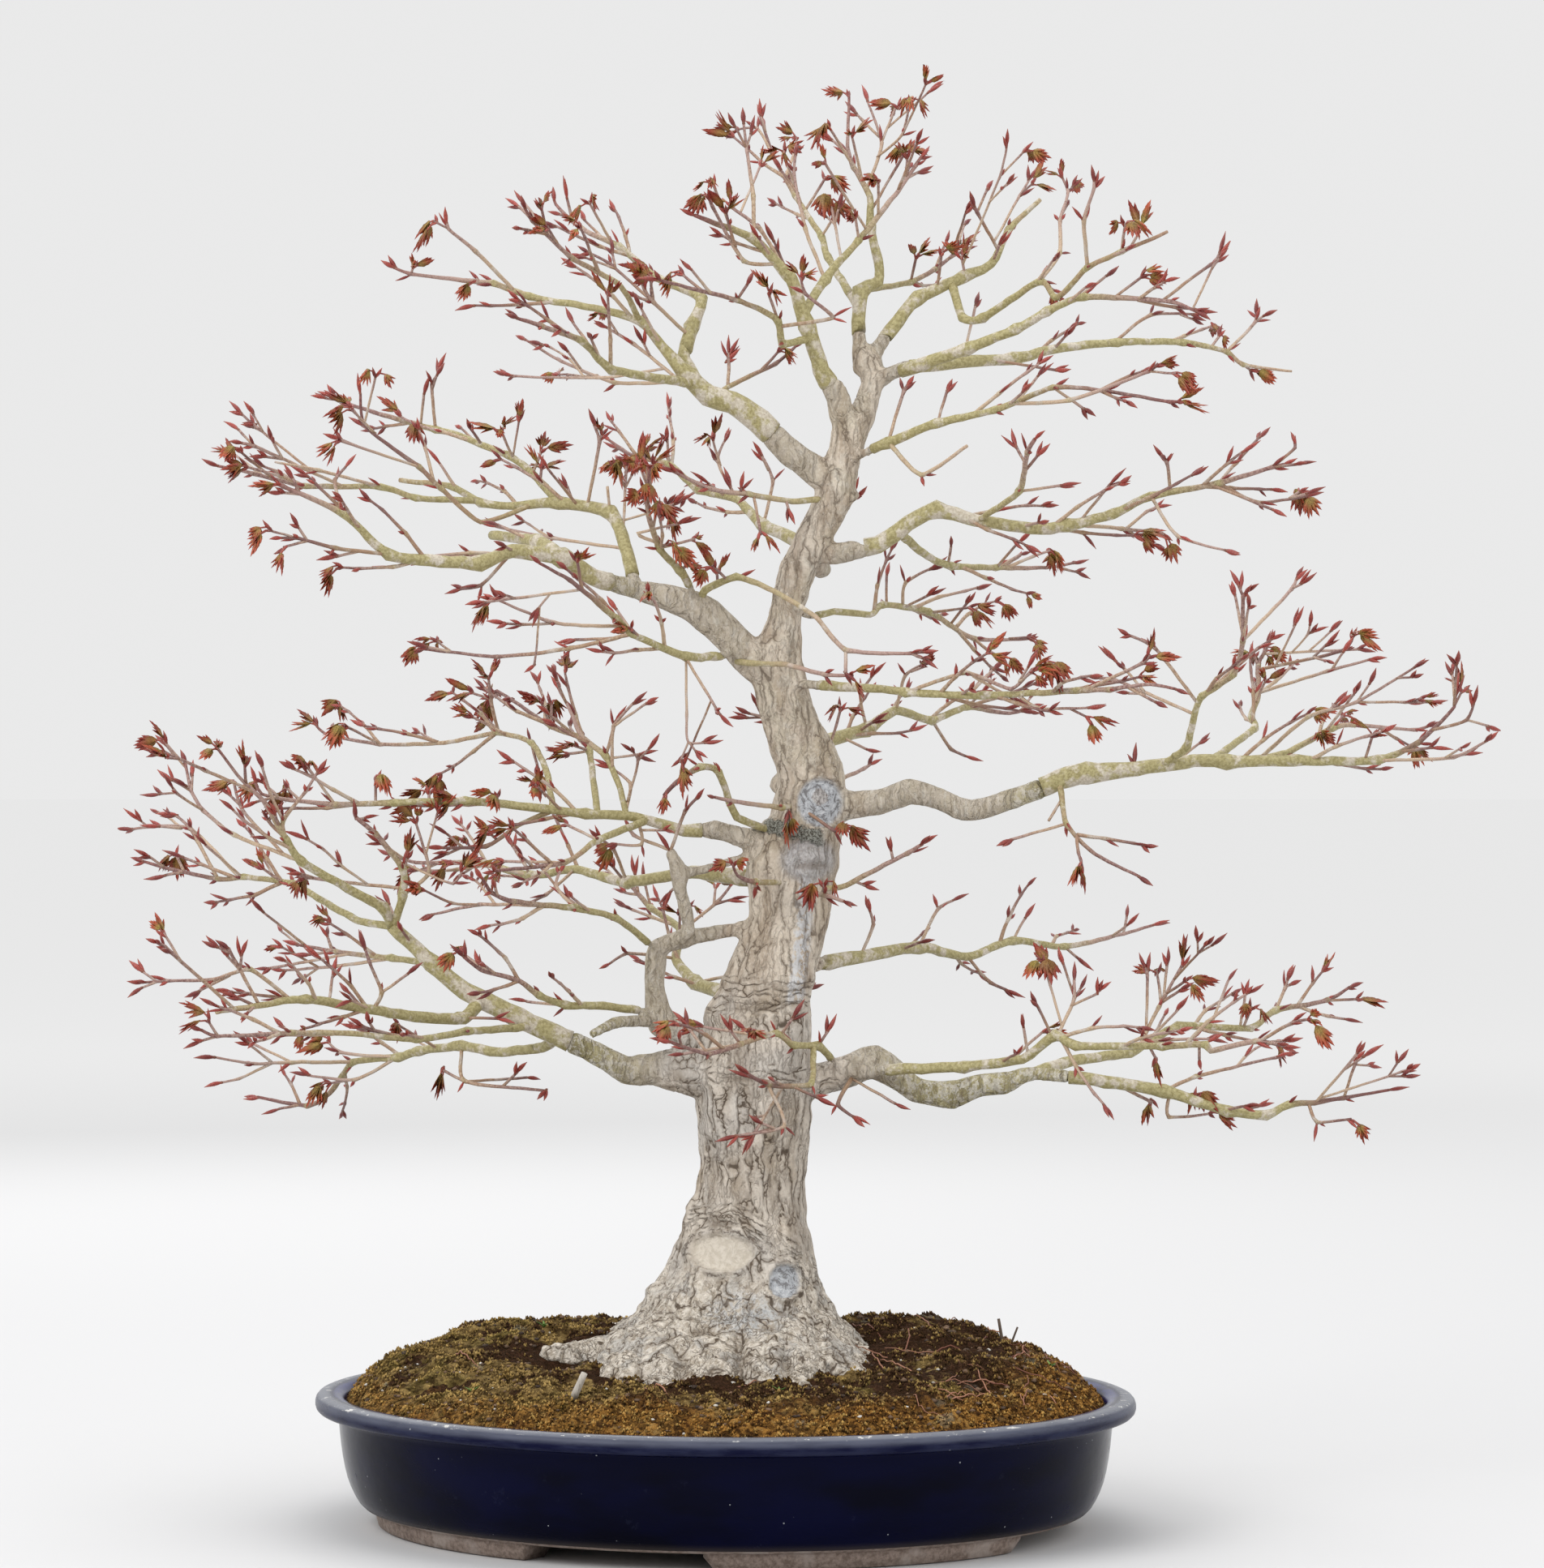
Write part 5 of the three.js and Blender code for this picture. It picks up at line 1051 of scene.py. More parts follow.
# Hollows and folds: x, z, half width, half height and depth.
TRUNK_HOLLOWS = [
    (9, 108, 4, 17, 6.0), (66, 92, 8, 9, 9.0), (-24, 102, 5, 13, 4.4), (38, 100, 4, 14, 3.6),
    (-52, 100, 4, 11, 3.6), (58, 118, 3, 14, 3.4), (-12, 122, 10, 3, 2.4), (-38, 118, 9, 3, 2.2),
    (26, 124, 8, 3, 2.2), (-8, 94, 3, 8, 3.0), (42, 528, 3, 12, 1.6), (54, 402, 14, 3, 1.6),
    (-2, 183, 12, 2.6, 1.8), (16, 173, 9, 2.6, 1.6), (10, 272, 14, 2.4, 1.4),
    (20, 315, 20, 2.4, 1.6),
]


def trunk_form():
    """Trunk, surface roots and thick limbs as one remeshed body with its relief."""
    shell = Skin()
    rings = []
    for z in np.arange(71, 684, 5.0):
        _, left, right = along_rows(TRUNK_FOOT + TRUNK_ROWS[2:], z)
        middle, half = (left + right) / 2, (right - left) / 2
        low = clamp((z - 90) / 60, 0, 1)
        deep = TRUNK_DEEP + FOOT_DEEPER * (1 - low * low * (3 - 2 * low))
        depth = along_rows(TRUNK_SWAY, z)[1]
        turns = 2 * np.pi * np.arange(TRUNK_AROUND) / TRUNK_AROUND
        off = np.abs(np.sin(turns))
        foot = clamp((128 - z) / 40, 0, 1)
        square = 1 - 0.3 * foot
        round_x = np.sign(np.cos(turns)) * np.abs(np.cos(turns)) ** square
        round_y = np.sign(np.sin(turns)) * np.abs(np.sin(turns)) ** square
        round_y = np.where(round_y < 0, round_y * (1 + 0.08 * foot), round_y)
        relief = 1 + off * (0.05 * np.sin(3 * turns + z / 31) + 0.04 * np.sin(5 * turns - z / 23))
        flute = (0.008 + 0.012 * foot) * np.sin(9 * turns + z / 60)
        flute += 0.012 * foot * np.sin(14 * turns + 1.7)
        relief = relief + flute - 0.01 - 0.01 * foot
        ring_x = middle + half * relief * round_x
        ring_y = depth + half * deep * relief * round_y
        rings.append(np.stack([ring_x, ring_y, np.full(TRUNK_AROUND, z)], 1))
    faces = bands(len(rings), TRUNK_AROUND)
    faces.append(tuple(range(TRUNK_AROUND - 1, -1, -1)))
    faces.append(tuple((len(rings) - 1) * TRUNK_AROUND + j for j in range(TRUNK_AROUND)))
    shell.add(np.vstack(rings), faces, 0)
    for r in ROOTS:
        path = [np.array(r[i : i + 3], float) for i in range(0, 16, 4)]
        half = [r[i + 3] / 2 - 0.4 for i in range(0, 16, 4)]
        if r is ROOTS[0]:
            path[2][2] += 3
            path[3] += (-2, -4, 7)
            half[2:] = (9.5, 6.5)
        line, radii, _ = smooth_path(path, half, reach_of(path), [False] * 4, lambda h: 4)
        tube(shell, line, radii, 16, 0)
    for line, radii in limbs:
        tube(shell, line, radii, 14, 0)
    body = shell.make("trunk_shell", [])
    remesh = body.modifiers.new("Remesh", "REMESH")
    remesh.mode = "VOXEL"
    remesh.voxel_size = REMESH_SIZE
    remesh.use_smooth_shade = True
    smooth = body.modifiers.new("Smooth", "CORRECTIVE_SMOOTH")
    smooth.iterations = 4
    smooth.smooth_type = "LENGTH_WEIGHTED"
    smooth.use_only_smooth = True
    mesh = evaluated(body)
    bpy.data.objects.remove(body)
    return mesh


def point_values(mesh, name):
    values = np.empty(len(mesh.vertices) * 3)
    mesh.vertices.foreach_get(name, values)
    return values.reshape(-1, 3)


def carve_bark(mesh):
    """Wrinkles, cracks, scars and ridges pushed into the trunk's surface."""
    count = len(mesh.vertices)
    co, normal = point_values(mesh, "co"), point_values(mesh, "normal")
    p = (co - PLACE) / MM
    depth = np.zeros(count)
    fold = np.zeros(count)
    for i in range(count):
        x, y, z = p[i]
        low = clamp((190 - z) / 80, 0, 1)
        thick = clamp((z - 60) / 10, 0, 1)
        a = noise_at(x / 5.2, y / 5.2, z / (38 - 14 * low))
        b = noise_at(x / 2.6 + 9, y / 2.6, z / 22)
        c = noise_at(x / 14, y / 14, z / 9 + 4)
        crease = max(0.0, 1 - abs(a) / 0.13)
        fine = max(0.0, 1 - abs(b) / 0.14)
        broken = clamp(0.75 + 1.6 * noise_at(x / 11, y / 11, z / 17), 0, 1)
        crease *= broken
        fold[i] = max(crease, 0.5 * fine * broken)
        flow = noise_at(x / 7.5, y / 7.5 + 6, z / 30) * 2.4 * low
        knob = noise_at(x / 7, y / 7, z / 7 + 9) * (0.35 + 0.9 * low)
        relief = c * (0.8 + 1.3 * low) + flow + knob
        relief = relief - crease * (0.9 + 0.9 * low) - fine * (0.3 + 0.3 * low)
        depth[i] = thick * relief
    rows = TRUNK_FOOT + TRUNK_ROWS[2:]
    half = np.interp(p[:, 2], [r[0] for r in rows], [(r[2] - r[1]) / 2 for r in rows])
    middle = np.interp(p[:, 2], [r[0] for r in rows], [(r[2] + r[1]) / 2 for r in rows])
    off = np.hypot(p[:, 0] - middle, p[:, 1]) / np.maximum(half, 8)
    on_trunk = np.clip((1.75 - off) / 0.5, 0, 1)
    on_trunk = np.maximum(on_trunk, np.clip((150 - p[:, 2]) / 20, 0, 1))
    depth *= 0.3 + 0.7 * on_trunk
    fold *= 0.4 + 0.6 * on_trunk
    front = np.clip(-normal[:, 1] * 1.6, 0, 1)
    smooth_scar = np.zeros(count)
    for x, z, w, h, high in TRUNK_SWELLS:
        k = np.exp(-(((p[:, 0] - x) / w) ** 2 + ((p[:, 2] - z) / h) ** 2) ** 1.6)
        depth += k * high * np.clip(0.55 - 1.5 * normal[:, 1], 0, 1) * on_trunk
    for x, z, w, h, deep in TRUNK_HOLLOWS:
        k = np.exp(-((((p[:, 0] - x) / w) ** 2 + ((p[:, 2] - z) / h) ** 2) ** 1.3))
        depth -= k * deep * front * on_trunk
        fold = np.maximum(fold, k * front)
    for x, z, w, h in SCARS:
        far = np.sqrt(((p[:, 0] - x) / w) ** 2 + ((p[:, 2] - z) / h) ** 2)
        inside = np.clip((1.05 - far) * 8, 0, 1) * front
        smooth_scar = np.maximum(smooth_scar, inside)
        rim = np.exp(-(((far - 1.12) / 0.12) ** 2)) * front
        depth = depth * (1 - inside) - 1.4 * inside + rim * 1.5
        fold = fold * (1 - inside)
    co += normal * (depth * MM)[:, None]
    mesh.vertices.foreach_set("co", co.ravel())
    # fold marks the carved creases and hollows, where the bark shader paints shade.
    for key, value in (("fold", np.clip(fold, 0, 1)), ("scar", smooth_scar), ("on_trunk", on_trunk)):
        mesh.attributes.new(key, "FLOAT", "POINT").data.foreach_set("value", value)
    mesh.polygons.foreach_set("use_smooth", [True] * len(mesh.polygons))
    mesh.update()


# Pot.

LIP_HALF_LONG, LIP_HALF_SHORT = 255, 232
SOIL_INSIDE_LIP = 19.9
POT_TURN = math.radians(-19)


def turned_by(angle, x, y):
    """A place turned about the middle, for numbers and for shader values."""
    return x * math.cos(angle) - y * math.sin(angle), x * math.sin(angle) + y * math.cos(angle)


def pot_axes(x, y):
    """A place as lengths along and across the turned pot."""
    return turned_by(-POT_TURN, x, y)


def oval_at(offset, angle, z):
    """A point of the pot's oval at a turn about its middle; offset is outward from the lip."""
    x = (LIP_HALF_LONG + offset) * math.cos(angle)
    y = (LIP_HALF_SHORT + offset) * math.sin(angle)
    return (*turned_by(POT_TURN, x, y), z)


def oval_toward(offset, degrees, z):
    """The point of the oval in a direction seen from above; 0 degrees is toward the viewer."""
    a = math.radians(degrees - 90) - POT_TURN
    long, short = LIP_HALF_LONG + offset, LIP_HALF_SHORT + offset
    r = 1 / math.hypot(math.cos(a) / long, math.sin(a) / short)
    return (r * math.cos(a + POT_TURN), r * math.sin(a + POT_TURN), z)


# Offset, height and finish of each ring: 0 glaze, 1 bare clay. No offset passes the lip's line.
POT_RINGS = [
    (-180, 6.6, 1), (-90, 6.6, 1), (-38, 6.6, 1), (-33, 7.4, 1), (-29.5, 9.2, 1), (-26.6, 12, 0),
    (-24.2, 16, 0), (-21.8, 21, 0), (-19.8, 26.5, 0), (-18.2, 33, 0), (-16.9, 40, 0),
    (-15.8, 48, 0), (-15, 56, 0), (-14.4, 62, 0), (-13.6, 65, 0), (-11.6, 66.3, 0), (-8, 66.6, 0),
    (-4.6, 66.7, 0), (-2.2, 67.4, 0), (-0.7, 69, 0), (-0.1, 71, 0), (-0.1, 73.2, 0),
    (-0.7, 75.2, 0), (-2.1, 76.9, 0), (-4.2, 77.8, 0), (-7.5, 78, 0), (-12, 77.8, 0),
    (-15.6, 77, 0), (-17.8, 75.2, 0), (-18.9, 72.4, 0), (-19.2, 68, 1), (-20.4, 60, 1),
    (-22, 40, 1), (-27, 24, 1), (-38, 18.5, 1), (-120, 18.5, 1), (-180, 18.5, 1),
]


def pot_piece(materials):
    skin = Skin()
    around = 168
    points, slots = [], []
    for offset, z, _ in POT_RINGS:
        for j in range(around):
            a = 2 * math.pi * j / around
            x, y, h = oval_at(offset, a, z)
            wave = noise_at(x / 60, y / 60, h / 25)
            fine = noise_at(x / 14, y / 14, h / 14)
            lift = 0.25 * wave + 0.06 * fine if offset > -100 else 0
            inward = 1 - max(0.0, lift) / 240
            points.append((x * inward, y * inward, h + (0.15 * fine if 10 < h < 77 else 0)))
    faces = bands(len(POT_RINGS), around)
    for _, _, finish in POT_RINGS[1:]:
        slots += [finish] * around
    faces.append(tuple(range(around - 1, -1, -1)))
    slots.append(1)
    faces.append(tuple((len(POT_RINGS) - 1) * around + j for j in range(around)))
    slots.append(1)
    skin.add(points, faces, 0)
    skin.slots = slots
    for k in range(4):
        first = -3 + 90 * k
        rings = []
        steps = 30
        for i in range(steps + 1):
            f = i / steps
            ease = 0.6 * max(0.0, 1 - min(f, 1 - f) * steps / 2)
            top = first + 58 * f
            low = first + 1.8 + 54.4 * f
            rough = 0.3 * noise_at(top / 3, 0, 0)
            rings.append(
                [
                    oval_toward(-38.6 - ease - rough, low, -2.4),
                    oval_toward(-40.2 - ease, low, -3),
                    oval_toward(-58.6, low, -3),
                    oval_toward(-60, low, -2.2),
                    oval_toward(-63, top, 10),
                    oval_toward(-36.2 - ease, top, 10),
                    oval_toward(-36.6 - ease - rough, top, 5),
                ]
            )
        n = len(rings[0])
        faces = bands(steps + 1, n, inward=True)
        faces.append(tuple(range(n)))
        faces.append(tuple(steps * n + n - 1 - j for j in range(n)))
        skin.add([p for ring in rings for p in ring], faces, 1)
    piece = skin.make("pot_glazed", materials)
    edge = piece.modifiers.new("Holes", "BOOLEAN")
    edge.operation = "DIFFERENCE"
    edge.solver = "EXACT"
    drill = Skin()
    for side in (-1, 1):
        x, y = 110 * side * math.cos(POT_TURN), 110 * side * math.sin(POT_TURN)
        ring = [(x + 12 * math.cos(t), y + 12 * math.sin(t)) for t in np.arange(32) * math.pi / 16]
        points = [(a, b, -8) for a, b in ring] + [(a, b, 32) for a, b in ring]
        faces = [tuple(range(31, -1, -1)), tuple(range(32, 64))]
        faces += [(j, (j + 1) % 32, 32 + (j + 1) % 32, 32 + j) for j in range(32)]
        drill.add(points, faces, 1)
    bits = drill.make("drill", materials)
    edge.object = bits
    mesh = evaluated(piece)
    piece.modifiers.clear()
    piece.data = mesh
    bpy.data.objects.remove(bits)
    return piece


# Soil, moss and what lies on it.

SOIL_AROUND = 470
MOSS_DRAWS = 11800
SHOOTS_EACH = 4
GRAINS, PALE_GRAINS = 950, 110
ROOT_THREADS, THREADS_AT_RIGHT = 46, 34
# Heaps and hollows of the soil: height, middle along x and y, half length and half depth.
HEAPS = [
    (8.5, 128, 78, 42, 48), (5, -150, 70, 40, 50), (4.5, 165, -52, 34, 26),
    (-3.5, 92, -10, 16, 40), (-12, -96, -28, 20, 20), (-5, -175, -78, 20, 12),
]


def soil_height(inward, x, y):
    rise = 37 * (1 - math.exp(-inward / 32))
    lean = clamp((y + 130) / 170, 0, 1)
    lean = lean * lean * (3 - 2 * lean)
    rough = 1.6 * math.sin(x / 17 + 1.3) * math.sin(y / 19 + 0.4) + 1.1 * math.sin(x / 8 - y / 11)
    return 74.8 + rise * (0.5 + 0.5 * lean) + rough * min(1, inward / 25)


def edge_distance(x, y):
    """How far inside the soil's edge a place lies."""
    u, v = pot_axes(x, y)
    far = math.hypot(u / (LIP_HALF_LONG - SOIL_INSIDE_LIP), v / (LIP_HALF_SHORT - SOIL_INSIDE_LIP))
    return (1 - far) * 222


def clump(x, y):
    """How high a place stands in its clump of moss: 0 in the gap between clumps, 1 on top."""
    wobble = noise_at(x / 5, y / 5, 3) * 1.6
    near = noise.voronoi(Vector(((x + wobble) / 7.5, (y - wobble) / 7.5, 0.5)))[0]
    return 1 - math.exp(-3.6 * (near[1] - near[0]))


def heap(x, y, high, at_x, at_y, long, deep):
    """Height at x, y of a soft heap, or of a hollow where high is under 0."""
    return high * math.exp(-(((x - at_x) / long) ** 2) - ((y - at_y) / deep) ** 2)


def mossy(x, y):
    """How much moss covers a place: 0 on bare humus, 1 where it is thick."""
    rim = clamp(1 - edge_distance(x, y) / 45, 0, 1)
    slow = noise_at(x / 34 + 7, y / 34 + 2, 0)
    bare = heap(x, y, 1, -100, -18, 42, 34) + heap(x, y, 0.8, -172, -76, 24, 14)
    return clamp(0.7 + 1.5 * slow + 0.7 * rim - 0.35 * clamp(x / 200, 0, 1) - 1.1 * bare, 0, 1)


def mound(x, y):
    """Height of the moss surface, with the clumps that the moss makes."""
    inward = max(0.0, edge_distance(x, y))
    z = soil_height(inward, x, y)
    q = Vector((x, y, 0))
    lump = noise.noise(q / 24) * 3.4 + noise.noise(q / 11 + Vector((3, 1, 0))) * 1.8
    crumb = noise.noise(q / 4.1) * 0.9 + noise.noise(q / 2.0) * 0.5
    lump += clump(x, y) * (0.6 + 2.9 * mossy(x, y)) * (1 + 0.5 * clamp(-y / 150, 0, 1))
    edge = min(1.0, 0.35 + inward / 14)
    hump = sum(heap(x, y, *row) for row in HEAPS)
    return z - 1.2 + hump * min(1.0, inward / 30) + (lump + crumb) * edge


def soil_piece(materials):
    skin = Skin()
    around = SOIL_AROUND
    steps = [0, 1.5, 3, 4.6, 6.2] + [6.2 + 1.9 * k for k in range(1, 66)] + [135, 142, 152, 168, 190]
    points, tops = [], [1.0] * (5 * around)
    for offset, z in ((-60, 19.1), (-39.4, 19.1), (-28, 24.8), (-24, 45), (-20.3, 70)):
        points += [oval_at(offset, 2 * math.pi * j / around, z) for j in range(around)]
    for inward in steps:
        for j in range(around):
            x, y, _ = oval_at(-SOIL_INSIDE_LIP - inward, 2 * math.pi * j / around, 0)
            points.append((x, y, mound(x, y)))
            # tops holds how high each point stands in its clump; the ground shader paints shade in the
            # low gaps.
            tops.append(clump(x, y) * 0.7 + 0.3)
    count = 5 + len(steps)
    points.append((0, 0, mound(0, 0)))
    tops.append(1.0)
    faces = bands(count, around)
    first = (count - 1) * around
    for j in range(around):
        faces.append((first + j, first + (j + 1) % around, count * around))
    faces.append(tuple(range(around - 1, -1, -1)))
    skin.add(points, faces, 0, 1.0, tops)
    return skin.make("moss_and_soil", materials)


def near_wood(x, y, extra):
    """Whether a place on the soil is under the trunk foot or a root."""
    if math.hypot((x - 2) / (62 + extra), y / (56 + extra)) < 1:
        return True
    for r in ROOTS:
        a, b = np.array([r[0], r[1]]), np.array([r[12], r[13]])
        t = clamp(float((np.array([x, y]) - a) @ (b - a)) / float((b - a) @ (b - a)), 0, 1)
        wide = (r[3] / 2) * (1 - t) + 5 * t + extra
        if math.hypot(*(np.array([x, y]) - a - t * (b - a))) < wide:
            return True
    return False


def random_place(draw, margin):
    while True:
        x, y = (2 * draw() - 1) * 236, (2 * draw() - 1) * 232
        if edge_distance(x, y) > margin and not near_wood(x, y, 3):
            return x, y


def moss_tufts(materials):
    """Short upright moss shoots in clumps, thickest round the rim."""
    skin = Skin()
    draw = seeded(7001)
    for _ in range(MOSS_DRAWS):
        x, y = random_place(draw, 1.0)
        if draw() > 0.15 + mossy(x, y):
            continue
        for _ in range(SHOOTS_EACH):
            a = draw() * 2 * math.pi
            off = 2.4 * draw()
            bx, by = x + off * math.cos(a), y + off * math.sin(a)
            if edge_distance(bx, by) < 0.4:
                continue
            top = clump(bx, by)
            size = 0.65 + 0.75 * draw()
            middle = np.array([bx, by, mound(bx, by) + 0.3 * size])
            turn, tip = draw() * 2 * math.pi, draw() - 0.5
            points = [middle + size * np.array([tip, 0.3 * tip, 1.15])]
            for k in range(3):
                b = turn + k * 2.1 + 0.5 * draw()
                points.append(middle + size * np.array([math.cos(b), math.sin(b), -0.5 + 0.5 * draw()]))
            sides = [(1, 2, 0), (2, 3, 0), (3, 1, 0), (3, 2, 1)]
            # tone mixes how high the shoot stands in its clump with chance; the shader paints light on
            # high shoots and shade on low ones.
            skin.add(points, sides, 0, 1.0, [1, 0.3, 0.3, 0.3], 0.5 * top + 0.5 * draw())
    return skin.make("moss_shoots", materials)


GRAIN_POINTS = [
    (1, 0, 0), (-1, 0, 0), (0, 1, 0), (0, -1, 0),
    (0, 0, 1), (0, 0, -1), (0.7, 0.7, 0.5), (-0.7, 0.5, 0.6),
]
GRAIN_FACES = [
    (0, 6, 4), (6, 2, 4), (2, 7, 4), (7, 1, 4), (1, 3, 4), (3, 0, 4),
    (0, 2, 6), (2, 1, 7), (0, 5, 2), (2, 5, 1), (1, 5, 3), (3, 5, 0),
]


def soil_grains(materials):
    """Grains of grit and crumbs of bark on the bare soil; the palest ones are few."""
    skin = Skin()
    draw = seeded(7103)
    for k in range(GRAINS):
        x, y = random_place(draw, 4.0)
        pale = k < PALE_GRAINS
        size = (0.7 + 0.9 * draw()) if pale else (0.8 + 1.5 * draw())
        z = mound(x, y) + size * 0.25
        points = []
        for way in GRAIN_POINTS:
            r = size * (0.65 + 0.6 * draw())
            points.append((x + way[0] * r, y + way[1] * r, z + way[2] * r * 0.7))
        skin.add(points, GRAIN_FACES, 0, 1.0, 1.0 if pale else 0.0, draw())
    return skin.make("soil_grains", materials)


def fine_roots(materials):
    """Thin reddish roots lying bare on the right of the mound, and a few fibres elsewhere."""
    skin = Skin()
    draw = seeded(7207)
    for k in range(ROOT_THREADS):
        right = k < THREADS_AT_RIGHT
        x = 95 + 110 * draw() if right else -190 + 380 * draw()
        y = -130 + 190 * draw() if right else -150 + 300 * draw()
        if edge_distance(x, y) < 16 or near_wood(x, y, 4):
            continue
        heading = draw() * 2 * math.pi
        path = []
        length = 14 + 34 * draw()
        steps = 12
        arch = 1.2 + 3.2 * draw()
        for i in range(steps + 1):
            t = i / steps
            heading += (draw() - 0.5) * 0.5
            x += math.cos(heading) * length / steps
            y += math.sin(heading) * length / steps
            if edge_distance(x, y) < 8:
                break
            path.append(np.array([x, y, mound(x, y) - 0.5 + arch * math.sin(math.pi * t)]))
        if len(path) > 4:
            half = 0.35 + 0.35 * draw()
            radii = [half * (1 - 0.6 * i / len(path)) for i in range(len(path))]
            tube(skin, np.array(path), radii, 5, 0, 0, draw())
    return skin.make("fine_roots", materials)


SEEDLINGS = [(-112, 28), (34, -128), (200, -20), (-150, -92)]
# Each stub: x, y, height, half thickness, and how far it leans along x and y.
STUBS = [(-88, -140, 13, 2.6, 7, -4), (174, 40, 15, 1.2, -3, 2), (178, 44, 10, 0.8, 5, 0)]


def small_growth(materials):
    """Four green seedlings, a pale broken twig and two dark ones standing in the moss."""
    skin = Skin()
    draw = seeded(7309)
    for x, y in SEEDLINGS:
        z = mound(x, y)
        for k in range(5):
            a = k * 1.26 + draw()
            way = unit(np.array([math.cos(a), math.sin(a), 0.7 + 0.6 * draw()]))
            foot, length = np.array([x, y, z - 0.4]), 4 + 3 * draw()
            lobe(skin, foot, way, np.array([0.0, 0, 1]), length, 0.9, -0.2, draw(), 1)
    for x, y, high, half, lean_x, lean_y in STUBS:
        foot = np.array([x, y, mound(x, y) - 3])
        lean = np.array([lean_x, lean_y, high + 3])
        path = np.array([foot + lean * t for t in (0, 0.4, 0.75, 1)])
        tube(skin, path, [half, half * 0.9, half * 0.85, half * 0.8], 8, 0, 0, draw())
    return skin.make("seedlings_and_stubs", materials)


# Materials.


class Knob:
    """One output of a shader node, added and multiplied like a number."""

    def __init__(self, shader, out):
        self.shader = shader
        self.out = out

    def maths(self, operation, *values):
        return self.shader.node("Math", {"operation": operation}, 0, *values)

    def __add__(self, other):
        return self.maths("ADD", self, other)

    def __radd__(self, other):
        return self.maths("ADD", other, self)

    def __sub__(self, other):
        return self.maths("SUBTRACT", self, other)

    def __rsub__(self, other):
        return self.maths("SUBTRACT", other, self)

    def __mul__(self, other):
        return self.maths("MULTIPLY", self, other)

    def __rmul__(self, other):
        return self.maths("MULTIPLY", other, self)

    def __truediv__(self, other):
        return self.maths("DIVIDE", self, other)

    def __pow__(self, other):
        return self.maths("POWER", self, other)

    def most(self, other):
        return self.maths("MAXIMUM", self, other)

    def size(self):
        return self.maths("ABSOLUTE", self)

    def sine(self):
        return self.maths("SINE", self)

    def ramp(self, low, high):
        """0 at low and under, 1 at high and over, eased between."""
        eased = {"interpolation_type": "SMOOTHSTEP"}
        return self.shader.node("MapRange", eased, 0, self, low, high, 0.0, 1.0)


class Shader:
    """A material being built node by node."""

    def __init__(self, name):
        self.material = bpy.data.materials.new(name)
        self.material.use_nodes = True
        self.tree = self.material.node_tree
        self.tree.nodes.clear()

    def node(self, kind, settings, out, *values, **named):
        """Adds a node: its settings first, then its sockets in order or by name."""
        made = self.tree.nodes.new("ShaderNode" + kind)
        for key, value in settings.items():
            setattr(made, key, value)
        fed = [(made.inputs[k], value) for k, value in enumerate(values)]
        fed += [(made.inputs[key.replace("_", " ")], value) for key, value in named.items()]
        for socket, value in fed:
            if isinstance(value, Knob):
                self.tree.links.new(value.out, socket)
            elif value is not None:
                socket.default_value = value
        return Knob(self, made.outputs[out])

    def number(self, name):
        return self.node("Attribute", {"attribute_name": name}, 2)

    def place(self):
        """The point on the piece, in millimetres of the drawing's frame."""
        metres = self.node("TexCoord", {}, "Object")
        moved = self.vectors("SUBTRACT", metres, tuple(PLACE))
        return self.vectors("SCALE", moved, Scale=1000.0)

    def vectors(self, operation, *values, **named):
        return self.node("VectorMath", {"operation": operation}, 0, *values, **named)

    def scaled(self, vector, scale):
        """A place and its scale for a texture; three scales stretch the place instead."""
        if hasattr(scale, "__len__"):
            return self.vectors("MULTIPLY", vector, scale), 1.0
        return vector, scale

    def wander(self, vector, scale, far):
        """The same place pushed about by a slow noise, so that lines along it wander."""
        push = self.node("TexNoise", {}, 1, Vector=vector, Scale=scale, Detail=1.0)
        push = self.vectors("SUBTRACT", push, (0.5, 0.5, 0.5))
        return self.vectors("ADD", vector, self.vectors("SCALE", push, Scale=far))

    def split(self, vector):
        parts = self.node("SeparateXYZ", {}, 0, vector)
        outs = parts.out.node.outputs
        return [Knob(self, outs[k]) for k in range(3)]

    def noise(self, vector, scale, detail=2.0, rough=0.5):
        vector, scale = self.scaled(vector, scale)
        fed = {"Vector": vector, "Scale": scale, "Detail": detail, "Roughness": rough}
        return self.node("TexNoise", {}, 0, **fed)

    def cells(self, vector, scale, feature="F1"):
        vector, scale = self.scaled(vector, scale)
        return self.node("TexVoronoi", {"feature": feature}, 0, Vector=vector, Scale=scale)

    def blend(self, factor, a, b):
        """Colour a where the factor is 0, colour b where it is 1."""
        settings = {"data_type": "RGBA", "blend_type": "MIX", "clamp_factor": True}
        made = self.node("Mix", settings, 2)
        mix = made.out.node
        for socket, value in ((mix.inputs[0], factor), (mix.inputs[6], a), (mix.inputs[7], b)):
            if isinstance(value, Knob):
                self.tree.links.new(value.out, socket)
            else:
                socket.default_value = (*value, 1.0) if hasattr(value, "__len__") else value
        return made

    def bump(self, height, distance, strength=1.0, under=None):
        return self.node(
            "Bump", {}, 0, Strength=strength, Distance=distance * MM, Height=height, Normal=under
        )

    def finish(self, color, roughness, normal=None, **more):
        if not isinstance(color, Knob):
            color = (*color, 1.0)
        surface = self.node(
            "BsdfPrincipled", {}, 0, Base_Color=color, Roughness=roughness, Normal=normal, **more
        )
        output = self.tree.nodes.new("ShaderNodeOutputMaterial")
        self.tree.links.new(surface.out, output.inputs["Surface"])
        return self.material


def plates(s, at, stretch):
    """How far a place lies inside one of the plates that bark cracks into: 0 at their edges."""
    return s.cells(at, stretch, "DISTANCE_TO_EDGE")


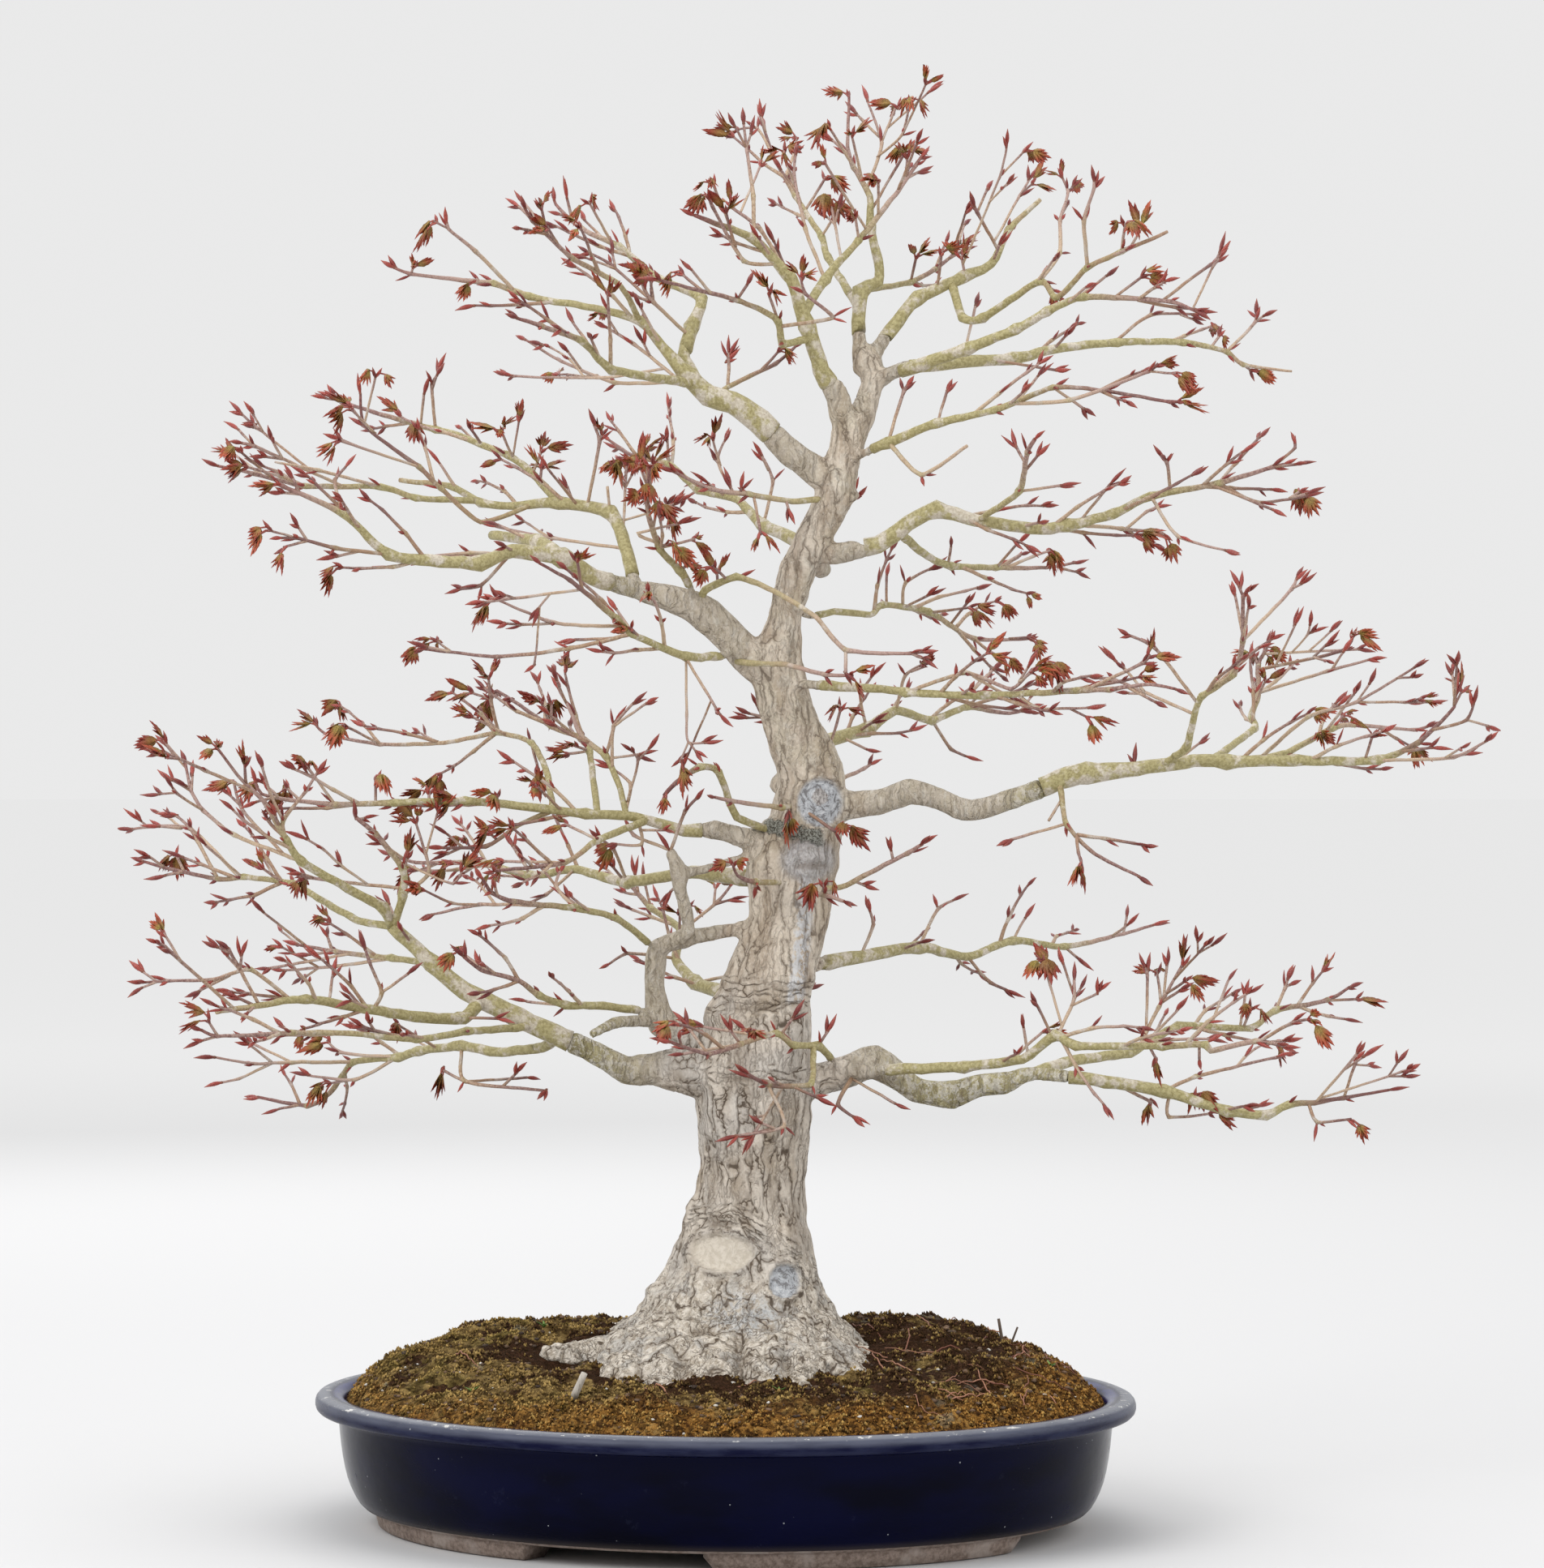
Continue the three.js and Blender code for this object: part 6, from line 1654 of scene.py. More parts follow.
def bark_material():
    """Old pale bark in cream and warm grey, with dark cracks, crumpled at the foot, and painted shade
    in its grooves, folds and hollows.
    """
    s = Shader("old_bark")
    at = s.place()
    x, y, z = s.split(at)
    fold = s.number("fold")
    scar = s.number("scar")
    trunk = s.number("on_trunk")
    loose = s.wander(at, 0.07, 7.0)
    loose = s.wander(loose, 0.35, 2.4)
    cords = s.noise(loose, (0.1, 0.1, 0.016), 2.0)
    wide = s.noise(at, (0.03, 0.03, 0.02), 2.0)
    fine = s.noise(at, (0.9, 0.9, 0.5), 4.0, 0.68)
    rough = s.noise(at, 0.28, 4.0, 0.66)
    some = s.noise(at, (0.09, 0.09, 0.06), 3.0, 0.6)
    foot = (z + (wide - 0.5) * 90.0).ramp(176.0, 140.0)

    # The way the plates lie: upright on the trunk, round each scar, along the lips above them.
    right, left = (x - 4.0).most(0.0), (4.0 - x).most(0.0)
    over = z - (187.0 - right * 0.6 - left * 0.17) + (wide - 0.5) * 12.0
    front = y.ramp(0.0, -10.0)
    lips = over.ramp(-8.0, -3.0) * over.ramp(15.0, 7.0)
    lips = lips * x.ramp(-32.0, -22.0) * x.ramp(52.0, 42.0) * front
    along_lips = s.node("CombineXYZ", {}, 0, x * 0.07, y * 0.07, over * 0.3 + rough * 1.3)
    lip_edge = plates(s, along_lips, 1.0)
    upright = plates(s, loose, (0.14, 0.14, 0.022))
    thin = plates(s, loose, (0.3, 0.3, 0.05))
    torn = s.wander(loose, 0.12, 9.0)
    crumple = plates(s, torn, (0.075, 0.075, 0.04))
    crumple_small = plates(s, torn, (0.3, 0.3, 0.16))
    edge = upright * (1.0 - foot) + crumple * foot
    small = thin * (1.0 - foot) + crumple_small * foot
    near_scar = None
    for sx, sz, w, h in SCARS:
        far = (((x - sx) / w) ** 2.0 + ((z - sz) / h) ** 2.0) ** 0.5
        turns = far * 15.0 + rough * 10.0
        ring = (turns.sine() * 0.5 + 0.5) * 0.3
        close = far.ramp(1.9, 1.3) * front
        small = small * (1.0 - close) + ring * close
        near_scar = close if near_scar is None else near_scar.most(close)
    edge = edge * (1.0 - lips) + lip_edge * lips
    belts = z.ramp(266.0, 270.0) * z.ramp(282.0, 278.0)
    belts = belts + z.ramp(309.0, 314.0) * z.ramp(338.0, 332.0)
    across = plates(s, loose, (0.035, 0.035, 0.2))
    edge = edge * (1.0 - belts * trunk) + across * belts * trunk

    color = s.blend(cords.ramp(0.38, 0.6), (0.44, 0.38, 0.315), (0.66, 0.59, 0.505))
    color = s.blend(wide.ramp(0.5, 0.64) * 0.5, color, (0.6, 0.57, 0.53))
    color = s.blend(wide.ramp(0.47, 0.36) * 0.4, color, (0.48, 0.38, 0.26))
    high = z.ramp(360.0, 450.0)
    lime = s.noise(at, (0.045, 0.045, 0.05), 2.0).ramp(0.44, 0.6)
    color = s.blend(high * lime * 0.5, color, (0.43, 0.42, 0.28))
    chalk = s.noise(at, 0.06, 5.0, 0.7).ramp(0.55, 0.61) * z.ramp(390.0, 430.0)
    color = s.blend(chalk * 0.6, color, (0.66, 0.67, 0.62))
    tan = s.blend(cords.ramp(0.38, 0.62), (0.42, 0.335, 0.25), (0.6, 0.52, 0.42))
    color = s.blend(z.ramp(300.0, 350.0) * 0.7, color, tan)
    grey_wood = ((x - 52.0) ** 2.0 / 300.0 + (z - 406.0) ** 2.0 / 190.0).ramp(1.5, 0.5) * front
    greys = s.blend(rough.ramp(0.4, 0.6), (0.3, 0.3, 0.31), (0.47, 0.47, 0.49))
    color = s.blend(grey_wood * 0.75, color, greys)
    drip = x - 45.0 - (z - 327.0) * 0.11 + (rough - 0.5) * 14.0
    drip = drip.size().ramp(7.0, 3.0) * z.ramp(312.0, 324.0) * z.ramp(402.0, 388.0) * front
    color = s.blend(drip * rough.ramp(0.4, 0.5) * 0.75, color, (0.62, 0.64, 0.67))
    olive = s.blend(cords.ramp(0.35, 0.65), (0.27, 0.235, 0.115), (0.42, 0.375, 0.21))
    near = s.blend(fine.ramp(0.35, 0.65), (0.36, 0.3, 0.23), (0.56, 0.5, 0.42))
    streak = s.noise(at, 0.17, 5.0, 0.78).ramp(0.48, 0.54)
    limb = s.blend(streak * 0.75, olive, (0.6, 0.57, 0.5))
    out = x - 22.0
    right_limb = x.ramp(60.0, 70.0) * x.ramp(200.0, 160.0) * z.ramp(395.0, 405.0)
    inner = out.size().ramp(105.0, 60.0).most(right_limb)
    limb = s.blend(inner * 0.85, limb, near)
    ribs = s.noise(loose, (0.42, 0.12, 0.1), 3.0, 0.6)
    # Painted shade in the ring wrinkles of the limbs and painted highlight on their crests; the
    # wrinkles have no relief in the bump.
    limb = s.blend(ribs.ramp(0.44, 0.38) * 0.5, limb, (0.16, 0.125, 0.08))
    limb = s.blend(ribs.ramp(0.56, 0.64) * 0.35, limb, (0.7, 0.67, 0.6))
    color = s.blend(trunk.ramp(0.5, 0.0), color, limb)
    pale = s.blend(rough.ramp(0.38, 0.56), (0.5, 0.435, 0.35), (0.82, 0.755, 0.66))
    color = s.blend(foot * 0.8, color, pale)
    stain = s.noise(loose, 0.05, 3.0, 0.6)
    color = s.blend(stain.ramp(0.52, 0.6) * foot * 0.5, color, (0.36, 0.36, 0.355))
    blue = ((x - 12.0) ** 2.0 * 0.0011 + (z - 131.0) ** 2.0 * 0.004).ramp(1.0, 0.2) * front
    color = s.blend(blue * rough.ramp(0.4, 0.56) * 0.6, color, (0.52, 0.55, 0.58))
    color = s.blend(fine.ramp(0.54, 0.66) * 0.35, color, (0.27, 0.215, 0.16))
    color = s.blend(fine.ramp(0.46, 0.36) * 0.3, color, (0.8, 0.76, 0.68))
    whole = (1.0 - scar) * (0.2 + 0.8 * trunk) * (1.0 - grey_wood * 0.7)
    whole = whole * (1.0 - z.ramp(310.0, 380.0) * 0.3)
    main = some.ramp(0.4, 0.56)
    # Painted shade: a wide darkening on the low ground beside the cracks, where the bump relief sinks.
    painted_groove_shade = edge.ramp(0.16, 0.0) * main
    color = s.blend(painted_groove_shade * 0.5 * whole, color, (0.26, 0.2, 0.14))
    creased = s.noise(torn, (0.3, 0.3, 0.16), 3.0, 0.7)
    # Painted shade in the low folds of the crumpled foot, which the same noise sinks in the bump.
    color = s.blend(creased.ramp(0.47, 0.38) * foot * 0.6, color, (0.2, 0.155, 0.11))
    crack = edge.ramp(0.05, 0.012) * main
    hair = small.ramp(0.075, 0.02) * some.ramp(0.54, 0.42)
    crack = crack.most(hair * (0.45 + 0.4 * foot.most(near_scar)))
    color = s.blend(crack * 0.88 * whole, color, (0.07, 0.047, 0.03))
    # Painted shade: darker in the carved creases and hollows that fold marks.
    color = s.blend(fold.ramp(0.3, 1.0) * 0.45, color, (0.14, 0.1, 0.065))
    ridge = z - 429.0 + (x - 19.6) * 0.24 + (rough - 0.5) * 10.0
    ridge = ridge.size().ramp(5.5, 3.5) * x.ramp(14.0, 19.0) * x.ramp(64.0, 58.0) * front
    crumbs = s.noise(at, 0.8, 3.0, 0.7)
    lichen = s.blend(crumbs.ramp(0.42, 0.58), (0.06, 0.06, 0.045), (0.42, 0.43, 0.38))
    color = s.blend(ridge * 0.9, color, lichen)
    # Darker brown toward the soil line at the trunk's foot.
    toward_soil_line = (z + rough * 40.0).ramp(122.0, 100.0)
    color = s.blend(toward_soil_line * 0.45, color, (0.19, 0.135, 0.09))
    crust = s.noise(s.wander(at, 0.12, 10.0), 0.3, 4.0, 0.7)
    grey = s.blend(crust.ramp(0.42, 0.5), (0.16, 0.165, 0.18), (0.42, 0.445, 0.48))
    grey = s.blend(crust.ramp(0.55, 0.62) * 0.6, grey, (0.7, 0.72, 0.74))
    cream = s.blend(crust.ramp(0.4, 0.6), (0.56, 0.5, 0.41), (0.68, 0.62, 0.53))
    smooth = s.blend(x.ramp(20.0, 26.0), cream, grey)
    knot = ((x - 58.6) ** 2.0 + (z - 444.6) ** 2.0) ** 0.5 + (crust - 0.5) * 6.0
    heart = s.blend(fine.ramp(0.4, 0.6), (0.1, 0.08, 0.07), (0.5, 0.47, 0.45))
    smooth = s.blend(knot.ramp(5.5, 4.5) * 0.8, smooth, heart)
    color = s.blend(scar * 0.9, color, smooth)
    big = edge.ramp(0.0, 0.2) * (0.4 + 0.6 * main)
    little = small.ramp(0.0, 0.2) * 0.45 * some.ramp(0.56, 0.44)
    relief = (big + little + creased * 1.6 * foot) * (1.0 - scar * 0.9)
    relief = relief + rough * (0.5 + 0.4 * foot) + fine * 0.35
    relief = relief + crust * scar * 0.4 + crumbs * ridge * 2.0
    grain = s.bump(relief, 1.6, 0.9)
    return s.finish(color, 0.62 + 0.2 * cords, grain, Specular_IOR_Level=0.25)


def young_wood_material():
    """Thick branches grey-white over olive, thinner ones khaki, the last lengths mauve to dark red."""
    s = Shader("young_wood")
    at = s.place()
    girth = s.number("girth")
    along = s.number("along")
    tone = s.number("tone")
    patch = s.noise(at, 0.08, 4.0, 0.65)
    fine = s.noise(at, 0.55, 3.0, 0.6)
    olive = s.blend(fine.ramp(0.35, 0.65), (0.28, 0.24, 0.1), (0.43, 0.38, 0.19))
    pale = s.blend(fine.ramp(0.3, 0.7), (0.44, 0.38, 0.29), (0.63, 0.58, 0.48))
    grey = (patch + (girth * 0.018)).ramp(0.57, 0.7)
    color = s.blend(grey, olive, pale)
    tan = s.blend((fine + tone * 0.5 - 0.25).ramp(0.3, 0.7), (0.33, 0.2, 0.13), (0.5, 0.37, 0.26))
    tan = s.blend(patch.ramp(0.52, 0.62) * 0.6, tan, (0.52, 0.46, 0.42))
    color = s.blend((girth + 1.5 * patch - 0.75).ramp(1.0, 2.2), tan, color)
    mauve = s.blend((fine + tone * 0.4 - 0.2).ramp(0.3, 0.7), (0.19, 0.095, 0.085), (0.4, 0.27, 0.23))
    color = s.blend(along.ramp(0.05, 0.6) * girth.ramp(2.4, 1.3), color, mauve)
    red = s.blend(fine.ramp(0.3, 0.7), (0.11, 0.025, 0.022), (0.25, 0.065, 0.055))
    color = s.blend(along.ramp(0.7, 1.0) * girth.ramp(2.0, 1.1), color, red)
    lines = s.noise(at, 1.6, 2.0).ramp(0.58, 0.7)
    color = s.blend(lines * 0.4, color, (0.09, 0.055, 0.035))
    bumps = s.bump(fine + s.noise(at, 1.7, 2.0) * 0.4, 0.5, 0.6)
    return s.finish(color, 0.52, bumps, Specular_IOR_Level=0.4)


def bud_material():
    s = Shader("bud_scales")
    at = s.place()
    along = s.number("along")
    tone = s.number("tone")
    base = s.blend(tone, (0.13, 0.012, 0.01), (0.36, 0.05, 0.035))
    color = s.blend(along.ramp(0.4, 1.0) * 0.5, base, (0.4, 0.12, 0.08))
    color = s.blend(along.ramp(0.3, 0.0) * 0.75, color, (0.2, 0.1, 0.055))
    fine = s.noise(at, (1.6, 1.6, 0.8), 2.0)
    color = s.blend(fine.ramp(0.45, 0.7) * 0.5, color, (0.07, 0.008, 0.008))
    return s.finish(color, 0.4, s.bump(fine, 0.3, 0.6))


def leaf_material():
    """Opening leaf: olive brown toward its base, red toward the pointed tips."""
    s = Shader("young_leaf")
    at = s.place()
    along = s.number("along")
    tone = s.number("tone")
    fine = s.noise(at, 0.8, 2.0)
    red = s.blend(tone, (0.24, 0.022, 0.012), (0.45, 0.085, 0.035))
    olive = s.blend(fine.ramp(0.35, 0.65), (0.19, 0.125, 0.025), (0.38, 0.3, 0.06))
    color = s.blend((along + 0.35 * fine).ramp(0.95, 0.4) * (0.55 + 0.45 * tone), red, olive)
    color = s.blend(fine.ramp(0.45, 0.75) * 0.35, color, (0.14, 0.012, 0.012))
    return s.finish(color, 0.45, s.bump(fine, 0.3, 0.5))


def glaze_material():
    """Deep cobalt glaze, near black on the wall, worn grey along the lip, with a painted grey-blue
    sheen on the lip's roll, and with chips and pits.
    """
    s = Shader("cobalt_glaze")
    at = s.place()
    x, y, z = s.split(at)
    drift = s.noise(at, (0.012, 0.012, 0.03), 3.0)
    color = s.blend(drift.ramp(0.35, 0.7), (0.0008, 0.001, 0.006), (0.0012, 0.0018, 0.018))
    color = s.blend(z.ramp(50.0, 66.0) * 0.6, color, (0.002, 0.003, 0.024))
    turned, across = pot_axes(x, y)
    far = ((turned / LIP_HALF_LONG) ** 2.0 + (across / LIP_HALF_SHORT) ** 2.0) ** 0.5
    wear = s.noise(at, (0.03, 0.03, 0.2), 4.0, 0.62)
    inner = far.ramp(0.965, 0.945) * z.ramp(68.0, 74.0)
    color = s.blend(inner * wear.ramp(0.36, 0.56) * 0.85, color, (0.014, 0.02, 0.14))
    lip = z.ramp(66.8, 68.5) * far.ramp(0.945, 0.965)
    rubbed = s.blend(wear.ramp(0.35, 0.65), (0.004, 0.005, 0.026), (0.022, 0.026, 0.06))
    color = s.blend(lip * 0.8, color, rubbed)
    # Painted sheen: edge gives the upper roll of the lip a grey-blue band of light, broken up by the
    # wear noise.
    edge = z.ramp(71.0, 75.0) * far.ramp(0.96, 0.985)
    crest = z.ramp(75.6, 77.2) * far.ramp(0.955, 0.97)
    color = s.blend(edge * (0.3 + 0.5 * wear), color, (0.13, 0.14, 0.18))
    color = s.blend(crest * (0.35 + 0.5 * wear), color, (0.22, 0.23, 0.26))
    chips = s.noise(at, (0.11, 0.11, 0.5), 4.0, 0.72).ramp(0.6, 0.64)
    color = s.blend(crest * chips * 0.9, color, (0.66, 0.65, 0.62))
    specks = s.cells(at, 0.11).ramp(0.07, 0.04)
    some = s.noise(at, 0.03, 1.0).ramp(0.5, 0.56)
    color = s.blend(specks * some * 0.7, color, (0.42, 0.44, 0.46))
    lines = s.cells(at, (0.05, 0.05, 0.9)).ramp(0.05, 0.02)
    lines = lines * s.noise(at, 0.03, 1.0).ramp(0.6, 0.66)
    color = s.blend(lines * 0.4, color, (0.3, 0.32, 0.36))
    bloom = s.noise(at, 0.05, 4.0, 0.7).ramp(0.62, 0.72) * z.ramp(66.0, 40.0)
    color = s.blend(bloom * 0.12, color, (0.03, 0.035, 0.07))
    dust = z.ramp(14.0, 8.0)
    color = s.blend(dust * 0.5, color, (0.07, 0.055, 0.045))
    rough = 0.13 + 0.1 * drift + 0.22 * lip * wear + 0.25 * dust + 0.2 * bloom
    waves = s.bump(s.noise(at, (0.05, 0.05, 0.09), 2.0), 0.6, 0.3)
    pits = s.bump(specks * some * -1.0, 0.3, 0.5, waves)
    return s.finish(color, rough, pits, Specular_IOR_Level=0.06)


def clay_material():
    s = Shader("bare_clay")
    at = s.place()
    fine = s.noise(at, 0.35, 4.0, 0.65)
    color = s.blend(fine.ramp(0.3, 0.7), (0.16, 0.115, 0.09), (0.32, 0.25, 0.21))
    color = s.blend(s.noise(at, 0.05, 3.0).ramp(0.5, 0.64) * 0.6, color, (0.4, 0.34, 0.3))
    return s.finish(color, 0.85, s.bump(fine, 0.7, 0.8))


def ground_color(s, at):
    """Golden moss behind and left, rust along the front and right of the rim, humus between, with
    painted shade in the gaps between tufts and cushions and painted light on the cushion tops.
    """
    x, y, _ = s.split(at)
    turned, across = pot_axes(x, y)
    far = ((turned / 235.0) ** 2.0 + (across / 212.0) ** 2.0) ** 0.5
    patch = s.noise(at, 0.026, 4.0, 0.62)
    small = s.noise(at, 0.11, 3.0, 0.6)
    tuft = s.noise(at, 0.33, 2.0, 0.6)
    grain = s.noise(at, 0.75, 3.0, 0.65)
    moss = s.blend(small.ramp(0.35, 0.65), (0.16, 0.095, 0.027), (0.52, 0.36, 0.14))
    green = s.blend(small.ramp(0.4, 0.65), (0.13, 0.11, 0.026), (0.34, 0.26, 0.075))
    moss = s.blend(patch.ramp(0.5, 0.62) * 0.6, moss, green)
    humus = s.blend(grain.ramp(0.35, 0.65), (0.028, 0.013, 0.007), (0.115, 0.055, 0.03))
    rust = s.blend(tuft.ramp(0.36, 0.6), (0.13, 0.045, 0.01), (0.55, 0.27, 0.06))
    hollow = ((x + 100.0) ** 2.0 / 1800.0 + (y + 18.0) ** 2.0 / 1150.0).ramp(1.5, 0.2)
    hollow = hollow.most(((x + 172.0) ** 2.0 / 580.0 + (y + 76.0) ** 2.0 / 200.0).ramp(1.5, 0.2))
    bare = s.noise(at, 0.036, 4.0, 0.66) + 0.1 * (x / 230.0) - 0.1 * far + hollow * 0.14
    bare = bare.ramp(0.38, 0.45)
    color = s.blend(bare, moss, humus)
    toward_front = (x / 260.0) - (y / 130.0) + 3.0 * (small - 0.5)
    rim = far.ramp(0.72, 0.93) * toward_front.ramp(0.1, 0.9)
    rim = rim.most(far.ramp(0.88, 0.98) * small.ramp(0.36, 0.5) * 0.8)
    color = s.blend(rim * 0.85, color, rust)
    # Painted shade: dark gaps between the moss tufts, drawn from the tuft noise alone.
    color = s.blend(tuft.ramp(0.52, 0.34) * 0.55, color, (0.025, 0.015, 0.006))
    color = s.blend(grain.ramp(0.5, 0.72) * 0.35, color, (0.05, 0.03, 0.012))
    cushion = s.noise(at, 0.17, 3.0, 0.62)
    # Painted shade between the moss cushions and painted light on their tops; the cushions have no
    # relief in the bump.
    color = s.blend(cushion.ramp(0.5, 0.38) * 0.65, color, (0.04, 0.02, 0.008))
    color = s.blend(cushion.ramp(0.53, 0.66) * (1.0 - bare) * 0.45, color, (0.6, 0.4, 0.15))
    lichen = s.cells(at, 0.021).ramp(0.19, 0.12) * small.ramp(0.45, 0.55)
    color = s.blend(lichen * 0.4, color, (0.4, 0.39, 0.29))
    return color, grain


def ground_material():
    s = Shader("moss_ground")
    at = s.place()
    color, grain = ground_color(s, at)
    _, _, z = s.split(at)
    color = s.blend(z.ramp(73.0, 70.0), color, (0.04, 0.026, 0.017))
    # Painted shade: darker in the gaps between moss clumps, where along, the clump height, is low.
    color = s.blend((1.0 - s.number("along")) * 0.8, color, (0.03, 0.017, 0.008))
    fuzz = s.noise(at, 1.5, 2.0) + grain * 1.6
    return s.finish(color, 0.95, s.bump(fuzz, 1.5, 0.9), Specular_IOR_Level=0.05)


def shoot_material():
    s = Shader("moss_leaves")
    at = s.place()
    color, _ = ground_color(s, at)
    tone = s.number("tone")
    along = s.number("along")
    # Painted light and shade by clump height: tone mixes how high a shoot stands in its clump with
    # chance, so high shoots turn golden and low ones dark.
    color = s.blend(tone.ramp(0.5, 0.95) * 0.6, color, (0.62, 0.43, 0.14))
    color = s.blend(tone.ramp(0.5, 0.15) * 0.8, color, (0.035, 0.02, 0.008))
    # Darker toward the foot of each shoot.
    color = s.blend((1.0 - along) * 0.35, color, (0.05, 0.03, 0.01))
    return s.finish(color, 0.9, None, Specular_IOR_Level=0.06)


def grit_material():
    s = Shader("grit")
    at = s.place()
    tone = s.number("tone")
    pale = s.number("along")
    dark = s.blend(tone, (0.035, 0.02, 0.012), (0.2, 0.12, 0.07))
    white = s.blend(tone, (0.42, 0.38, 0.32), (0.72, 0.7, 0.65))
    fine = s.noise(at, 1.4, 2.0)
    return s.finish(s.blend(pale, dark, white), 0.88, s.bump(fine, 0.4, 0.6))


def root_material():
    s = Shader("fine_root")
    at = s.place()
    tone = s.number("tone")
    color = s.blend(tone, (0.13, 0.035, 0.02), (0.42, 0.2, 0.12))
    return s.finish(color, 0.7, s.bump(s.noise(at, 1.8, 2.0), 0.2, 0.5))


def stub_material():
    s = Shader("broken_twig")
    at = s.place()
    fine = s.noise(at, (0.8, 0.8, 0.2), 3.0)
    _, y, _ = s.split(at)
    color = s.blend(y.ramp(-60.0, -100.0), (0.1, 0.07, 0.05), (0.52, 0.48, 0.42))
    color = s.blend(fine.ramp(0.5, 0.7) * 0.4, color, (0.12, 0.09, 0.06))
    return s.finish(color, 0.8, s.bump(fine, 0.4, 0.6))


def seedling_material():
    s = Shader("seedling")
    tone = s.number("tone")
    return s.finish(s.blend(tone, (0.08, 0.19, 0.03), (0.2, 0.34, 0.07)), 0.5)


def screen_material():
    s = Shader("screen_plastic")
    at = s.place()
    fine = s.noise(at, 0.6, 2.0)
    color = s.blend(fine.ramp(0.4, 0.7), (0.015, 0.016, 0.017), (0.04, 0.04, 0.042))
    return s.finish(color, 0.6, s.bump(fine, 0.1, 0.4))


def floor_material():
    """Pale floor, a little lighter far off, so that it meets the surroundings softly."""
    s = Shader("pale_floor")
    x, y, _ = s.split(s.place())
    far = (x ** 2.0 + y ** 2.0) ** 0.5
    color = s.blend(far.ramp(500.0, 6000.0), (0.66, 0.66, 0.665), (0.98, 0.98, 0.98))
    return s.finish(color, 0.9, None, Specular_IOR_Level=0.0)


# Putting the pieces together.

limbs = []
wood_set = [young_wood_material(), bud_material(), leaf_material()]
grown = grow()
nodes = sorted({stem.outer for stem in grown} | {stem.node for stem in grown} | {"trunk"})
skins = {node: Skin() for node in nodes}
# The stems wobble by noise_vector, which starts from the clock unless it has a seed.
noise.seed_set(7)
for k, stem in enumerate(list(grown)):
    dress(stem, skins, seeded(9001 + 31 * k))


def finer_twigs(stem, every, draw):
    """Bent twigs in opposite pairs that the solids leave out, filling the outer half of each spray."""
    made = []
    last = stem.reach[-1]
    if stem.outer == "trunk" or max(stem.half[1:]) > 12:
        return made
    s = max(stem.cut if stem.cut < last else 0, stem.buried, 0.3 * last)
    s += every * (0.2 + 0.6 * draw())
    turn = draw() * math.pi
    while s < last - 18:
        turn += 1.1 + 0.7 * draw()
        for side in (-1, 1):
            root = off_the_cut(spot_at(stem, s), 1.5)
            if draw() < 0.25 or root.half > 4.5:
                continue
            length = clamp((last - s) * (0.5 + 0.5 * draw()), 22, 62)
            across = unit(np.cross(root.toward, np.array([0.0, 0.0, 1.0])))
            up = np.cross(across, root.toward)
            aside = across * math.cos(turn) + up * math.sin(turn)
            heading = root.toward * 1.1 + aside * side * (0.55 + 0.35 * draw())
            heading = unit(heading + np.array([0.0, 0.0, 0.25]))
            path = [root.point]
            bends = 1 + (length > 34) + (length > 48)
            for n in range(bends):
                path.append(path[-1] + heading * length / bends)
                push = 0.3 * (np.array([draw(), draw(), draw()]) - 0.45)
                heading = unit(heading + 0.35 * root.toward + push)
            thick = min(0.95 + 0.006 * length, root.half * 0.9)
            last_point = len(path) - 1
            half = [thick + (0.65 - thick) * n / last_point for n in range(len(path))]
            buried = min(root.half + 2, length * 0.4)
            end = "b" if draw() < 0.72 else "L"
            name = f"{stem.name}_fine_{len(made)}"
            twig = side_stem(name, stem, root, path, half, buried, end)
            if room(twig, True) > 0:
                wood.add(twig)
                made.append(twig)
        s += every * (0.8 + 0.4 * draw())
    return made


for k, stem in enumerate(list(grown)):
    if "_shoot_" not in stem.name and stem.reach[-1] > 34:
        for n, twig in enumerate(finer_twigs(stem, FINE_TWIGS_EVERY, seeded(15013 + 37 * k))):
            dress(twig, skins, seeded(22013 + 31 * k + 7 * n))

low, high = np.array(cad_box[0]), np.array(cad_box[1])


def placed(piece, slot, *replaced):
    """Keeps a piece inside the model's box, and gives it its place in the object."""
    co = np.clip(point_values(piece.data, "co"), low, high)
    piece.data.vertices.foreach_set("co", co.ravel())
    piece.data.update()
    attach(piece, "root")
    if replaced:
        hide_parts(*replaced)
    return piece


for node, skin in skins.items():
    if node == "trunk":
        placed(skin.make("trunk_twigs", wood_set), "young_wood", "trunk")
    else:
        placed(skin.make(node + "_wood", wood_set), "young_wood", node)

trunk_mesh = trunk_form()
carve_bark(trunk_mesh)
trunk_mesh.materials.clear()
trunk_mesh.materials.append(bark_material())
placed(linked("trunk_and_roots", trunk_mesh), "bark", "trunk")

placed(pot_piece([glaze_material(), clay_material()]), "glaze", "pot")
placed(soil_piece([ground_material()]), "soil", "soil")
placed(moss_tufts([shoot_material()]), "soil", "soil")
placed(soil_grains([grit_material()]), "soil", "soil")
placed(fine_roots([root_material()]), "soil", "soil")
placed(small_growth([stub_material(), seedling_material()]), "soil", "soil")
screen = screen_material()
for name in ("drainage_screen_left", "drainage_screen_right"):
    node = bpy.data.objects[name]
    node.data.materials.clear()
    node.data.materials.append(screen)

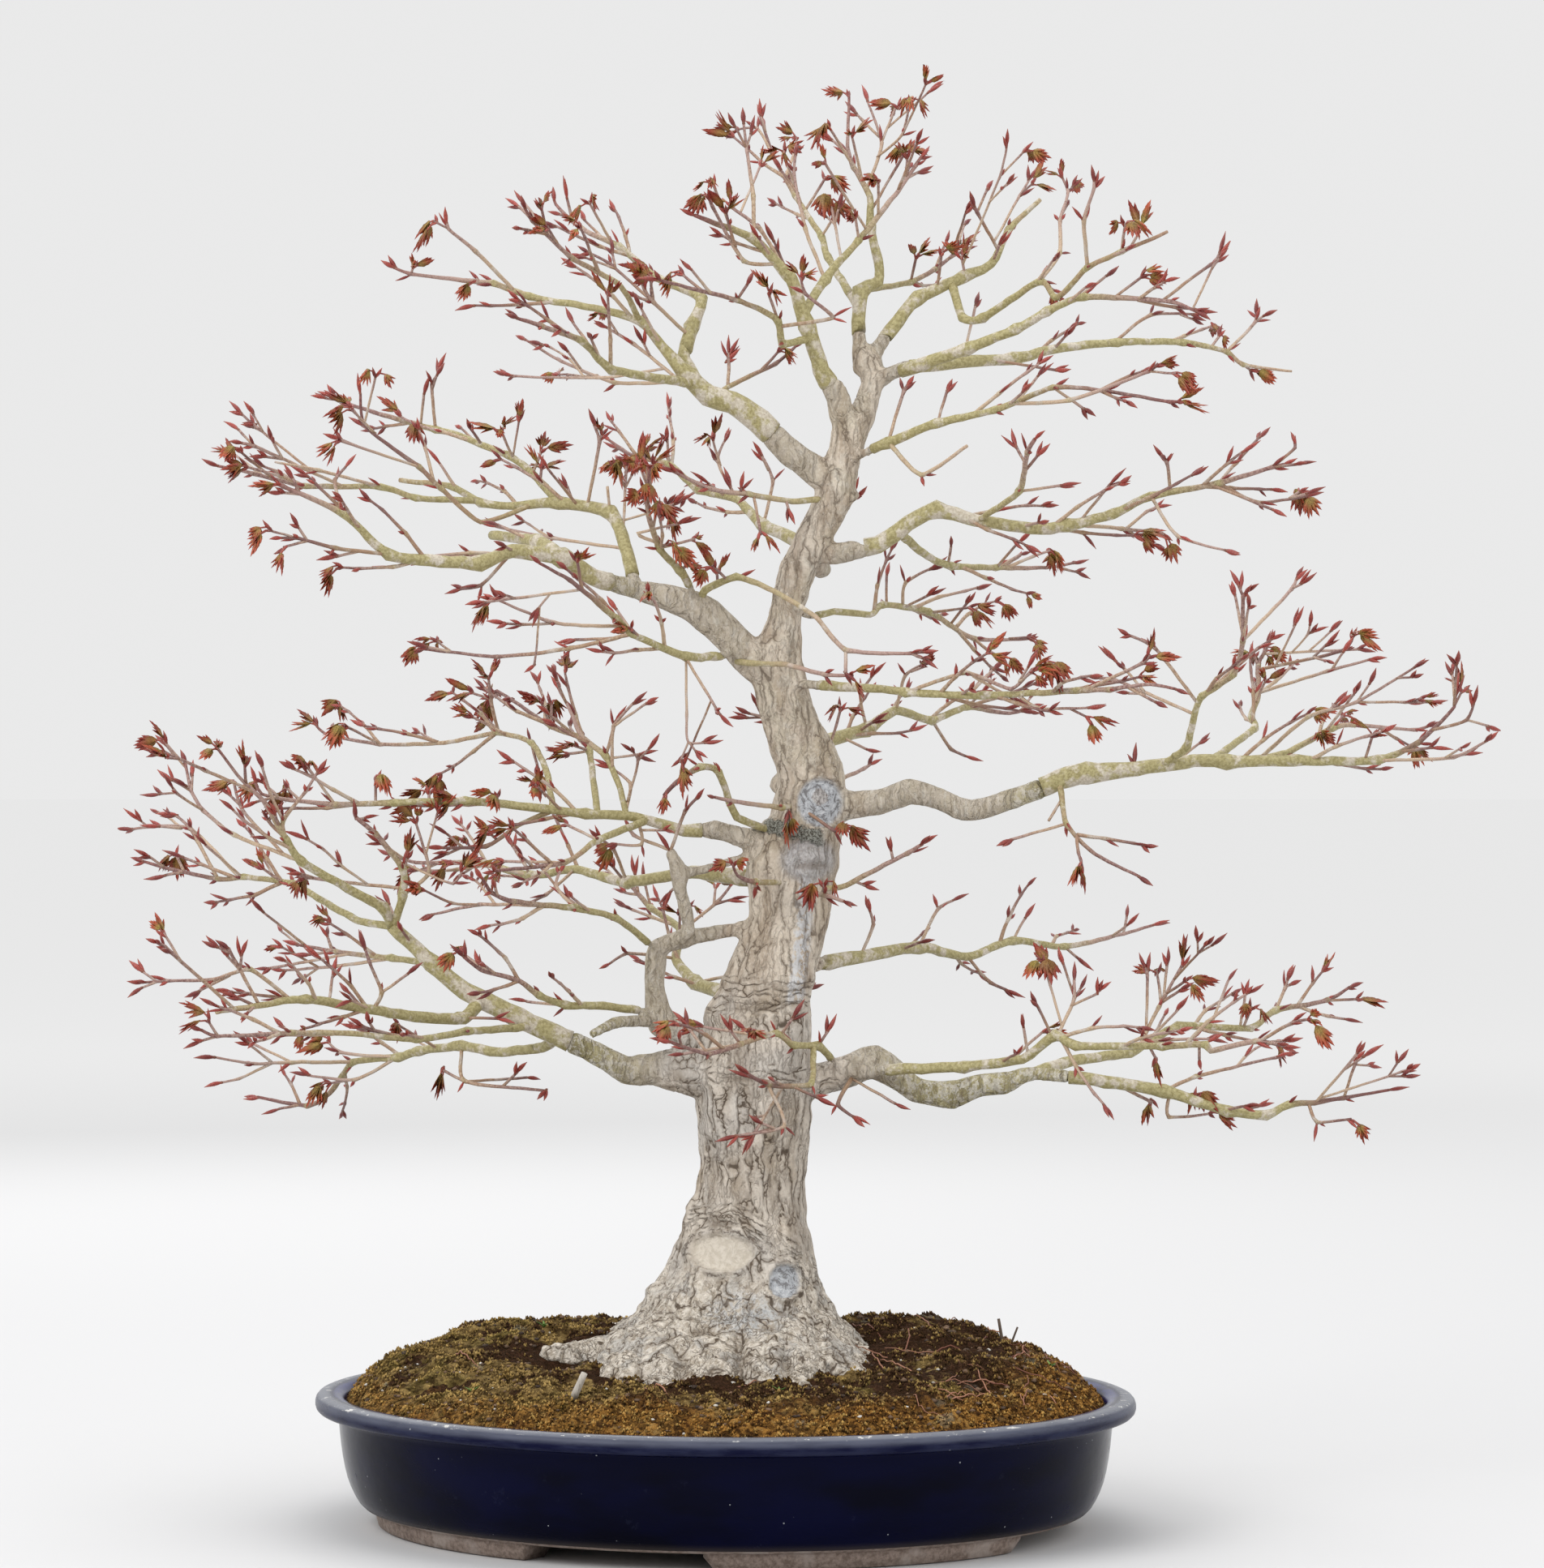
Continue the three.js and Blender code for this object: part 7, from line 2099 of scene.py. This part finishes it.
# Floor, light and camera.

FLOOR_Z = -3.4


def floor_piece():
    """A wide flat pale floor, out to where the eye sees its edge as the horizon."""
    skin = Skin()
    around = 72
    reach = (900, 2000, 4000, 8000, 20000, 60000, 150000)
    points = [(0.0, 0.0, FLOOR_Z)]
    turns = [k * 2 * math.pi / around for k in range(around)]
    for r in reach:
        points += [(r * math.cos(a), r * math.sin(a), FLOOR_Z) for a in turns]
    faces = [(0, 1 + k, 1 + (k + 1) % around) for k in range(around)]
    faces += bands(len(reach), around, start=1, inward=True)
    skin.add(points, faces, 0)
    skin.make("floor", [floor_material()])


floor_piece()


def lamp(name, where, aim, power, width, height):
    """A soft rectangular light at a place, aimed at another, in metres and watts."""
    data = bpy.data.lights.new(name, "AREA")
    data.shape = "RECTANGLE"
    data.size, data.size_y = width, height
    data.energy = power
    light = linked(name, data)
    light.location = Vector(where)
    light.rotation_euler = (Vector(aim) - Vector(where)).to_track_quat("-Z", "Y").to_euler()


lamp("key_left", (-1.9, -1.9, 2.1), (0, 0, 0.45), 46, 1.8, 1.8)
lamp("fill_right", (2.2, -1.7, 1.3), (0, 0, 0.45), 15, 1.8, 1.8)
lamp("top", (0.2, 0.2, 2.6), (0, 0, 0.4), 22, 2.2, 2.2)
lamp("back_soft", (-0.8, 2.6, 1.9), (0, 0, 0.5), 16, 2.0, 1.6)

world = bpy.data.worlds.new("soft_light")
world.use_nodes = True
world.node_tree.nodes["Background"].inputs["Color"].default_value = (1.0, 1.0, 1.0, 1.0)
world.node_tree.nodes["Background"].inputs["Strength"].default_value = 0.82
bpy.context.scene.world = world

eye = bpy.data.cameras.new("eye")
eye.lens = 119.13
eye.sensor_width = 36.0
eye.clip_start, eye.clip_end = 0.1, 300.0
camera = linked("eye", eye)
camera.location = Vector(np.array([EYE_X, -EYE_OUT, EYE_Z]) * MM + PLACE)
camera.rotation_euler = (math.pi / 2, 0.0, 0.0)
bpy.context.scene.camera = camera
bpy.context.scene.view_settings.view_transform = "Standard"
